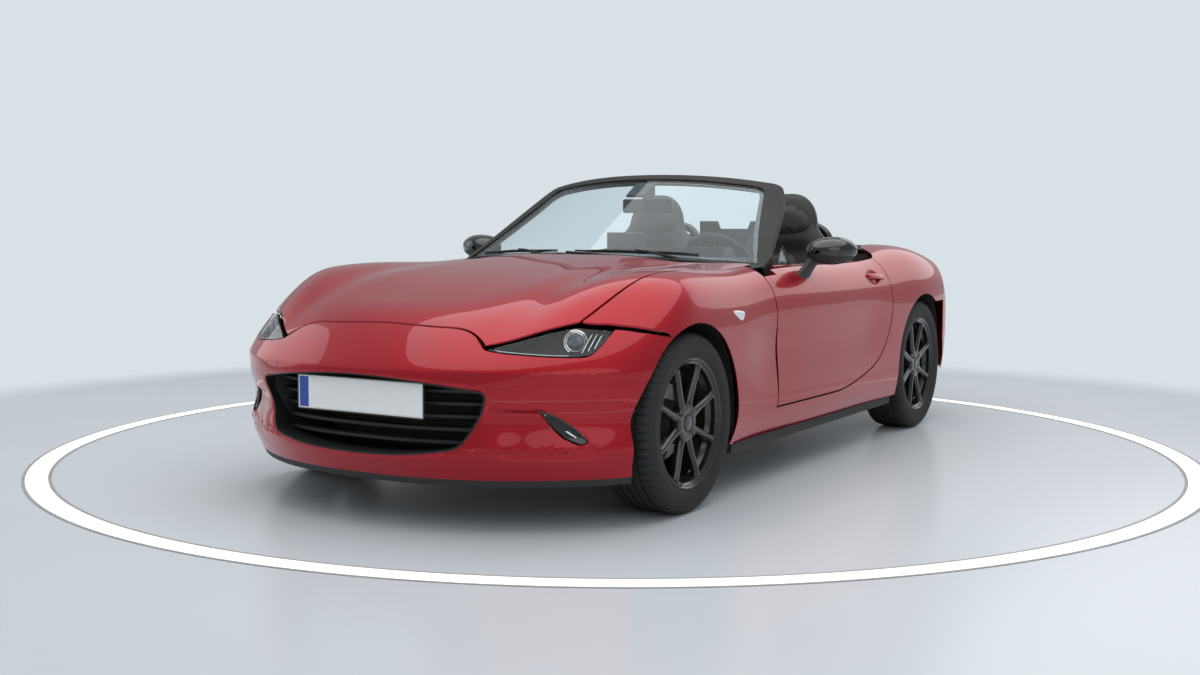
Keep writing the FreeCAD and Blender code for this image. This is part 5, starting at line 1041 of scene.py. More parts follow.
class CAR_OT_stage(bpy.types.Operator):
    """Adds the floor, the soft lights, the world and the camera"""

    bl_idname = "car.stage"
    bl_label = "Stage"

    def execute(self, context):
        scene = context.scene
        scene.view_settings.view_transform = "Standard"
        self.world(scene)
        self.floor(scene)
        self.lights()
        self.camera(scene)
        return {"FINISHED"}

    def world(self, scene):
        """Soft light from all round; the camera, glass and gloss see the pale backdrop."""
        colours = scene.car_colours
        world = bpy.data.worlds.new("studio")
        world.use_nodes = True
        scene.world = world
        tree = world.node_tree
        tree.nodes.clear()
        output = tree.nodes.new("ShaderNodeOutputWorld")
        path = tree.nodes.new("ShaderNodeLightPath")
        shown = None
        for colour, strength, ray in (((0.95, 0.975, 1.0), WORLD_LIGHT, None),
                                      ((0.90, 0.95, 1.0), GLOSS_LIGHT, "Is Glossy Ray"),
                                      (colours.backdrop, 1.0, "Is Transmission Ray"),
                                      (colours.backdrop, 1.0, "Is Camera Ray")):
            made = tree.nodes.new("ShaderNodeBackground")
            made.inputs["Color"].default_value = tone(colour)
            made.inputs["Strength"].default_value = strength
            if shown is None:
                shown = made.outputs[0]
                continue
            mixed = tree.nodes.new("ShaderNodeMixShader")
            tree.links.new(path.outputs[ray], mixed.inputs[0])
            tree.links.new(shown, mixed.inputs[1])
            tree.links.new(made.outputs[0], mixed.inputs[2])
            shown = mixed.outputs[0]
        tree.links.new(shown, output.inputs["Surface"])

    def floor(self, scene):
        """Floor that fades into the backdrop with distance, so that no horizon shows."""
        colours = scene.car_colours
        r = Recipe("studio_floor")
        cloud = r.noise(0.6, 2.0)
        x, y, _ = r.parts(r.place())
        dx = x - RING_CENTRE[0]
        dy = y - RING_CENTRE[1]
        radius = (dx * dx + dy * dy) ** 0.5
        far = ((radius - FLOOR_NEAR) / (FLOOR_FAR - FLOOR_NEAR)).most(0.0).least(1.0)
        share = far * far * (3.0 - far * 2.0)
        base = r.mix(cloud, tone(colours.floor, 0.97), tone(colours.floor, 1.03))
        near = r.surface(Base_Color=base, Roughness=0.20 + cloud * 0.06, Specular_IOR_Level=0.4)
        away = r.node("ShaderNodeEmission", {}, {"Color": tone(colours.backdrop), "Strength": 1.0})
        material = r.finish(r.node("ShaderNodeMixShader", {}, {0: share, 1: near, 2: away}))
        reach = FLOOR_REACH
        corners = [(-reach, -reach, 0), (reach, -reach, 0), (reach, reach, 0), (-reach, reach, 0)]
        self.laid("studio_floor", corners, [(0, 1, 2, 3)], material, CAD_BOX[0][2])
        self.ring("light_ring", [(RING_INNER, RING_OUTER)], finish(glowing_ring))
        joints = [(RING_INNER - RING_JOINT, RING_INNER), (RING_OUTER, RING_OUTER + RING_JOINT)]
        self.ring("light_ring_joint", joints, named("ring_joint"))

    def laid(self, name, verts, faces, material, height):
        mesh = bpy.data.meshes.new(name)
        mesh.from_pydata(verts, [], faces)
        piece = add_object(name, mesh, material)
        piece.location.z = height

    def ring(self, name, bands, material):
        """Flat rings round the car between pairs of radii."""
        turns = np.radians(np.arange(360))
        verts = []
        faces = []
        for low, high in bands:
            start = len(verts)
            for turn in turns:
                for reach in (low, high):
                    x = RING_CENTRE[0] + reach * math.cos(turn)
                    y = RING_CENTRE[1] + reach * math.sin(turn)
                    verts.append((x, y, CAD_BOX[0][2] + RING_PROUD))
            faces += [tuple(start + i for i in face) for face in grid_faces(len(turns), 2, ring=True)]
        self.laid(name, verts, faces, material, 0.0)

    def lights(self):
        """Four soft discs of light round and over the car."""
        for name, place, target, size, power in (
                ("overhead", (0.3, 0.3, 4.2), (0.0, 0.0, 0.0), 6.4, 150),
                ("front_side", (4.6, 5.0, 3.2), (0.4, 0.0, 0.4), 4.6, 50),
                ("far_side", (1.5, -5.6, 2.8), (0.0, 0.0, 0.5), 4.4, 45),
                ("behind", (-5.0, 1.5, 3.2), (0.0, 0.0, 0.5), 4.4, 45)):
            lamp = bpy.data.lights.new(name, "AREA")
            lamp.shape = "DISK"
            lamp.size = size
            lamp.energy = power
            made = add_object(name, lamp)
            made.location = place
            made.rotation_euler = (Vector(target) - Vector(place)).to_track_quat("-Z", "Y").to_euler()

    def camera(self, scene):
        """Camera solved from the photograph's number plate, wheels and outline."""
        yaw, pitch, roll = CAMERA_TURN
        lens = bpy.data.cameras.new("photo_camera")
        lens.sensor_width = 36.0
        lens.lens = CAMERA_LENS
        lens.clip_end = 200.0
        made = add_object("photo_camera", lens)
        ahead = Vector((math.cos(pitch) * math.cos(yaw), math.cos(pitch) * math.sin(yaw), math.sin(pitch)))
        right = ahead.cross(Vector((0, 0, 1))).normalized()
        up = right.cross(ahead)
        turned_right = right * math.cos(roll) + up * math.sin(roll)
        turned_up = up * math.cos(roll) - right * math.sin(roll)
        turn = Matrix((turned_right, turned_up, -ahead)).transposed().to_4x4()
        made.matrix_world = Matrix.Translation(CAMERA_PLACE) @ turn
        scene.camera = made


class CAR_OT_panels(bpy.types.Operator):
    """Lays smooth painted skins over the body's panels"""

    bl_idname = "car.panels"
    bl_label = "Painted panels"

    def execute(self, context):
        longest = context.scene.car_sizes.edge / MM
        for node in PAINTED:
            lining = (named("door_lining"),) if node.startswith("door") else ()
            panel_from(node, finish(red_lacquer), longest, lining)
        return {"FINISHED"}


TREAD_STEPS = 408
BLOCK_STEPS = 6
TREAD_LEAN = 60.0
SHOULDER = 91.5
SPOKES = 8
LUGS = 4
LUG_RADIUS = 50.0


def tyre_build(groove):
    """Tyre about the origin, its outer wall towards +Y: shouldered blocks, main grooves, ribbed walls."""
    top = TYRE_RADIUS
    low = TYRE_RADIUS - groove
    half = [(203.3, 79.7), (208, 84.5), (213, 86.5), (216, 89.5), (219, 90.2), (222, 89.3), (228, 92.6),
            (240, 96.4), (253, 97.5), (264, 97.2), (265, 96.4), (267, 96.4), (268, 96.8), (277, 94.8),
            (284, 91.8), (290, 87.6), (294.5, 82.4), (297.6, 76.5), (299.4, 68.5), (300.2, 60), (300.4, 48),
            (low, 46.5), (low, 39.5), (top, 38), (top, 28), (top, 18), (low, 16.5), (low, 9.5), (top, 8),
            (top, 2)]
    profile = np.array(half + [(r, -y) for r, y in half[::-1]])
    radius = profile[:, 0]
    across = profile[:, 1]
    count = len(profile)
    tread = np.abs(across) < SHOULDER
    wide = tread & (radius > 284) & (np.abs(across) > 46.6)
    rib = tread & (np.abs(across) < 39)
    verts = []
    for k in range(TREAD_STEPS):
        lean = np.where(tread, np.abs(across) / TREAD_LEAN, SHOULDER / TREAD_LEAN)
        turn = 2 * math.pi * (k + lean) / TREAD_STEPS
        cut = np.zeros(count)
        if k % BLOCK_STEPS == 0:
            cut = np.where(wide, 4.5 * ramp(radius, 284, 292), 0.0)
        if (k + 3) % BLOCK_STEPS == 0:
            cut = np.where(rib & (radius > 299), 2.6, cut)
        r = radius - cut
        verts += list(np.stack([r * np.cos(turn), across, r * np.sin(turn)], axis=1))
    return verts, grid_faces(TREAD_STEPS, count, wrap=True, ring=True)


def spoke_build(turn):
    """One ridged spoke about the origin: a blade that narrows outwards, flanked on each side of its ridge."""
    stations = [(38, 21, 77, 34), (50, 19, 77.5, 32), (66, 15.5, 76, 29), (92, 13.5, 75.5, 27),
                (124, 12.5, 77, 26), (156, 11.5, 79.5, 26), (180, 11.5, 81, 27), (192, 14, 81, 28),
                (199.5, 19, 80, 30)]
    rings = []
    for reach, half, top, deep in stations:
        ridge = 0.27 * half
        section = [(-half * 0.92, top - deep), (-half, top - 11), (-half * 0.86, top - 8.5),
                   (-ridge - 1.4, top - 0.8), (-ridge, top), (ridge, top), (ridge + 1.4, top - 0.8),
                   (half * 0.86, top - 8.5), (half, top - 11), (half * 0.92, top - deep)]
        c, s = math.cos(turn), math.sin(turn)
        rings.append([(t * c - reach * s, y, t * s + reach * c) for t, y in section])
    return rings


def wheel_build():
    """Barrel, eight spokes, hub and plain cap about the origin."""
    made = Build()
    barrel = [(219, 87.5), (218, 89), (214, 89), (211.5, 87.5), (208, 84), (203, 80), (197, 76), (196, 68),
              (197.5, 60), (196, 56), (186, 44), (184, 20), (184, -30), (186, -42), (197, -52), (197, -78),
              (203, -82), (212, -86), (218, -89), (219, -88), (219, -84), (203, -80), (203, -53), (190, -27),
              (190, 43), (203, 57), (203, 80), (219, 84)]
    made.lathe(barrel, (0, 0, 0), steps=144, closed=True)
    for i in range(SPOKES):
        made.loft(spoke_build((i + 0.5) * 2 * math.pi / SPOKES))
    hub = [(0, 78.6), (24, 78.6), (27, 77.4), (28, 74), (31, 73), (32.5, 76.4), (35, 77.4), (55, 76.4),
           (60, 74), (63, 68), (64, 44), (0, 44)]
    made.lathe(hub, (0, 0, 0), steps=96)
    return made


def nut_build(turn):
    """Wheel nut at the lug circle, with a ring round its foot."""
    centre = (LUG_RADIUS * math.cos(turn), 0, LUG_RADIUS * math.sin(turn))
    made = Build()
    made.lathe([(0, 83.2), (5.2, 83.0), (8.6, 81.4), (9.4, 79), (9.4, 74)], centre, steps=6)
    made.lathe([(10.8, 76.2), (12.6, 77.6), (14.2, 76.4)], centre, steps=28)
    return made


def disc_build():
    """Ventilated disc and its hat about the origin."""
    made = Build()
    made.lathe([(74, -10), (127.5, -10), (129, -11.5), (129, -16), (123, -17), (123, -23), (129, -24),
                (129, -28.5), (127.5, -30), (74, -30), (73, -28)], (0, 0, 0), steps=96, closed=True)
    hat = Build()
    hat.lathe([(76, -10), (73, -7), (72, 30), (69, 40), (62, 41), (30, 41)], (0, 0, 0), steps=72)
    return made, hat


def moved(build, centre, side):
    """A wheel's part at its place; the right side is the mirror image."""
    made = Build()
    made.verts = [(x + centre[0], y + centre[1], z + centre[2]) for x, y, z in build.verts]
    made.faces = list(build.faces)
    return made if side == "left" else made.other_side()


class CAR_OT_wheels(bpy.types.Operator):
    """Tyres with tread, ridged rims, nuts and brake discs"""

    bl_idname = "car.wheels"
    bl_label = "Wheels and tyres"

    def execute(self, context):
        groove = context.scene.car_sizes.groove / MM
        tyre = Build().add(*tyre_build(groove))
        wheel = wheel_build()
        disc, hat = disc_build()
        nuts = Build()
        for i in range(LUGS):
            made = nut_build(math.pi / LUGS + i * 2 * math.pi / LUGS)
            nuts.add(made.verts, made.faces)
        valve = Build().tube([(0, 78, -188), (0, 88, -183), (0, 96, -178)], [3.2, 3.0, 2.6], 10)
        for axle, x in (("front", FRONT_AXLE), ("rear", REAR_AXLE)):
            parts = (("tread", tyre, finish(rubber), "tyre", 24, "tyre"),
                     ("rim", wheel, finish(black_alloy), "alloy", 28, "wheel"),
                     ("nuts", nuts, named("nut_steel"), "steel", CREASE, None),
                     ("disc", disc, finish(brake_disc, x), "iron", CREASE, None),
                     ("disc_hat", hat, named("hat_iron"), "iron", CREASE, None),
                     ("valve", valve, finish(rubber), "tyre", CREASE, None))
            for side, _ in SIDES:
                tag = f"_{axle}_{side}"
                for name, build, material, slot, angle, solid in parts:
                    made = moved(build, (x, WHEEL_Y, TYRE_RADIUS), side)
                    piece = made.piece(name + tag, material, slot, BODY_OF["wheel" + tag], angle)
                    if solid:
                        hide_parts(solid + tag)
        return {"FINISHED"}


LAMP_LOWER = [(418, 566), (466, 558), (525, 553), (580, 549), (631, 546), (678, 545), (704, 550), (716, 566),
              (724, 592), (731, 625)]
LAMP_UPPER = [(418, 566), (452, 580), (522, 603), (580, 622), (636, 637), (663, 633), (700, 629), (731, 625)]
LAMP_EDGE = 3.6
PROJECTOR_AT = (653.0, 589.0)


def lamp_grid(depth, shrink=0.0, columns=64, rows=20, dish=0.0):
    """Grid over the left headlamp's outline at a depth under the skin, dished towards its middle."""
    share = np.linspace(0, 1, columns)
    share = 0.5 - 0.5 * np.cos(math.pi * share)
    low_y = 418 + LAMP_EDGE * 2.4 + shrink * 2
    high_y = 729 - LAMP_EDGE - shrink
    y = low_y + (high_y - low_y) * share
    lower = np.interp(y, *zip(*LAMP_LOWER)) + LAMP_EDGE + shrink
    upper = np.interp(y, *zip(*LAMP_UPPER)) - LAMP_EDGE - shrink
    upper = np.maximum(upper, lower + 0.4)
    up = np.linspace(0, 1, rows)
    z = lower[:, None] + (upper - lower)[:, None] * up[None, :]
    y = np.repeat(y[:, None], rows, axis=1)
    inside = np.sin(math.pi * share)[:, None] ** 0.5 * np.sin(math.pi * up)[None, :] ** 0.5
    return lifted(cast_x(y, z), -(depth + dish * inside))


class CAR_OT_headlamps(bpy.types.Operator):
    """Headlamps: clear lens, dark bowl, projector, reflector and light strip"""

    bl_idname = "car.headlamps"
    bl_label = "Headlamps"

    def execute(self, context):
        lens = Build().sheet(lamp_grid(1.0), lamp_grid(3.6))
        made = each_side("lamp_lens", lens, named("lamp_glass"), "lamp")
        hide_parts("headlamps")
        bowl = Build().sheet(lamp_grid(4.4, 0.3, dish=46), lamp_grid(7.5, 0.3, dish=46))
        each_side("lamp_bowl", bowl, named("lamp_dark"), "black_paint")
        edge = lamp_grid(4.6, 2.0)[2:62]
        rim = Build().tube(edge[:, 0], 2.2, 8).tube(edge[:, -1], 2.2, 8)
        each_side("lamp_bezel", rim, named("lamp_dark"), "black_paint")
        self.projector()
        light = Build().tube(lamp_grid(8.0, 5.5)[8:44, 0], 2.6, 10)
        each_side("lamp_strip", light, finish(light_guide), "lamp")
        blades = Build()
        for k, y in enumerate((678, 690, 702)):
            front = cast_x(np.full(8, y), np.linspace(558 + k * 6, 622, 8), 12.0)
            blade = np.stack([front, front - np.array([26.0, 0, 0])], axis=1)
            blades.sheet(blade, blade + np.array([0, 3.0, 0]))
        each_side("lamp_fins", blades, named("lamp_chrome"), "light_alloy")
        return {"FINISHED"}

    def projector(self):
        """Round lamp with its rings, clear dome and inner mirror."""
        way = np.array([0.90, 0.42, 0.02])
        centre = cast_x([PROJECTOR_AT[0]], [PROJECTOR_AT[1]])[0] - way * 30
        profile = [(29, -26), (30, -2), (31.5, 4), (30, 6.5), (27, 5), (25.5, 0), (25, -20)]
        ring = Build().lathe(profile, centre, way, 56)
        ring.lathe([(33, -6), (38, -4), (39, 0), (37.5, 2), (33, 0)], centre, way, 56)
        each_side("lamp_ring", ring, named("lamp_chrome"), "light_alloy")
        dome = [(26.0 * math.sin(a), 2 + 12 * math.cos(a)) for a in np.linspace(0, math.pi / 2, 12)]
        glass = Build().lathe(dome + [(25.8, -2), (0, -3)], centre, way, 48)
        each_side("lamp_dome", glass, named("dome_glass"), "lamp")
        core = Build().lathe([(24, -6), (18, -16), (9, -20), (0, -21)], centre, way, 40)
        each_side("lamp_core", core, named("core_metal"), "light_alloy")


TAIL_LAMP = [(660, 626), (600, 604), (545, 618), (521, 662), (540, 708), (590, 728), (650, 722), (712, 700),
             (752, 668), (715, 640)]
TAIL_CENTRE = (600, 666)
STOP_AT = (592, 666)
TURN_AT = (682, 680)
BOOT_TRIM_FRONT = -1345.0
BOOT_TRIM_BACK = -1880.0
BOOT_TRIM_INNER = 473.0
BOOT_TRIM_OUTER = 735.0
BOOT_TRIM_LOW = 686.0
BOOT_TRIM_HIGH = 752.0
BOOT_TRIM_DEPTH = 15.0


def tail_grid(depth, reach, rings=14):
    """Grid over the left tail lamp from its centre out to a share of its outline."""
    edge = np.array(smooth_outline(TAIL_LAMP, 8))
    centre = np.array(TAIL_CENTRE, float)
    places = centre + (edge[None, :, :] - centre) * np.linspace(0, reach, rings)[:, None, None]
    return lifted(cast_x(places[..., 0], places[..., 1], forward=False), -depth)


def tail_base(depth, thick, reach):
    """Closed piece over a share of the lamp's outline."""
    top = tail_grid(depth, reach)
    rings = list(top[::-1]) + list(lifted(top, -thick))
    return Build().loft(rings, caps=(False, False))


def tail_rim(depth, thick, reach, inner):
    """Ring between two shares of the lamp's outline."""
    outer = tail_grid(depth, reach)[-1]
    inside = tail_grid(depth, inner)[-1]
    rings = [outer, inside, lifted(inside, -thick), lifted(outer, -thick), outer]
    return Build().loft(rings, caps=(False, False))


def round_tail(centre, radii, depth=1.2, thick=4.0):
    """Round ring or disc let into the tail lamp."""
    y, z = centre
    turns = np.arange(48) * 2 * math.pi / 48
    rings = [cast_x(y + r * np.cos(turns), z + r * np.sin(turns), forward=False) for r in radii]
    rings = [lifted(ring, -depth) for ring in rings]
    return Build().loft([lifted(rings[0], -thick)] + rings + [lifted(rings[-1], -thick)])


def tail_bar(y, z, proud, sunk=2.0):
    """Flat lamp on the tail; y and z each give two ends and the number of points between them."""
    across, up = np.meshgrid(np.linspace(*y), np.linspace(*z), indexing="ij")
    grid = cast_x(across, up, forward=False)
    return Build().sheet(lifted(grid, proud), lifted(grid, -sunk))


class CAR_OT_tail_lamps(bpy.types.Operator):
    """Tail lamps with round lights, the high brake light and the reflectors"""

    bl_idname = "car.tail_lamps"
    bl_label = "Tail lamps"

    def execute(self, context):
        base = each_side("tail_base", tail_base(2.2, 8.0, 0.985), named("lamp_dark"), "black_paint")
        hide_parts("tail_lamps")
        for name, build, material in (
                ("tail_edge", tail_rim(1.0, 3.0, 0.975, 0.90), "red_lens"),
                ("tail_ring", round_tail(STOP_AT, (34, 37, 48, 52)), "red_lens"),
                ("tail_stop", round_tail(STOP_AT, (1, 14, 26, 28)), "red_lens"),
                ("tail_indicator", round_tail(TURN_AT, (1, 10, 19, 21)), "amber_lens")):
            each_side(name, build, named(material), "red_lamp")
        strip = tail_bar((-92, 92, 31), (768, 781, 5), 1.6)
        strip.piece("brake_light", named("red_lens"), "red_lamp", BODY_OF["boot_lid"])
        reflector = tail_bar((515, 615, 24), (384, 400, 7), 2.4)
        each_side("rear_reflector", reflector, named("red_lens"), "red_lamp")
        self.boot_trim()
        return {"FINISHED"}

    def boot_trim(self):
        """Moulded lining from the tub's walls out to the lid's gutter."""
        x = np.linspace(BOOT_TRIM_FRONT, BOOT_TRIM_BACK, 36)
        edge = np.interp(x, [BOOT_TRIM_BACK, BOOT_TRIM_FRONT], [BOOT_TRIM_LOW, BOOT_TRIM_HIGH])
        share = np.linspace(0, 1, 14)
        grid = np.zeros((len(x), len(share) + 1, 3))
        grid[:, :, 0] = x[:, None]
        grid[:, 0, 1] = BOOT_TRIM_INNER
        grid[:, 0, 2] = edge - 90
        grid[:, 1:, 1] = BOOT_TRIM_INNER + (BOOT_TRIM_OUTER - BOOT_TRIM_INNER) * share
        grid[:, 1:, 2] = edge[:, None] + 110 * share ** 1.5
        flat = grid.reshape(-1, 3)
        near = outside(flat) > -BOOT_TRIM_DEPTH
        flat[near] = onto_body(flat[near], -BOOT_TRIM_DEPTH)[0]
        lining = Build().sheet(grid, grid - np.array([0.0, 0.0, 2.5]))
        each_side("boot_trim", lining, named("grained_plastic"), "black_plastic")


SENSOR_AT = (1561.0, 386.0)


def slot_grid(depth, shrink=0.0, columns=24, rows=6):
    """Grid over the left running lamp slot."""
    upper = [(590, 385), (630, 366), (675, 330), (712, 291)]
    lower = [(590, 383), (618, 340), (655, 302), (699, 281)]
    share = np.linspace(0, 1, columns)
    knots = np.linspace(0, 1, 4)
    top = np.stack([np.interp(share, knots, [p[k] for p in upper]) for k in (0, 1)], axis=1)
    low = np.stack([np.interp(share, knots, [p[k] for p in lower]) for k in (0, 1)], axis=1)
    up = np.linspace(shrink, 1 - shrink, rows)
    places = low[:, None, :] + (top - low)[:, None, :] * up[None, :, None]
    return lifted(cast_x(places[..., 0], places[..., 1]), -depth)


class CAR_OT_nose(bpy.types.Operator):
    """Running lights, the tray and duct of the nose and the lines of its small covers"""

    bl_idname = "car.nose"
    bl_label = "Nose details"

    def execute(self, context):
        shelf = slot_grid(9.0, 0.06)
        insert = Build().sheet(shelf, lifted(shelf, -3.0))
        each_side("slot_back", insert, named("gloss_black"), "black_paint")
        light = slot_grid(5.0, 0.40)[3:-4, 1:-1]
        guide = Build().sheet(light, lifted(light, -5.0))
        each_side("running_light", guide, finish(light_guide), "lamp")
        rail = Build().tube(slot_grid(2.5, 0.0)[1:-1, -1], 2.4, 8)
        each_side("slot_edge", rail, named("gloss_black"), "black_paint")
        self.tray()
        self.covers()
        return {"FINISHED"}

    def tray(self):
        """Flat tray that closes the nose from below, and the duct behind the grille."""
        reach = np.linspace(-1, 1, 31)
        front = cast_x(reach * 640, np.full(31, 176.0), 12.0)
        back = np.stack([np.full(31, FRONT_AXLE + 330.0), reach * 560, np.full(31, 172.0)], axis=1)
        grid = np.array([front * (1 - t) + back * t for t in np.linspace(0, 1, 8)])
        tray = Build().sheet(grid, grid - np.array([0, 0, 3.0]))
        tray.piece("nose_tray", named("liner_plastic"), "black_plastic")
        mouth = [(y * 1.015, 352 + (z - 352) * 1.11) for y, z in MOUTH_EDGE]
        core = [(334 * math.copysign(min(abs(y) / 380, 1), y), 217 + 338 * min(max((z - 232) / 252, 0), 1))
                for y, z in MOUTH_EDGE]
        rings = [[(NOSE - behind, y * wide, z) for y, z in outline] for behind, wide, outline in (
            (112, 1.0, mouth), (318, 1.0, core), (318, 1.01, core), (114, 1.01, mouth))]
        duct = Build().loft(rings, caps=(False, False))
        duct.piece("grille_duct", named("liner_plastic"), "black_plastic")

    def covers(self):
        """Lines of the washer covers and the sensor by the arch."""
        washer = [(366, 480), (368, 493), (378, 499), (430, 496), (440, 491), (442, 480)]
        curve = np.array(smooth_outline(washer + washer[-2:0:-1], 4)[:20])
        line = lifted(cast_x(curve[:, 0], curve[:, 1]), 0.05)
        each_side("washer_line", Build().tube(line, 0.7, 6), named("seam_black"), "black_paint")
        turns = np.linspace(0, 2 * math.pi, 25)[:-1]
        ring = cast_y(SENSOR_AT[0] + 13 * np.cos(turns), SENSOR_AT[1] + 13 * np.sin(turns))
        loop = list(lifted(ring, 0.05))
        each_side("sensor_line", Build().tube(loop + loop[:1], 0.7, 6), named("seam_black"), "black_paint")


MIRROR_AT = (62.0, HALF - 6, 851.0)
MIRROR_POWER = 2.35
MIRROR_STEPS = 56
QUARTER_FOOT = (208.0, HALF - 139.0, 796.3)


class CAR_OT_doors(bpy.types.Operator):
    """Door handles, side repeaters, mirrors and quarter panes"""

    bl_idname = "car.doors"
    bl_label = "Door handles and mirrors"

    def execute(self, context):
        self.handles()
        self.repeaters()
        self.mirrors()
        return {"FINISHED"}

    def handles(self):
        """Pull handles that stand proud over the hand recesses."""
        share = np.linspace(0, 1, 26)
        x = HANDLE_X + 92 - 184 * share
        z = HANDLE_Z + 6 - 10 * share
        spine = cast_y(x, z)
        proud = 12.0 * np.sin(math.pi * np.clip(share * 1.04, 0, 1)) ** 0.45 - 3.0
        way, _ = outward(spine)
        rings = []
        for point, out, rise, s in zip(spine, way, proud, share):
            up = np.cross(out, (1, 0, 0))
            up = up / np.linalg.norm(up)
            up = up if up[2] > 0 else -up
            tall = 12.5 * (0.55 + 0.45 * closing(s, 0.06, 0.5))
            section = superellipse(5.5, tall, 3.0, 18)
            rings.append([point + out * (rise + a) + up * b for a, b in section])
        made = Build().loft(rings)
        each_side("door_handle", made, finish(red_lacquer), "paint", on_door)

    def repeaters(self):
        """Rounded three-cornered lamps behind the front arches."""
        corners = np.array([(946, 655), (851, 648), (882, 619)], float)
        centre = corners.mean(axis=0)
        edge = np.array(smooth_outline([tuple(c) for c in corners], 8))
        edge = centre + (edge - centre) * 0.98
        rings = []
        for share, lift in ((0.02, 2.6), (0.5, 2.6), (0.85, 2.4), (0.97, 1.6), (1.0, 0.2), (1.0, -2.0)):
            places = centre + (edge - centre) * share
            rings.append(list(lifted(cast_y(places[:, 0], places[:, 1]), lift)))
        made = Build().loft(rings)
        each_side("side_repeater", made, finish(light_guide), "lamp")

    def mirrors(self):
        housing, lower, glass = self.housing()
        foot = self.foot()
        made = each_side("mirror_shell", housing, named("gloss_black"), "black_paint", on_door)
        for piece, (side, _) in zip(made, SIDES):
            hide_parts("mirror_" + side)
        each_side("mirror_lower", lower, named("satin_black"), "black_plastic", on_door)
        each_side("mirror_foot", foot, named("satin_black"), "black_plastic", on_door)
        each_side("mirror_pane", glass, finish(mirror_glass), "glass", on_door)
        rear, inner, floor = QUARTER_FOOT
        corners = [(rear + 110, inner, floor), (rear + 4, inner, floor), (rear + 4, inner - 36, floor + 70)]
        pane = Build().add(corners + [(x, y + 4, z) for x, y, z in corners],
                           [(0, 1, 2), (5, 4, 3), (0, 3, 4, 1), (1, 4, 5, 2), (2, 5, 3, 0)])
        each_side("quarter_pane", pane, named("screen_glass"), "glass", on_door)
        line = [(rear + 3, inner + 3, floor), (rear + 1, inner - 15, floor + 35),
                (rear, inner - 33, floor + 71)]
        strut = Build().tube(line, [6.5, 5.5, 4.5], 10)
        each_side("quarter_strut", strut, named("satin_black"), "black_plastic", on_door)

    def housing(self):
        """Shell, lower cover and glass of the left mirror, from its rear opening forwards."""
        x, y, middle = MIRROR_AT
        stations = [(0, 0, 0, 92, 52), (6, 0, 0, 93.6, 53.6), (24, -1, 0, 94, 55), (48, -4, 0, 91, 54),
                    (72, -9, -1, 83, 50), (94, -16, -2, 69, 43), (110, -22, -3, 50, 32),
                    (120, -26, -4, 30, 20), (124, -27, -4, 10, 7)]
        rim = superellipse(84, 45, MIRROR_POWER, MIRROR_STEPS)
        rings = [[(x + 14, y + a * 0.99, middle + b * 0.99) for a, b in rim],
                 [(x, y + a, middle + b) for a, b in rim]]
        under = []
        for dx, dy, dz, wide, tall in stations:
            shape = superellipse(wide, tall, MIRROR_POWER, MIRROR_STEPS)
            tip = np.clip(shape[:, 0] / wide, -1, 1)
            shape[:, 1] = shape[:, 1] * (1 - 0.16 * np.clip(tip, 0, 1) ** 2) + 3.0 * tip
            low = shape[:, 1] < -0.34 * tall
            z = middle + dz
            rings.append([(x + dx, y + dy + a, z + b) for a, b in shape])
            back = 0 if dx else 1.5
            wider = np.where(low, 1.004, 0.97)
            taller = np.where(low, 1.012, 0.93)
            under.append([(x + dx + back, y + dy + a, z + b)
                          for a, b in zip(shape[:, 0] * wider, shape[:, 1] * taller)])
        pane = superellipse(82, 43.5, MIRROR_POWER, MIRROR_STEPS)
        glass = [[(x + 9 - 2.0 * (1 - share ** 2), y + a * share, middle + b * share) for a, b in pane]
                 for share in (0.02, 0.4, 0.75, 1.0)]
        glass.append([(x + 13, y + a, middle + b) for a, b in pane])
        return Build().loft(rings), Build().loft(under), Build().loft(glass)

    def foot(self):
        """Arm of the left mirror, from the door up to its shell."""
        rings = []
        for x, y, z, long, wide in (
                (232, 782, 728, 52, 17), (222, 786, 745, 48, 17), (196, 792, 770, 40, 17),
                (164, 797, 795, 34, 18), (138, 801, 815, 34, 20), (126, 804, 832, 38, 22)):
            rings.append([(x + a, y + b, z + 0.25 * a) for a, b in superellipse(long, wide, 2.4, 32)])
        return Build().loft(rings)


GLASS_HALF = [(0, 607), (300, 628), (480, 657), (520, 639), (538, 587), (571, 474), (604, 367), (645, 251),
              (686, 134), (585, 98), (480, 66), (250, 20), (0, 3)]
GLASS_LEFT = [(-across, up) for across, up in GLASS_HALF[-2:0:-1]]
GLASS_EDGE = GLASS_LEFT[-2:] + GLASS_HALF + GLASS_LEFT[:-2]


def inset_outline(points, distance):
    """Closed outline moved inwards along its corners' bisectors, by one distance or one for each corner."""
    ring = np.array(points, float)
    ahead = np.roll(ring, -1, axis=0) - np.roll(ring, 1, axis=0)
    ahead /= np.linalg.norm(ahead, axis=1, keepdims=True)
    way = np.stack([ahead[:, 1], -ahead[:, 0]], axis=1)
    area = np.sum(ring[:, 0] * np.roll(ring[:, 1], -1) - np.roll(ring[:, 0], -1) * ring[:, 1])
    return ring - way * np.reshape(distance, (-1, 1)) * (1 if area > 0 else -1)


def on_screen(ring, under):
    ring = np.asarray(ring, float)
    return list(screen_at(ring[:, 0], ring[:, 1], under))


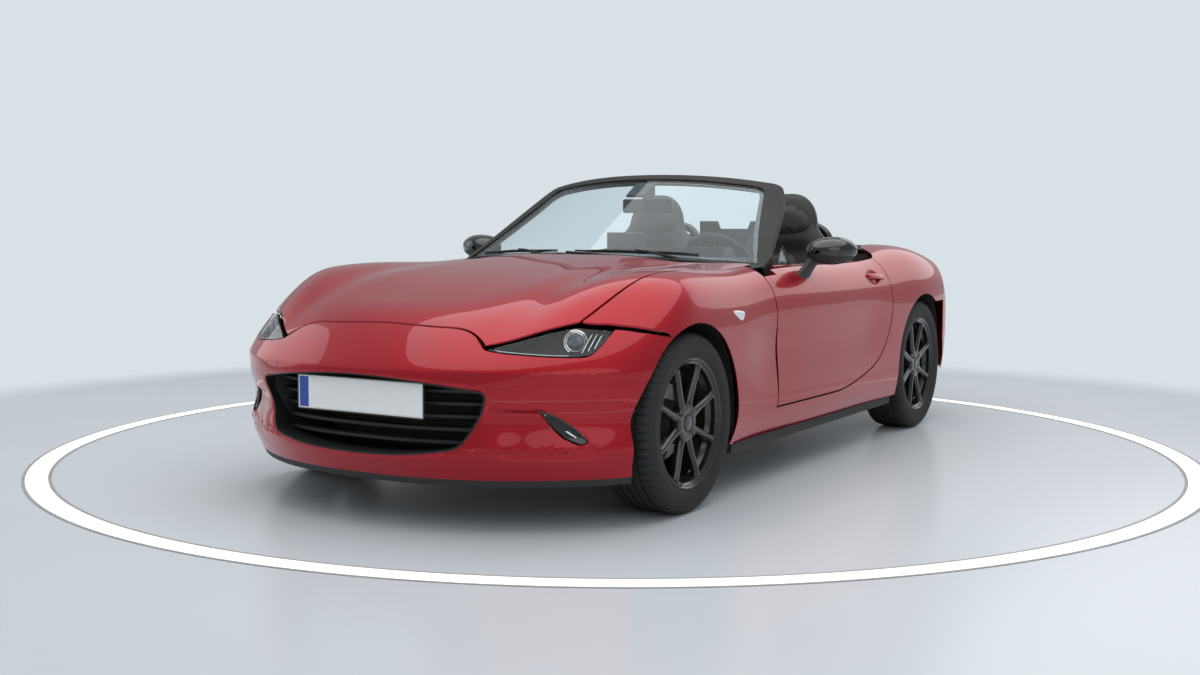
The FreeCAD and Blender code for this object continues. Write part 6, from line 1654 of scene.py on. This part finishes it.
class CAR_OT_windscreen(bpy.types.Operator):
    """Printed band, seal, wiper blades and the mirror's glass"""

    bl_idname = "car.windscreen"
    bl_label = "Windscreen details"

    def execute(self, context):
        edge = smooth_outline(GLASS_EDGE, 5)
        wide = np.interp(np.array(edge)[:, 1], [0, 134, 600, 657], [34, 24, 20, 30])
        inner = inset_outline(edge, wide)
        outer = inset_outline(edge, 1.0)
        rings = [on_screen(ring, under) for ring, under in (
            (outer, 10.3), (inner, 10.3), (inner, 10.9), (outer, 10.9), (outer, 10.3))]
        band = Build().loft(rings, caps=(False, False))
        band.piece("glass_band", named("band_black"), "black_plastic")
        seal_points = on_screen(inset_outline(edge, 0.5), 3.2)
        seal = Build().tube(seal_points + seal_points[:1], 3.0, 8)
        seal.piece("glass_seal", finish(rubber), "black_plastic")
        self.wipers()
        self.mirror()
        return {"FINISHED"}

    def wipers(self):
        """Blades with their lips and arms, laid on the screen."""
        for name, start, end in (("left", 470, -50), ("right", -140, -590)):
            across = np.linspace(start, end, 24)
            up = np.interp(np.abs(across), [0, 250, 480, 686], [3, 20, 66, 134]) + 26
            share = np.linspace(0, 1, 24)
            thick = 2.2 + 3.0 * np.sin(math.pi * np.clip(share, 0.03, 0.97)) ** 0.5
            line = screen_at(across, up, -3.0)
            Build().tube(line, thick, 8).piece("wiper_blade_" + name, finish(rubber), "black_plastic")
            edge = screen_at(across, up - 2.0, 2.6)
            Build().tube(edge, 1.7, 6).piece("wiper_edge_" + name, finish(rubber), "black_plastic")
            middle = screen_at([start + (end - start) * 0.48], [up[11] + 2.0], -10.0)[0]
            foot = screen_at([start + 22.0], [up[0] - 66.0], 4.0)[0]
            knee = foot * 0.62 + middle * 0.38 + np.array([6.0, 0, 9.0])
            near = foot * 0.2 + middle * 0.8 + np.array([2.0, 0, 6.0])
            arm = Build().tube([foot, knee, near, middle], [8.0, 6.6, 4.6, 3.6], 10, 0.6)
            arm.piece("wiper_arm_" + name, named("satin_black"), "black_plastic")

    def mirror(self):
        """Glass and rim of the interior mirror, hung from a place on the screen."""
        foot = screen_at([0.0], [560.0], 10.3)[0]
        shape = superellipse(112, 25, 3.6, 60)
        rings = [[(foot[0] - 52 - out, a * share, foot[2] - 82 + b * share) for a, b in shape]
                 for share, out in ((0.02, 0.9), (0.5, 0.9), (0.97, 0.9), (1.0, 0.3), (1.0, -1.0))]
        Build().loft(rings).piece("inner_mirror_pane", finish(mirror_glass), "glass")
        rim = [(foot[0] - 52.2, a * 1.015, foot[2] - 82 + b * 1.05) for a, b in shape]
        Build().tube(rim + rim[:1], 1.6, 8).piece("inner_mirror_rim", named("gloss_black"), "black_plastic")


SEAT_BACK = [(150, 270, 400, 120), (118, 400, 440, 130), (72, 600, 440, 118), (30, 800, 424, 100),
             (4, 930, 392, 92), (-10, 1010, 330, 88), (-20, 1070, 290, 82), (-26, 1097, 190, 40)]
SEAT_PAD = [(130, 300, 380, 150), (260, 292, 450, 150), (460, 302, 460, 150), (600, 318, 450, 130),
            (650, 318, 400, 70)]
BACK_X = REAR_AXLE + 425.0
BACK_LEAN = math.radians(14)
HEAD_Z = 856.0
DISH = 26.0
PAD_VOXEL = 0.007
PAD_PRESSURE = 4.0
PAD_CAP = 0.009
PAD_FRAMES = 20


def at_row(rows, key, value):
    """A seat section's values where one of them, rising along the rows, has a given value."""
    known = np.array(rows, float)
    order = np.argsort(known[:, key])
    return [float(np.interp(value, known[order, key], known[order, i])) for i in range(4)]


def crown_section(wide, deep, dish, count=72):
    """Seat section: a rounded slab whose front, at +deep, is dished between two bolsters."""
    points = superellipse(wide / 2, deep / 2, 3.0, count)
    across = np.abs(points[:, 0]) / (wide / 2)
    front = points[:, 1] > 0
    hollow = dish * (1 - ramp(across, 0.46, 0.72))
    points[:, 1] = np.where(front, points[:, 1] - hollow, points[:, 1])
    return points


def back_point(z, across, out):
    """A place on the seat back: out is measured from the middle of its thickness."""
    px = at_row(SEAT_BACK, 1, z)[0]
    return (BACK_X + px + out * math.cos(BACK_LEAN), SEAT_Y + across, z + out * math.sin(BACK_LEAN))


def pad_point(x, across, out):
    pz = at_row(SEAT_PAD, 0, x)[1]
    return (BACK_X + x, SEAT_Y + across, pz + out)


def inflated(build, name, material):
    """Pad made of the closed form: remeshed, blown up a little by cloth simulation and held within a cap."""
    piece = build.piece(name, material, "leather")
    remesh = piece.modifiers.new("remesh", "REMESH")
    remesh.mode = "VOXEL"
    remesh.voxel_size = PAD_VOXEL
    baked(piece)
    rest = np.array([v.co for v in piece.data.vertices])
    cloth = piece.modifiers.new("cloth", "CLOTH")
    cloth.settings.use_pressure = True
    cloth.settings.uniform_pressure_force = PAD_PRESSURE
    cloth.settings.effector_weights.gravity = 0.0
    cloth.settings.quality = 4
    for number in range(1, PAD_FRAMES + 1):
        bpy.context.scene.frame_set(number)
    baked(piece)
    bpy.context.scene.frame_set(1)
    move = np.array([v.co for v in piece.data.vertices]) - rest
    length = np.maximum(np.linalg.norm(move, axis=1, keepdims=True), 1e-9)
    piece.data.vertices.foreach_set("co", (rest + move * np.minimum(1.0, PAD_CAP / length)).ravel())
    for face in piece.data.polygons:
        face.use_smooth = True
    return piece


def baked(piece):
    """Applies a piece's modifiers to its mesh."""
    graph = bpy.context.evaluated_depsgraph_get()
    mesh = bpy.data.meshes.new_from_object(piece.evaluated_get(graph))
    piece.modifiers.clear()
    old = piece.data
    piece.data = mesh
    bpy.data.meshes.remove(old)


def sewn(piece, depth_at):
    """Presses sewn channels into a pad along its normals, then divides it once."""
    smooth = piece.modifiers.new("fine", "SUBSURF")
    smooth.levels = 1
    smooth.render_levels = 1
    baked(piece)
    mesh = piece.data
    co = np.array([v.co for v in mesh.vertices])
    normals = np.array([v.normal for v in mesh.vertices])
    co = co - normals * depth_at(co / MM)[:, None] * MM
    mesh.vertices.foreach_set("co", co.ravel())
    mesh.update()
    return piece


def mirror_copy(piece, name, material):
    """The same pad on the other side of the car."""
    mesh = piece.data.copy()
    mesh.name = name
    for vert in mesh.vertices:
        vert.co.y = -vert.co.y
    mesh.flip_normals()
    mesh.materials.clear()
    made = add_object(name, mesh, material)
    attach(made, ROOT)
    return made


class CAR_OT_seats(bpy.types.Operator):
    """Seats: dished shells with bolsters, sewn pads and head pads"""

    bl_idname = "car.seats"
    bl_label = "Seats"

    def execute(self, context):
        hide = named("black_leather")
        shells = each_side("seat_shell", self.shell(), hide, "leather")
        for piece, (side, _) in zip(shells, SIDES):
            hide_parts("seat_" + side)
        for name, build, channels, material, fill in (
                ("seat_back_pad", self.back_pad(), self.back_channels,
                 finish(pierced_leather, "upright", "y", "z"), 0.55),
                ("seat_cushion_pad", self.cushion_pad(), self.cushion_channels,
                 finish(pierced_leather, "level", "x", "y"), 0.6),
                ("head_pad", self.head_pad(), self.head_channels, hide, 0.7)):
            pad = inflated(build, name + "_left", material)
            sewn(pad, channels)
            other = mirror_copy(pad, name + "_right", material)
        self.bolsters(hide)
        self.seams()
        return {"FINISHED"}

    def shell(self):
        """Back, cushion and runners, dished where the pads lie."""
        made = Build()
        rings = []
        head = HEAD_Z + 240 * np.sin(np.linspace(0, math.pi / 2, 30))
        for z in np.concatenate([np.linspace(268, 850, 36), head]):
            _, _, wide, deep = at_row(SEAT_BACK, 1, z)
            up = float(np.clip((z - HEAD_Z) / 240, 0, 0.9995))
            if z > HEAD_Z:
                wide = min(wide, 2 * (150 * (1 - up ** 3.2) ** (1 / 2.4) + 52 * (1 - ramp(up, 0, 0.45))))
            deep = deep * (1 - up ** 5) ** (1 / 2.2)
            dish = DISH * ramp(z, 330, 420) * (1 - ramp(z, 800, 900))
            rings.append([back_point(z, a, b) for a, b in crown_section(wide * 0.985, deep * 0.97, dish)])
        made.loft(rings)
        rings = []
        for x in np.concatenate([np.linspace(134, 620, 34), np.linspace(626, 650, 7)]):
            _, _, wide, deep = at_row(SEAT_PAD, 0, x)
            dish = DISH * ramp(x, 190, 260) * (1 - 0.75 * ramp(x, 560, 640))
            rings.append([pad_point(x, a, b) for a, b in crown_section(wide * 0.985, deep * 0.97, dish)])
        made.loft(rings)
        for y in (SEAT_Y - 150, SEAT_Y + 150):
            made.block((BACK_X + 170, y - 18, 156), (BACK_X + 560, y + 18, 230), 4)
        return made

    @staticmethod
    def pad(rows, key, place, reach, count, size, ends, front):
        """Pad along a seat's rows; size is its share of the width, its thickness and its squareness."""
        wider, thick, power = size
        rings = []
        for share in np.linspace(0, 1, count):
            value = reach[0] + (reach[1] - reach[0]) * share
            _, _, wide, deep = at_row(rows, key, value)
            close = closing(share, *ends)
            section = superellipse(wider * wide * close, thick * close, power, 44)
            rings.append([place(value, a, front(value, deep) + b) for a, b in section])
        return Build().loft(rings)

    def back_pad(self):
        return self.pad(SEAT_BACK, 1, back_point, (410, 820), 34, (0.262, 19, 3.2), (0.012, 0.22),
                        lambda z, deep: deep / 2 - DISH + 6)

    def cushion_pad(self):
        return self.pad(SEAT_PAD, 0, pad_point, (232, 620), 34, (0.262, 19, 3.2), (0.012, 0.22),
                        lambda x, deep: deep / 2 + (-DISH + 18 * ramp(x, 560, 640)) + 5)

    def head_pad(self):
        return self.pad(SEAT_BACK, 1, back_point, (888, 1038), 26, (0.34, 15, 2.8), (0.015, 0.35),
                        lambda z, deep: deep / 2 - 9)

    @staticmethod
    def back_channels(p):
        """Depth of the sewn channels at points on the back pad, in millimetres."""
        bow = 12 * ((p[:, 1] - SEAT_Y) / 110) ** 2
        return sum(4.2 * bump(p[:, 2] - (z - bow), 5.5) for z in (505, 590, 675, 755))

    @staticmethod
    def cushion_channels(p):
        bow = 12 * ((p[:, 1] - SEAT_Y) / 110) ** 2
        depth = sum(4.2 * bump(p[:, 0] - (BACK_X + x + bow), 5.5) for x in (320, 405, 490, 568))
        return depth * (p[:, 2] > 320)

    @staticmethod
    def head_channels(p):
        return 2.5 * bump(np.abs(p[:, 1] - SEAT_Y) - 70, 4.0)

    def bolsters(self, hide):
        """Side bolsters of back and cushion, with creases across them."""
        for name, rows, key, low, high, place in (("back", SEAT_BACK, 1, 380, 850, back_point),
                                                  ("cushion", SEAT_PAD, 0, 215, 632, pad_point)):
            made = Build()
            for sign in (-1, 1):
                rings = []
                for share in np.linspace(0, 1, 40):
                    value = low + (high - low) * share
                    _, _, wide, deep = at_row(rows, key, value)
                    close = closing(share, 0.01, 0.3)
                    pull = 2.2 * math.sin(share * 9 * math.pi) ** 8
                    rings.append([place(value, sign * wide * 0.385 + a, deep / 2 - 20 - pull + b)
                                  for a, b in superellipse(0.088 * wide * close, 23 * close, 2.3, 30)])
                made.loft(rings)
            for piece in each_side(f"{name}_bolsters", made, hide, "leather"):
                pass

    def seams(self):
        """Raised double stitching along the bolsters."""
        made = Build()
        for rows, key, low, high, place in ((SEAT_BACK, 1, 420, 812, back_point),
                                            (SEAT_PAD, 0, 240, 606, pad_point)):
            for sign in (-1, 1):
                line = []
                for value in np.arange(low, high, 5.0):
                    _, _, wide, deep = at_row(rows, key, value)
                    line.append(place(value, sign * wide * 0.332, deep / 2 - 3.0))
                for start, end in list(zip(line, line[1:]))[::2]:
                    made.tube([start, end], 0.7, 5)
        each_side("seat_stitches", made, finish(thread), "leather")


class CAR_OT_soft_top(bpy.types.Operator):
    """Folded soft top: stacked layers of cloth behind the hoops under a stiff front rail"""

    bl_idname = "car.soft_top"
    bl_label = "Folded soft top"

    def execute(self, context):
        for index, sizes in enumerate((
                (-1011, 182, 884, 21), (-1006, 184, 846, 20), (-1012, 180, 806, 22), (-1008, 182, 760, 26),
                (-1010, 178, 700, 34), (-1010, 172, 642, 30))):
            piece = self.layer(index, *sizes).piece(f"top_fold_{index + 1}", finish(hood_cloth), "fabric")
            if index == 0:
                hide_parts("soft_top")
        self.rail()
        return {"FINISHED"}

    def layer(self, index, middle, half, height, thick):
        """One layer across the car: its folds sag between the bows and draw in towards the ends."""
        rings = []
        for share in np.linspace(-1, 1, 73):
            across = 538 * share
            end = (1 - abs(share) ** 14) ** 0.5 if abs(share) < 1 else 0.02
            end = max(end, 0.04)
            sway = 3.2 * math.sin(share * 17 + index * 1.9) + 2.2 * math.sin(share * 31 + index * 0.7)
            drop = 30 * share ** 4 + 5.0 * math.sin(share * 11 + index * 2.3) ** 2
            ring = []
            for a, b in superellipse(half * (1 - 0.02 * abs(share)), thick * end, 2.3, 52):
                tip = a / half
                slope = 20 * (0.5 - 0.5 * tip)
                wave = 2.6 * math.sin(tip * 9 + share * 6 + index) + 1.6 * math.sin(tip * 21 - share * 9)
                ring.append((middle + a + sway * (1 - tip ** 2), across, height - slope - drop + b
                             + wave * (1 - abs(tip)) * end))
            rings.append(ring)
        return Build().loft(rings)

    def rail(self):
        """Front rail of the top, lying upside down on the stack."""
        rings = []
        for share in np.linspace(-1, 1, 49):
            across = 470 * share
            end = max((1 - abs(share) ** 10) ** 0.5, 0.08)
            section = superellipse(34 * end, 6.5 * end, 3.0, 28)
            x = -862 - 16 * share ** 2
            z = 904 - 22 * share ** 4
            rings.append([(x + a, across, z + b) for a, b in section])
        made = Build().loft(rings)
        made.piece("top_rail", named("satin_black"), "black_plastic")


STEERING_CENTRE = (76.0, SEAT_Y, 751.0)
STEERING_TILT = math.radians(22)
DIAL_X = 196.6
CONSOLE_Z = 385.3


def steering_point(side, up, near):
    """A place on the steering wheel: side to its left, up its face, near towards the driver."""
    way = np.array([math.cos(STEERING_TILT), 0, -math.sin(STEERING_TILT)])
    rise = np.array([math.sin(STEERING_TILT), 0, math.cos(STEERING_TILT)])
    return np.array(STEERING_CENTRE) + np.array([0, side, 0]) + rise * up - way * near


class CAR_OT_cabin(bpy.types.Operator):
    """Dials, vents, screen, controls and the details of the steering wheel and console"""

    bl_idname = "car.cabin"
    bl_label = "Cabin details"

    def execute(self, context):
        self.wheel()
        self.dials()
        self.vents()
        self.controls()
        self.console()
        self.pedals()
        return {"FINISHED"}

    def wheel(self):
        """Cover, accents, buttons and stitches of the steering wheel."""
        body = BODY_OF["steering_wheel"]
        cover = superellipse(66, 54, 2.5, 56)
        rings = [[steering_point(a * share, b * share - 4, near) for a, b in cover] for near, share in (
            (4, 0.96), (12, 1.0), (19, 0.97), (24, 0.86), (26, 0.6), (27, 0.25), (27.2, 0.03))]
        Build().loft(rings).piece("wheel_cover", named("dash_skin"), "black_plastic", body)
        accents = Build()
        buttons = Build()
        facing = steering_point(0, 0, 1) - steering_point(0, 0, 0)
        for sign in (-1, 1):
            for line, radii, flat in (
                    (((66, 8, 4), (104, 11, 2), (152, 13, 0)), [4.0, 5.0, 3.6], 1.4),
                    (((62, -12, 4), (104, -11, 2), (152, -8, 0)), [4.0, 5.0, 3.6], 1.4),
                    (((15, -54, 4), (13, -100, 1), (15, -152, 0)), [3.2, 3.6, 3.0], 1.2)):
                accents.tube([steering_point(sign * y, z, near) for y, z, near in line], radii, 12, flat)
            buttons.lathe([(0, 6), (9, 5.4), (12, 3.5), (12.6, 0), (12.6, -5)],
                          steering_point(sign * 86, 0, 3), facing, 32)
        accents.piece("wheel_accents", named("satin_metal"), "light_alloy", body)
        buttons.piece("wheel_buttons", named("gloss_black"), "black_plastic", body)
        stitches = Build()
        for turn in 2 * math.pi * np.arange(220) / 220:
            stitches.tube([steering_point(r * math.cos(t), r * math.sin(t), near)
                           for r, t, near in ((156, turn, 7.5), (157.6, turn + 0.012, 8.1))], 0.55, 4)
        stitches.piece("wheel_stitches", finish(thread), "leather", body)

    def dials(self):
        """Three round dials with their rims, marks and needles."""
        rims = Build()
        faces = Build()
        marks = Build()
        for dy, z, radius in ((0, 818, 36), (92, 811, 29), (-92, 811, 29)):
            centre = (DIAL_X, SEAT_Y + dy, z)
            rims.lathe([(radius - 1.5, 0.4), (radius, 3.8), (radius + 2.4, 4.2), (radius + 3.6, 2.4),
                        (radius + 3.8, -1)], centre, (-1, 0, 0), 56)
            faces.lathe([(0, 0.6), (radius, 0.6), (radius, -0.6)], centre, (-1, 0, 0), 48)
            for k in range(21):
                long = 0.80 if k % 5 else 0.72
                marks.tube(self.dial_line(centre, -30 + 12 * k, radius * long, radius * 0.93, 0.9), 0.6, 4)
            marks.tube(self.dial_line(centre, 222, 0, radius * 0.7, 1.8), [1.6, 0.5], 6)
        rims.piece("dial_rims", named("satin_metal"), "light_alloy")
        faces.piece("dial_faces", named("dial_black"), "black_plastic")
        marks.piece("dial_marks", finish(light_guide), "lamp")

    @staticmethod
    def dial_line(centre, degrees, inner, outer, proud):
        x, y, z = centre
        c, s = math.cos(math.radians(degrees)), math.sin(math.radians(degrees))
        return [(x - proud, y + c * reach, z + s * reach) for reach in (inner, outer)]

    def vents(self):
        """Four round vents with level slats."""
        rings = Build()
        slats = Build()
        way = np.array([-0.87, 0, 0.49])
        side = np.array([0.0, 1.0, 0.0])
        rise = np.cross(side, way)
        for y in (592, 118, -118, -592):
            centre = np.array([208.0, y, 777.0])
            rings.lathe([(30, -6), (31, 4), (34, 7), (38, 6.5), (40, 3), (40.5, -6)], centre, way, 48)
            for level in (-18, -6, 6, 18):
                reach = math.sqrt(31 ** 2 - level ** 2)
                middle = centre + rise * level
                slats.tube([middle - side * reach, middle + side * reach], 1.9, 6)
            slats.tube([centre - rise * 30 + way * 1.5, centre + rise * 30 + way * 1.5], 2.4, 6)
        rings.piece("vent_rings", named("gloss_black"), "black_plastic")
        slats.piece("vent_slats", named("satin_black"), "black_plastic")

    def controls(self):
        """Screen, heater panel with its knobs, and the column's stalks."""
        Build().block((231, -94, 822), (243, 94, 920), 4).piece(
            "centre_screen", named("screen_black"), "black_plastic")
        rim = [(230.6, a, 871 + b) for a, b in superellipse(91, 46, 9, 64)]
        Build().tube(rim + rim[:1], 0.9, 6).piece("screen_rim", named("satin_metal"), "light_alloy")
        Build().block((200, -98, 700), (216, 98, 752), 4).piece(
            "heater_panel", named("gloss_black"), "black_plastic")
        knobs = Build()
        for y in (-62, 0, 62):
            knobs.lathe([(0, 17), (13, 17), (16, 15), (17, 12), (18.5, 3), (20.5, 2), (21, 0)],
                        (200.4, y, 726), (-1, 0, 0), 40)
        knobs.piece("heater_knobs", named("satin_metal"), "light_alloy")
        stalks = Build()
        for sign in (-1, 1):
            start = steering_point(sign * 26, 10, -46)
            end = steering_point(sign * 138, 34, -40)
            stalks.tube([start, (start + end) / 2, end], [5.5, 6.0, 7.5], 12, 1.3)
        stalks.piece("column_stalks", named("satin_black"), "black_plastic")

    def console(self):
        """Gaiter, rings, grip of the parking brake and the arm pad."""
        lever = (BACK_X + 626, 0, CONSOLE_Z)
        upright = (0, 0, 1)
        boot = [(50, 64), (47, 78), (40, 92), (33, 99), (31, 107), (24, 114), (21, 122), (14, 130),
                (10.5, 138), (10, 146)]
        Build().lathe(boot, lever, upright, 48).piece("gear_gaiter", named("gaiter_hide"), "leather")
        ring = Build().lathe([(49, 60), (50, 66), (53, 67.5), (57, 66), (58, 60)], lever, upright, 56)
        ring.lathe([(23.4, -2.5), (24.4, -1.5), (24.4, 1.5), (23.4, 2.5)],
                   (BACK_X + 616, 0, CONSOLE_Z + 160), upright, 48)
        for x in (-300, -388):
            ring.lathe([(33, 81), (34.5, 86.5), (38.5, 87), (40, 82)], (x, 30, CONSOLE_Z), upright, 48)
        ring.piece("console_rings", named("satin_metal"), "light_alloy")
        start = np.array([BACK_X + 374, -62, CONSOLE_Z + 63 + 16])
        end = np.array([BACK_X + 540, -62, CONSOLE_Z + 105 + 18.5])
        radii = [9, 14.5, 15.8, 15.6, 15.2, 15.2, 15.4, 15.8, 16, 15.6, 14.4, 11]
        grip = Build().tube([start + (end - start) * t for t in np.linspace(0, 1, len(radii))], radii, 18)
        grip.piece("brake_grip", named("gaiter_hide"), "leather")
        rings = []
        for share in np.linspace(0, 1, 24):
            close = closing(share, 0.02, 0.25)
            x = BACK_X + 76 + 150 * share
            z = CONSOLE_Z + 91 + 3 * (1 - share)
            rings.append([(x, a, z + b) for a, b in superellipse(74 * close, 13 * close, 3, 36)])
        pad = Build().loft(rings).piece("arm_pad", named("black_leather"), "leather")

    def pedals(self):
        """Pedals on their arms."""
        pedals = Build()
        for y, z, wide, tall in ((262, 300, 24, 62), (352, 318, 36, 30), (430, 318, 32, 30)):
            plate = superellipse(wide, tall, 4, 28)
            pedals.loft([[(x + b * 0.35, y + a * share, z + b * share) for a, b in plate]
                         for x, share in ((516, 0.9), (512, 1.0), (506, 1.0), (503, 0.9))])
            pedals.tube([(518, y, z), (560, y, z + 90), (630, y, z + 190)], [7, 8, 9], 8)
        pedals.piece("pedals", named("satin_metal"), "steel")


class CAR_OT_rear(bpy.types.Operator):
    """Exhaust trims and the number plate's holder"""

    bl_idname = "car.rear"
    bl_label = "Exhaust trims and plate holder"

    def execute(self, context):
        tips = Build()
        for y in (-400, -320):
            tips.lathe([(27.2, -30), (27.6, 8), (29.0, 11.5), (31.8, 12), (33.4, 9.5), (33.6, 2), (32.6, -28),
                        (31.2, -46)], (TAIL + 74, y, 216), (-1, 0, 0), 56)
        tips.piece("exhaust_trims", named("bright_metal"), "light_alloy")
        holder = Build()
        x = PLATE_X - 1
        side = PLATE_HALF + 1.4
        for sign in (-1, 1):
            z = PLATE_Z + sign * 56.2
            holder.tube([(x, -PLATE_HALF - 1, z), (x, PLATE_HALF + 1, z)], 2.6, 8)
            holder.tube([(x, sign * side, PLATE_Z - 56.5), (x, sign * side, PLATE_Z + 56.5)], 2.6, 8)
        holder.piece("plate_holder", named("satin_black"), "black_plastic")
        return {"FINISHED"}


class CAR_OT_finishes(bpy.types.Operator):
    """Gives every carried-over solid its own finish"""

    bl_idname = "car.finishes"
    bl_label = "Finishes"

    def execute(self, context):
        for node, material in {
                "floor_pan": finish(cabin_floor),
                "front_structure": finish(underseal),
                "rear_structure": finish(underseal),
                "boot_tub": finish(underseal),
                "arch_liners": named("liner_plastic"),
                "lower_trims": named("grained_plastic"),
                "scuttle": named("grained_plastic"),
                "windscreen_frame": named("frame_black"),
                "windscreen_glass": named("screen_glass"),
                "grille": named("grille_plastic"),
                "radiator": finish(fins),
                "number_plate": finish(plate_face),
                "dashboard": named("dash_skin"),
                "centre_console": named("dash_skin"),
                "steering_wheel": named("black_leather"),
                "interior_mirror": named("grained_plastic"),
                "roll_hoops": named("gloss_black"),
                "engine_block": named("engine_casting"),
                "exhaust": named("steel_pipe"),
                "gearbox_shaft": named("cast_metal"),
                "front_suspension": named("suspension_iron"),
                "rear_suspension": named("suspension_iron"),
                "knuckle_front_left": named("suspension_iron"),
                "knuckle_front_right": named("suspension_iron")}.items():
            solid = frame["nodes"][node].data
            solid.materials.clear()
            solid.materials.append(material)
        return {"FINISHED"}


class CAR_PT_panel(bpy.types.Panel):
    """Lists the car's pieces in the sidebar"""

    bl_idname = "CAR_PT_panel"
    bl_label = "Open two-seat car"
    bl_space_type = "VIEW_3D"
    bl_region_type = "UI"
    bl_category = "Car"

    def draw(self, context):
        layout = self.layout
        for group in (context.scene.car_colours, context.scene.car_sizes):
            for key in group.__annotations__:
                layout.prop(group, key)
        for operator in OPERATORS:
            layout.operator(operator.bl_idname)


OPERATORS = (CAR_OT_stage, CAR_OT_panels, CAR_OT_wheels, CAR_OT_headlamps, CAR_OT_tail_lamps, CAR_OT_nose,
             CAR_OT_doors, CAR_OT_windscreen, CAR_OT_seats, CAR_OT_soft_top, CAR_OT_cabin, CAR_OT_rear,
             CAR_OT_finishes)
CLASSES = (CarColours, CarSizes) + OPERATORS + (CAR_PT_panel,)


def register():
    for made in CLASSES:
        bpy.utils.register_class(made)
    bpy.types.Scene.car_colours = bpy.props.PointerProperty(type=CarColours)
    bpy.types.Scene.car_sizes = bpy.props.PointerProperty(type=CarSizes)


def unregister():
    del bpy.types.Scene.car_sizes
    del bpy.types.Scene.car_colours
    for made in reversed(CLASSES):
        bpy.utils.unregister_class(made)


def main():
    register()
    for operator in OPERATORS:
        group, name = operator.bl_idname.split(".")
        getattr(getattr(bpy.ops, group), name)()


if __name__ == "__main__":
    main()
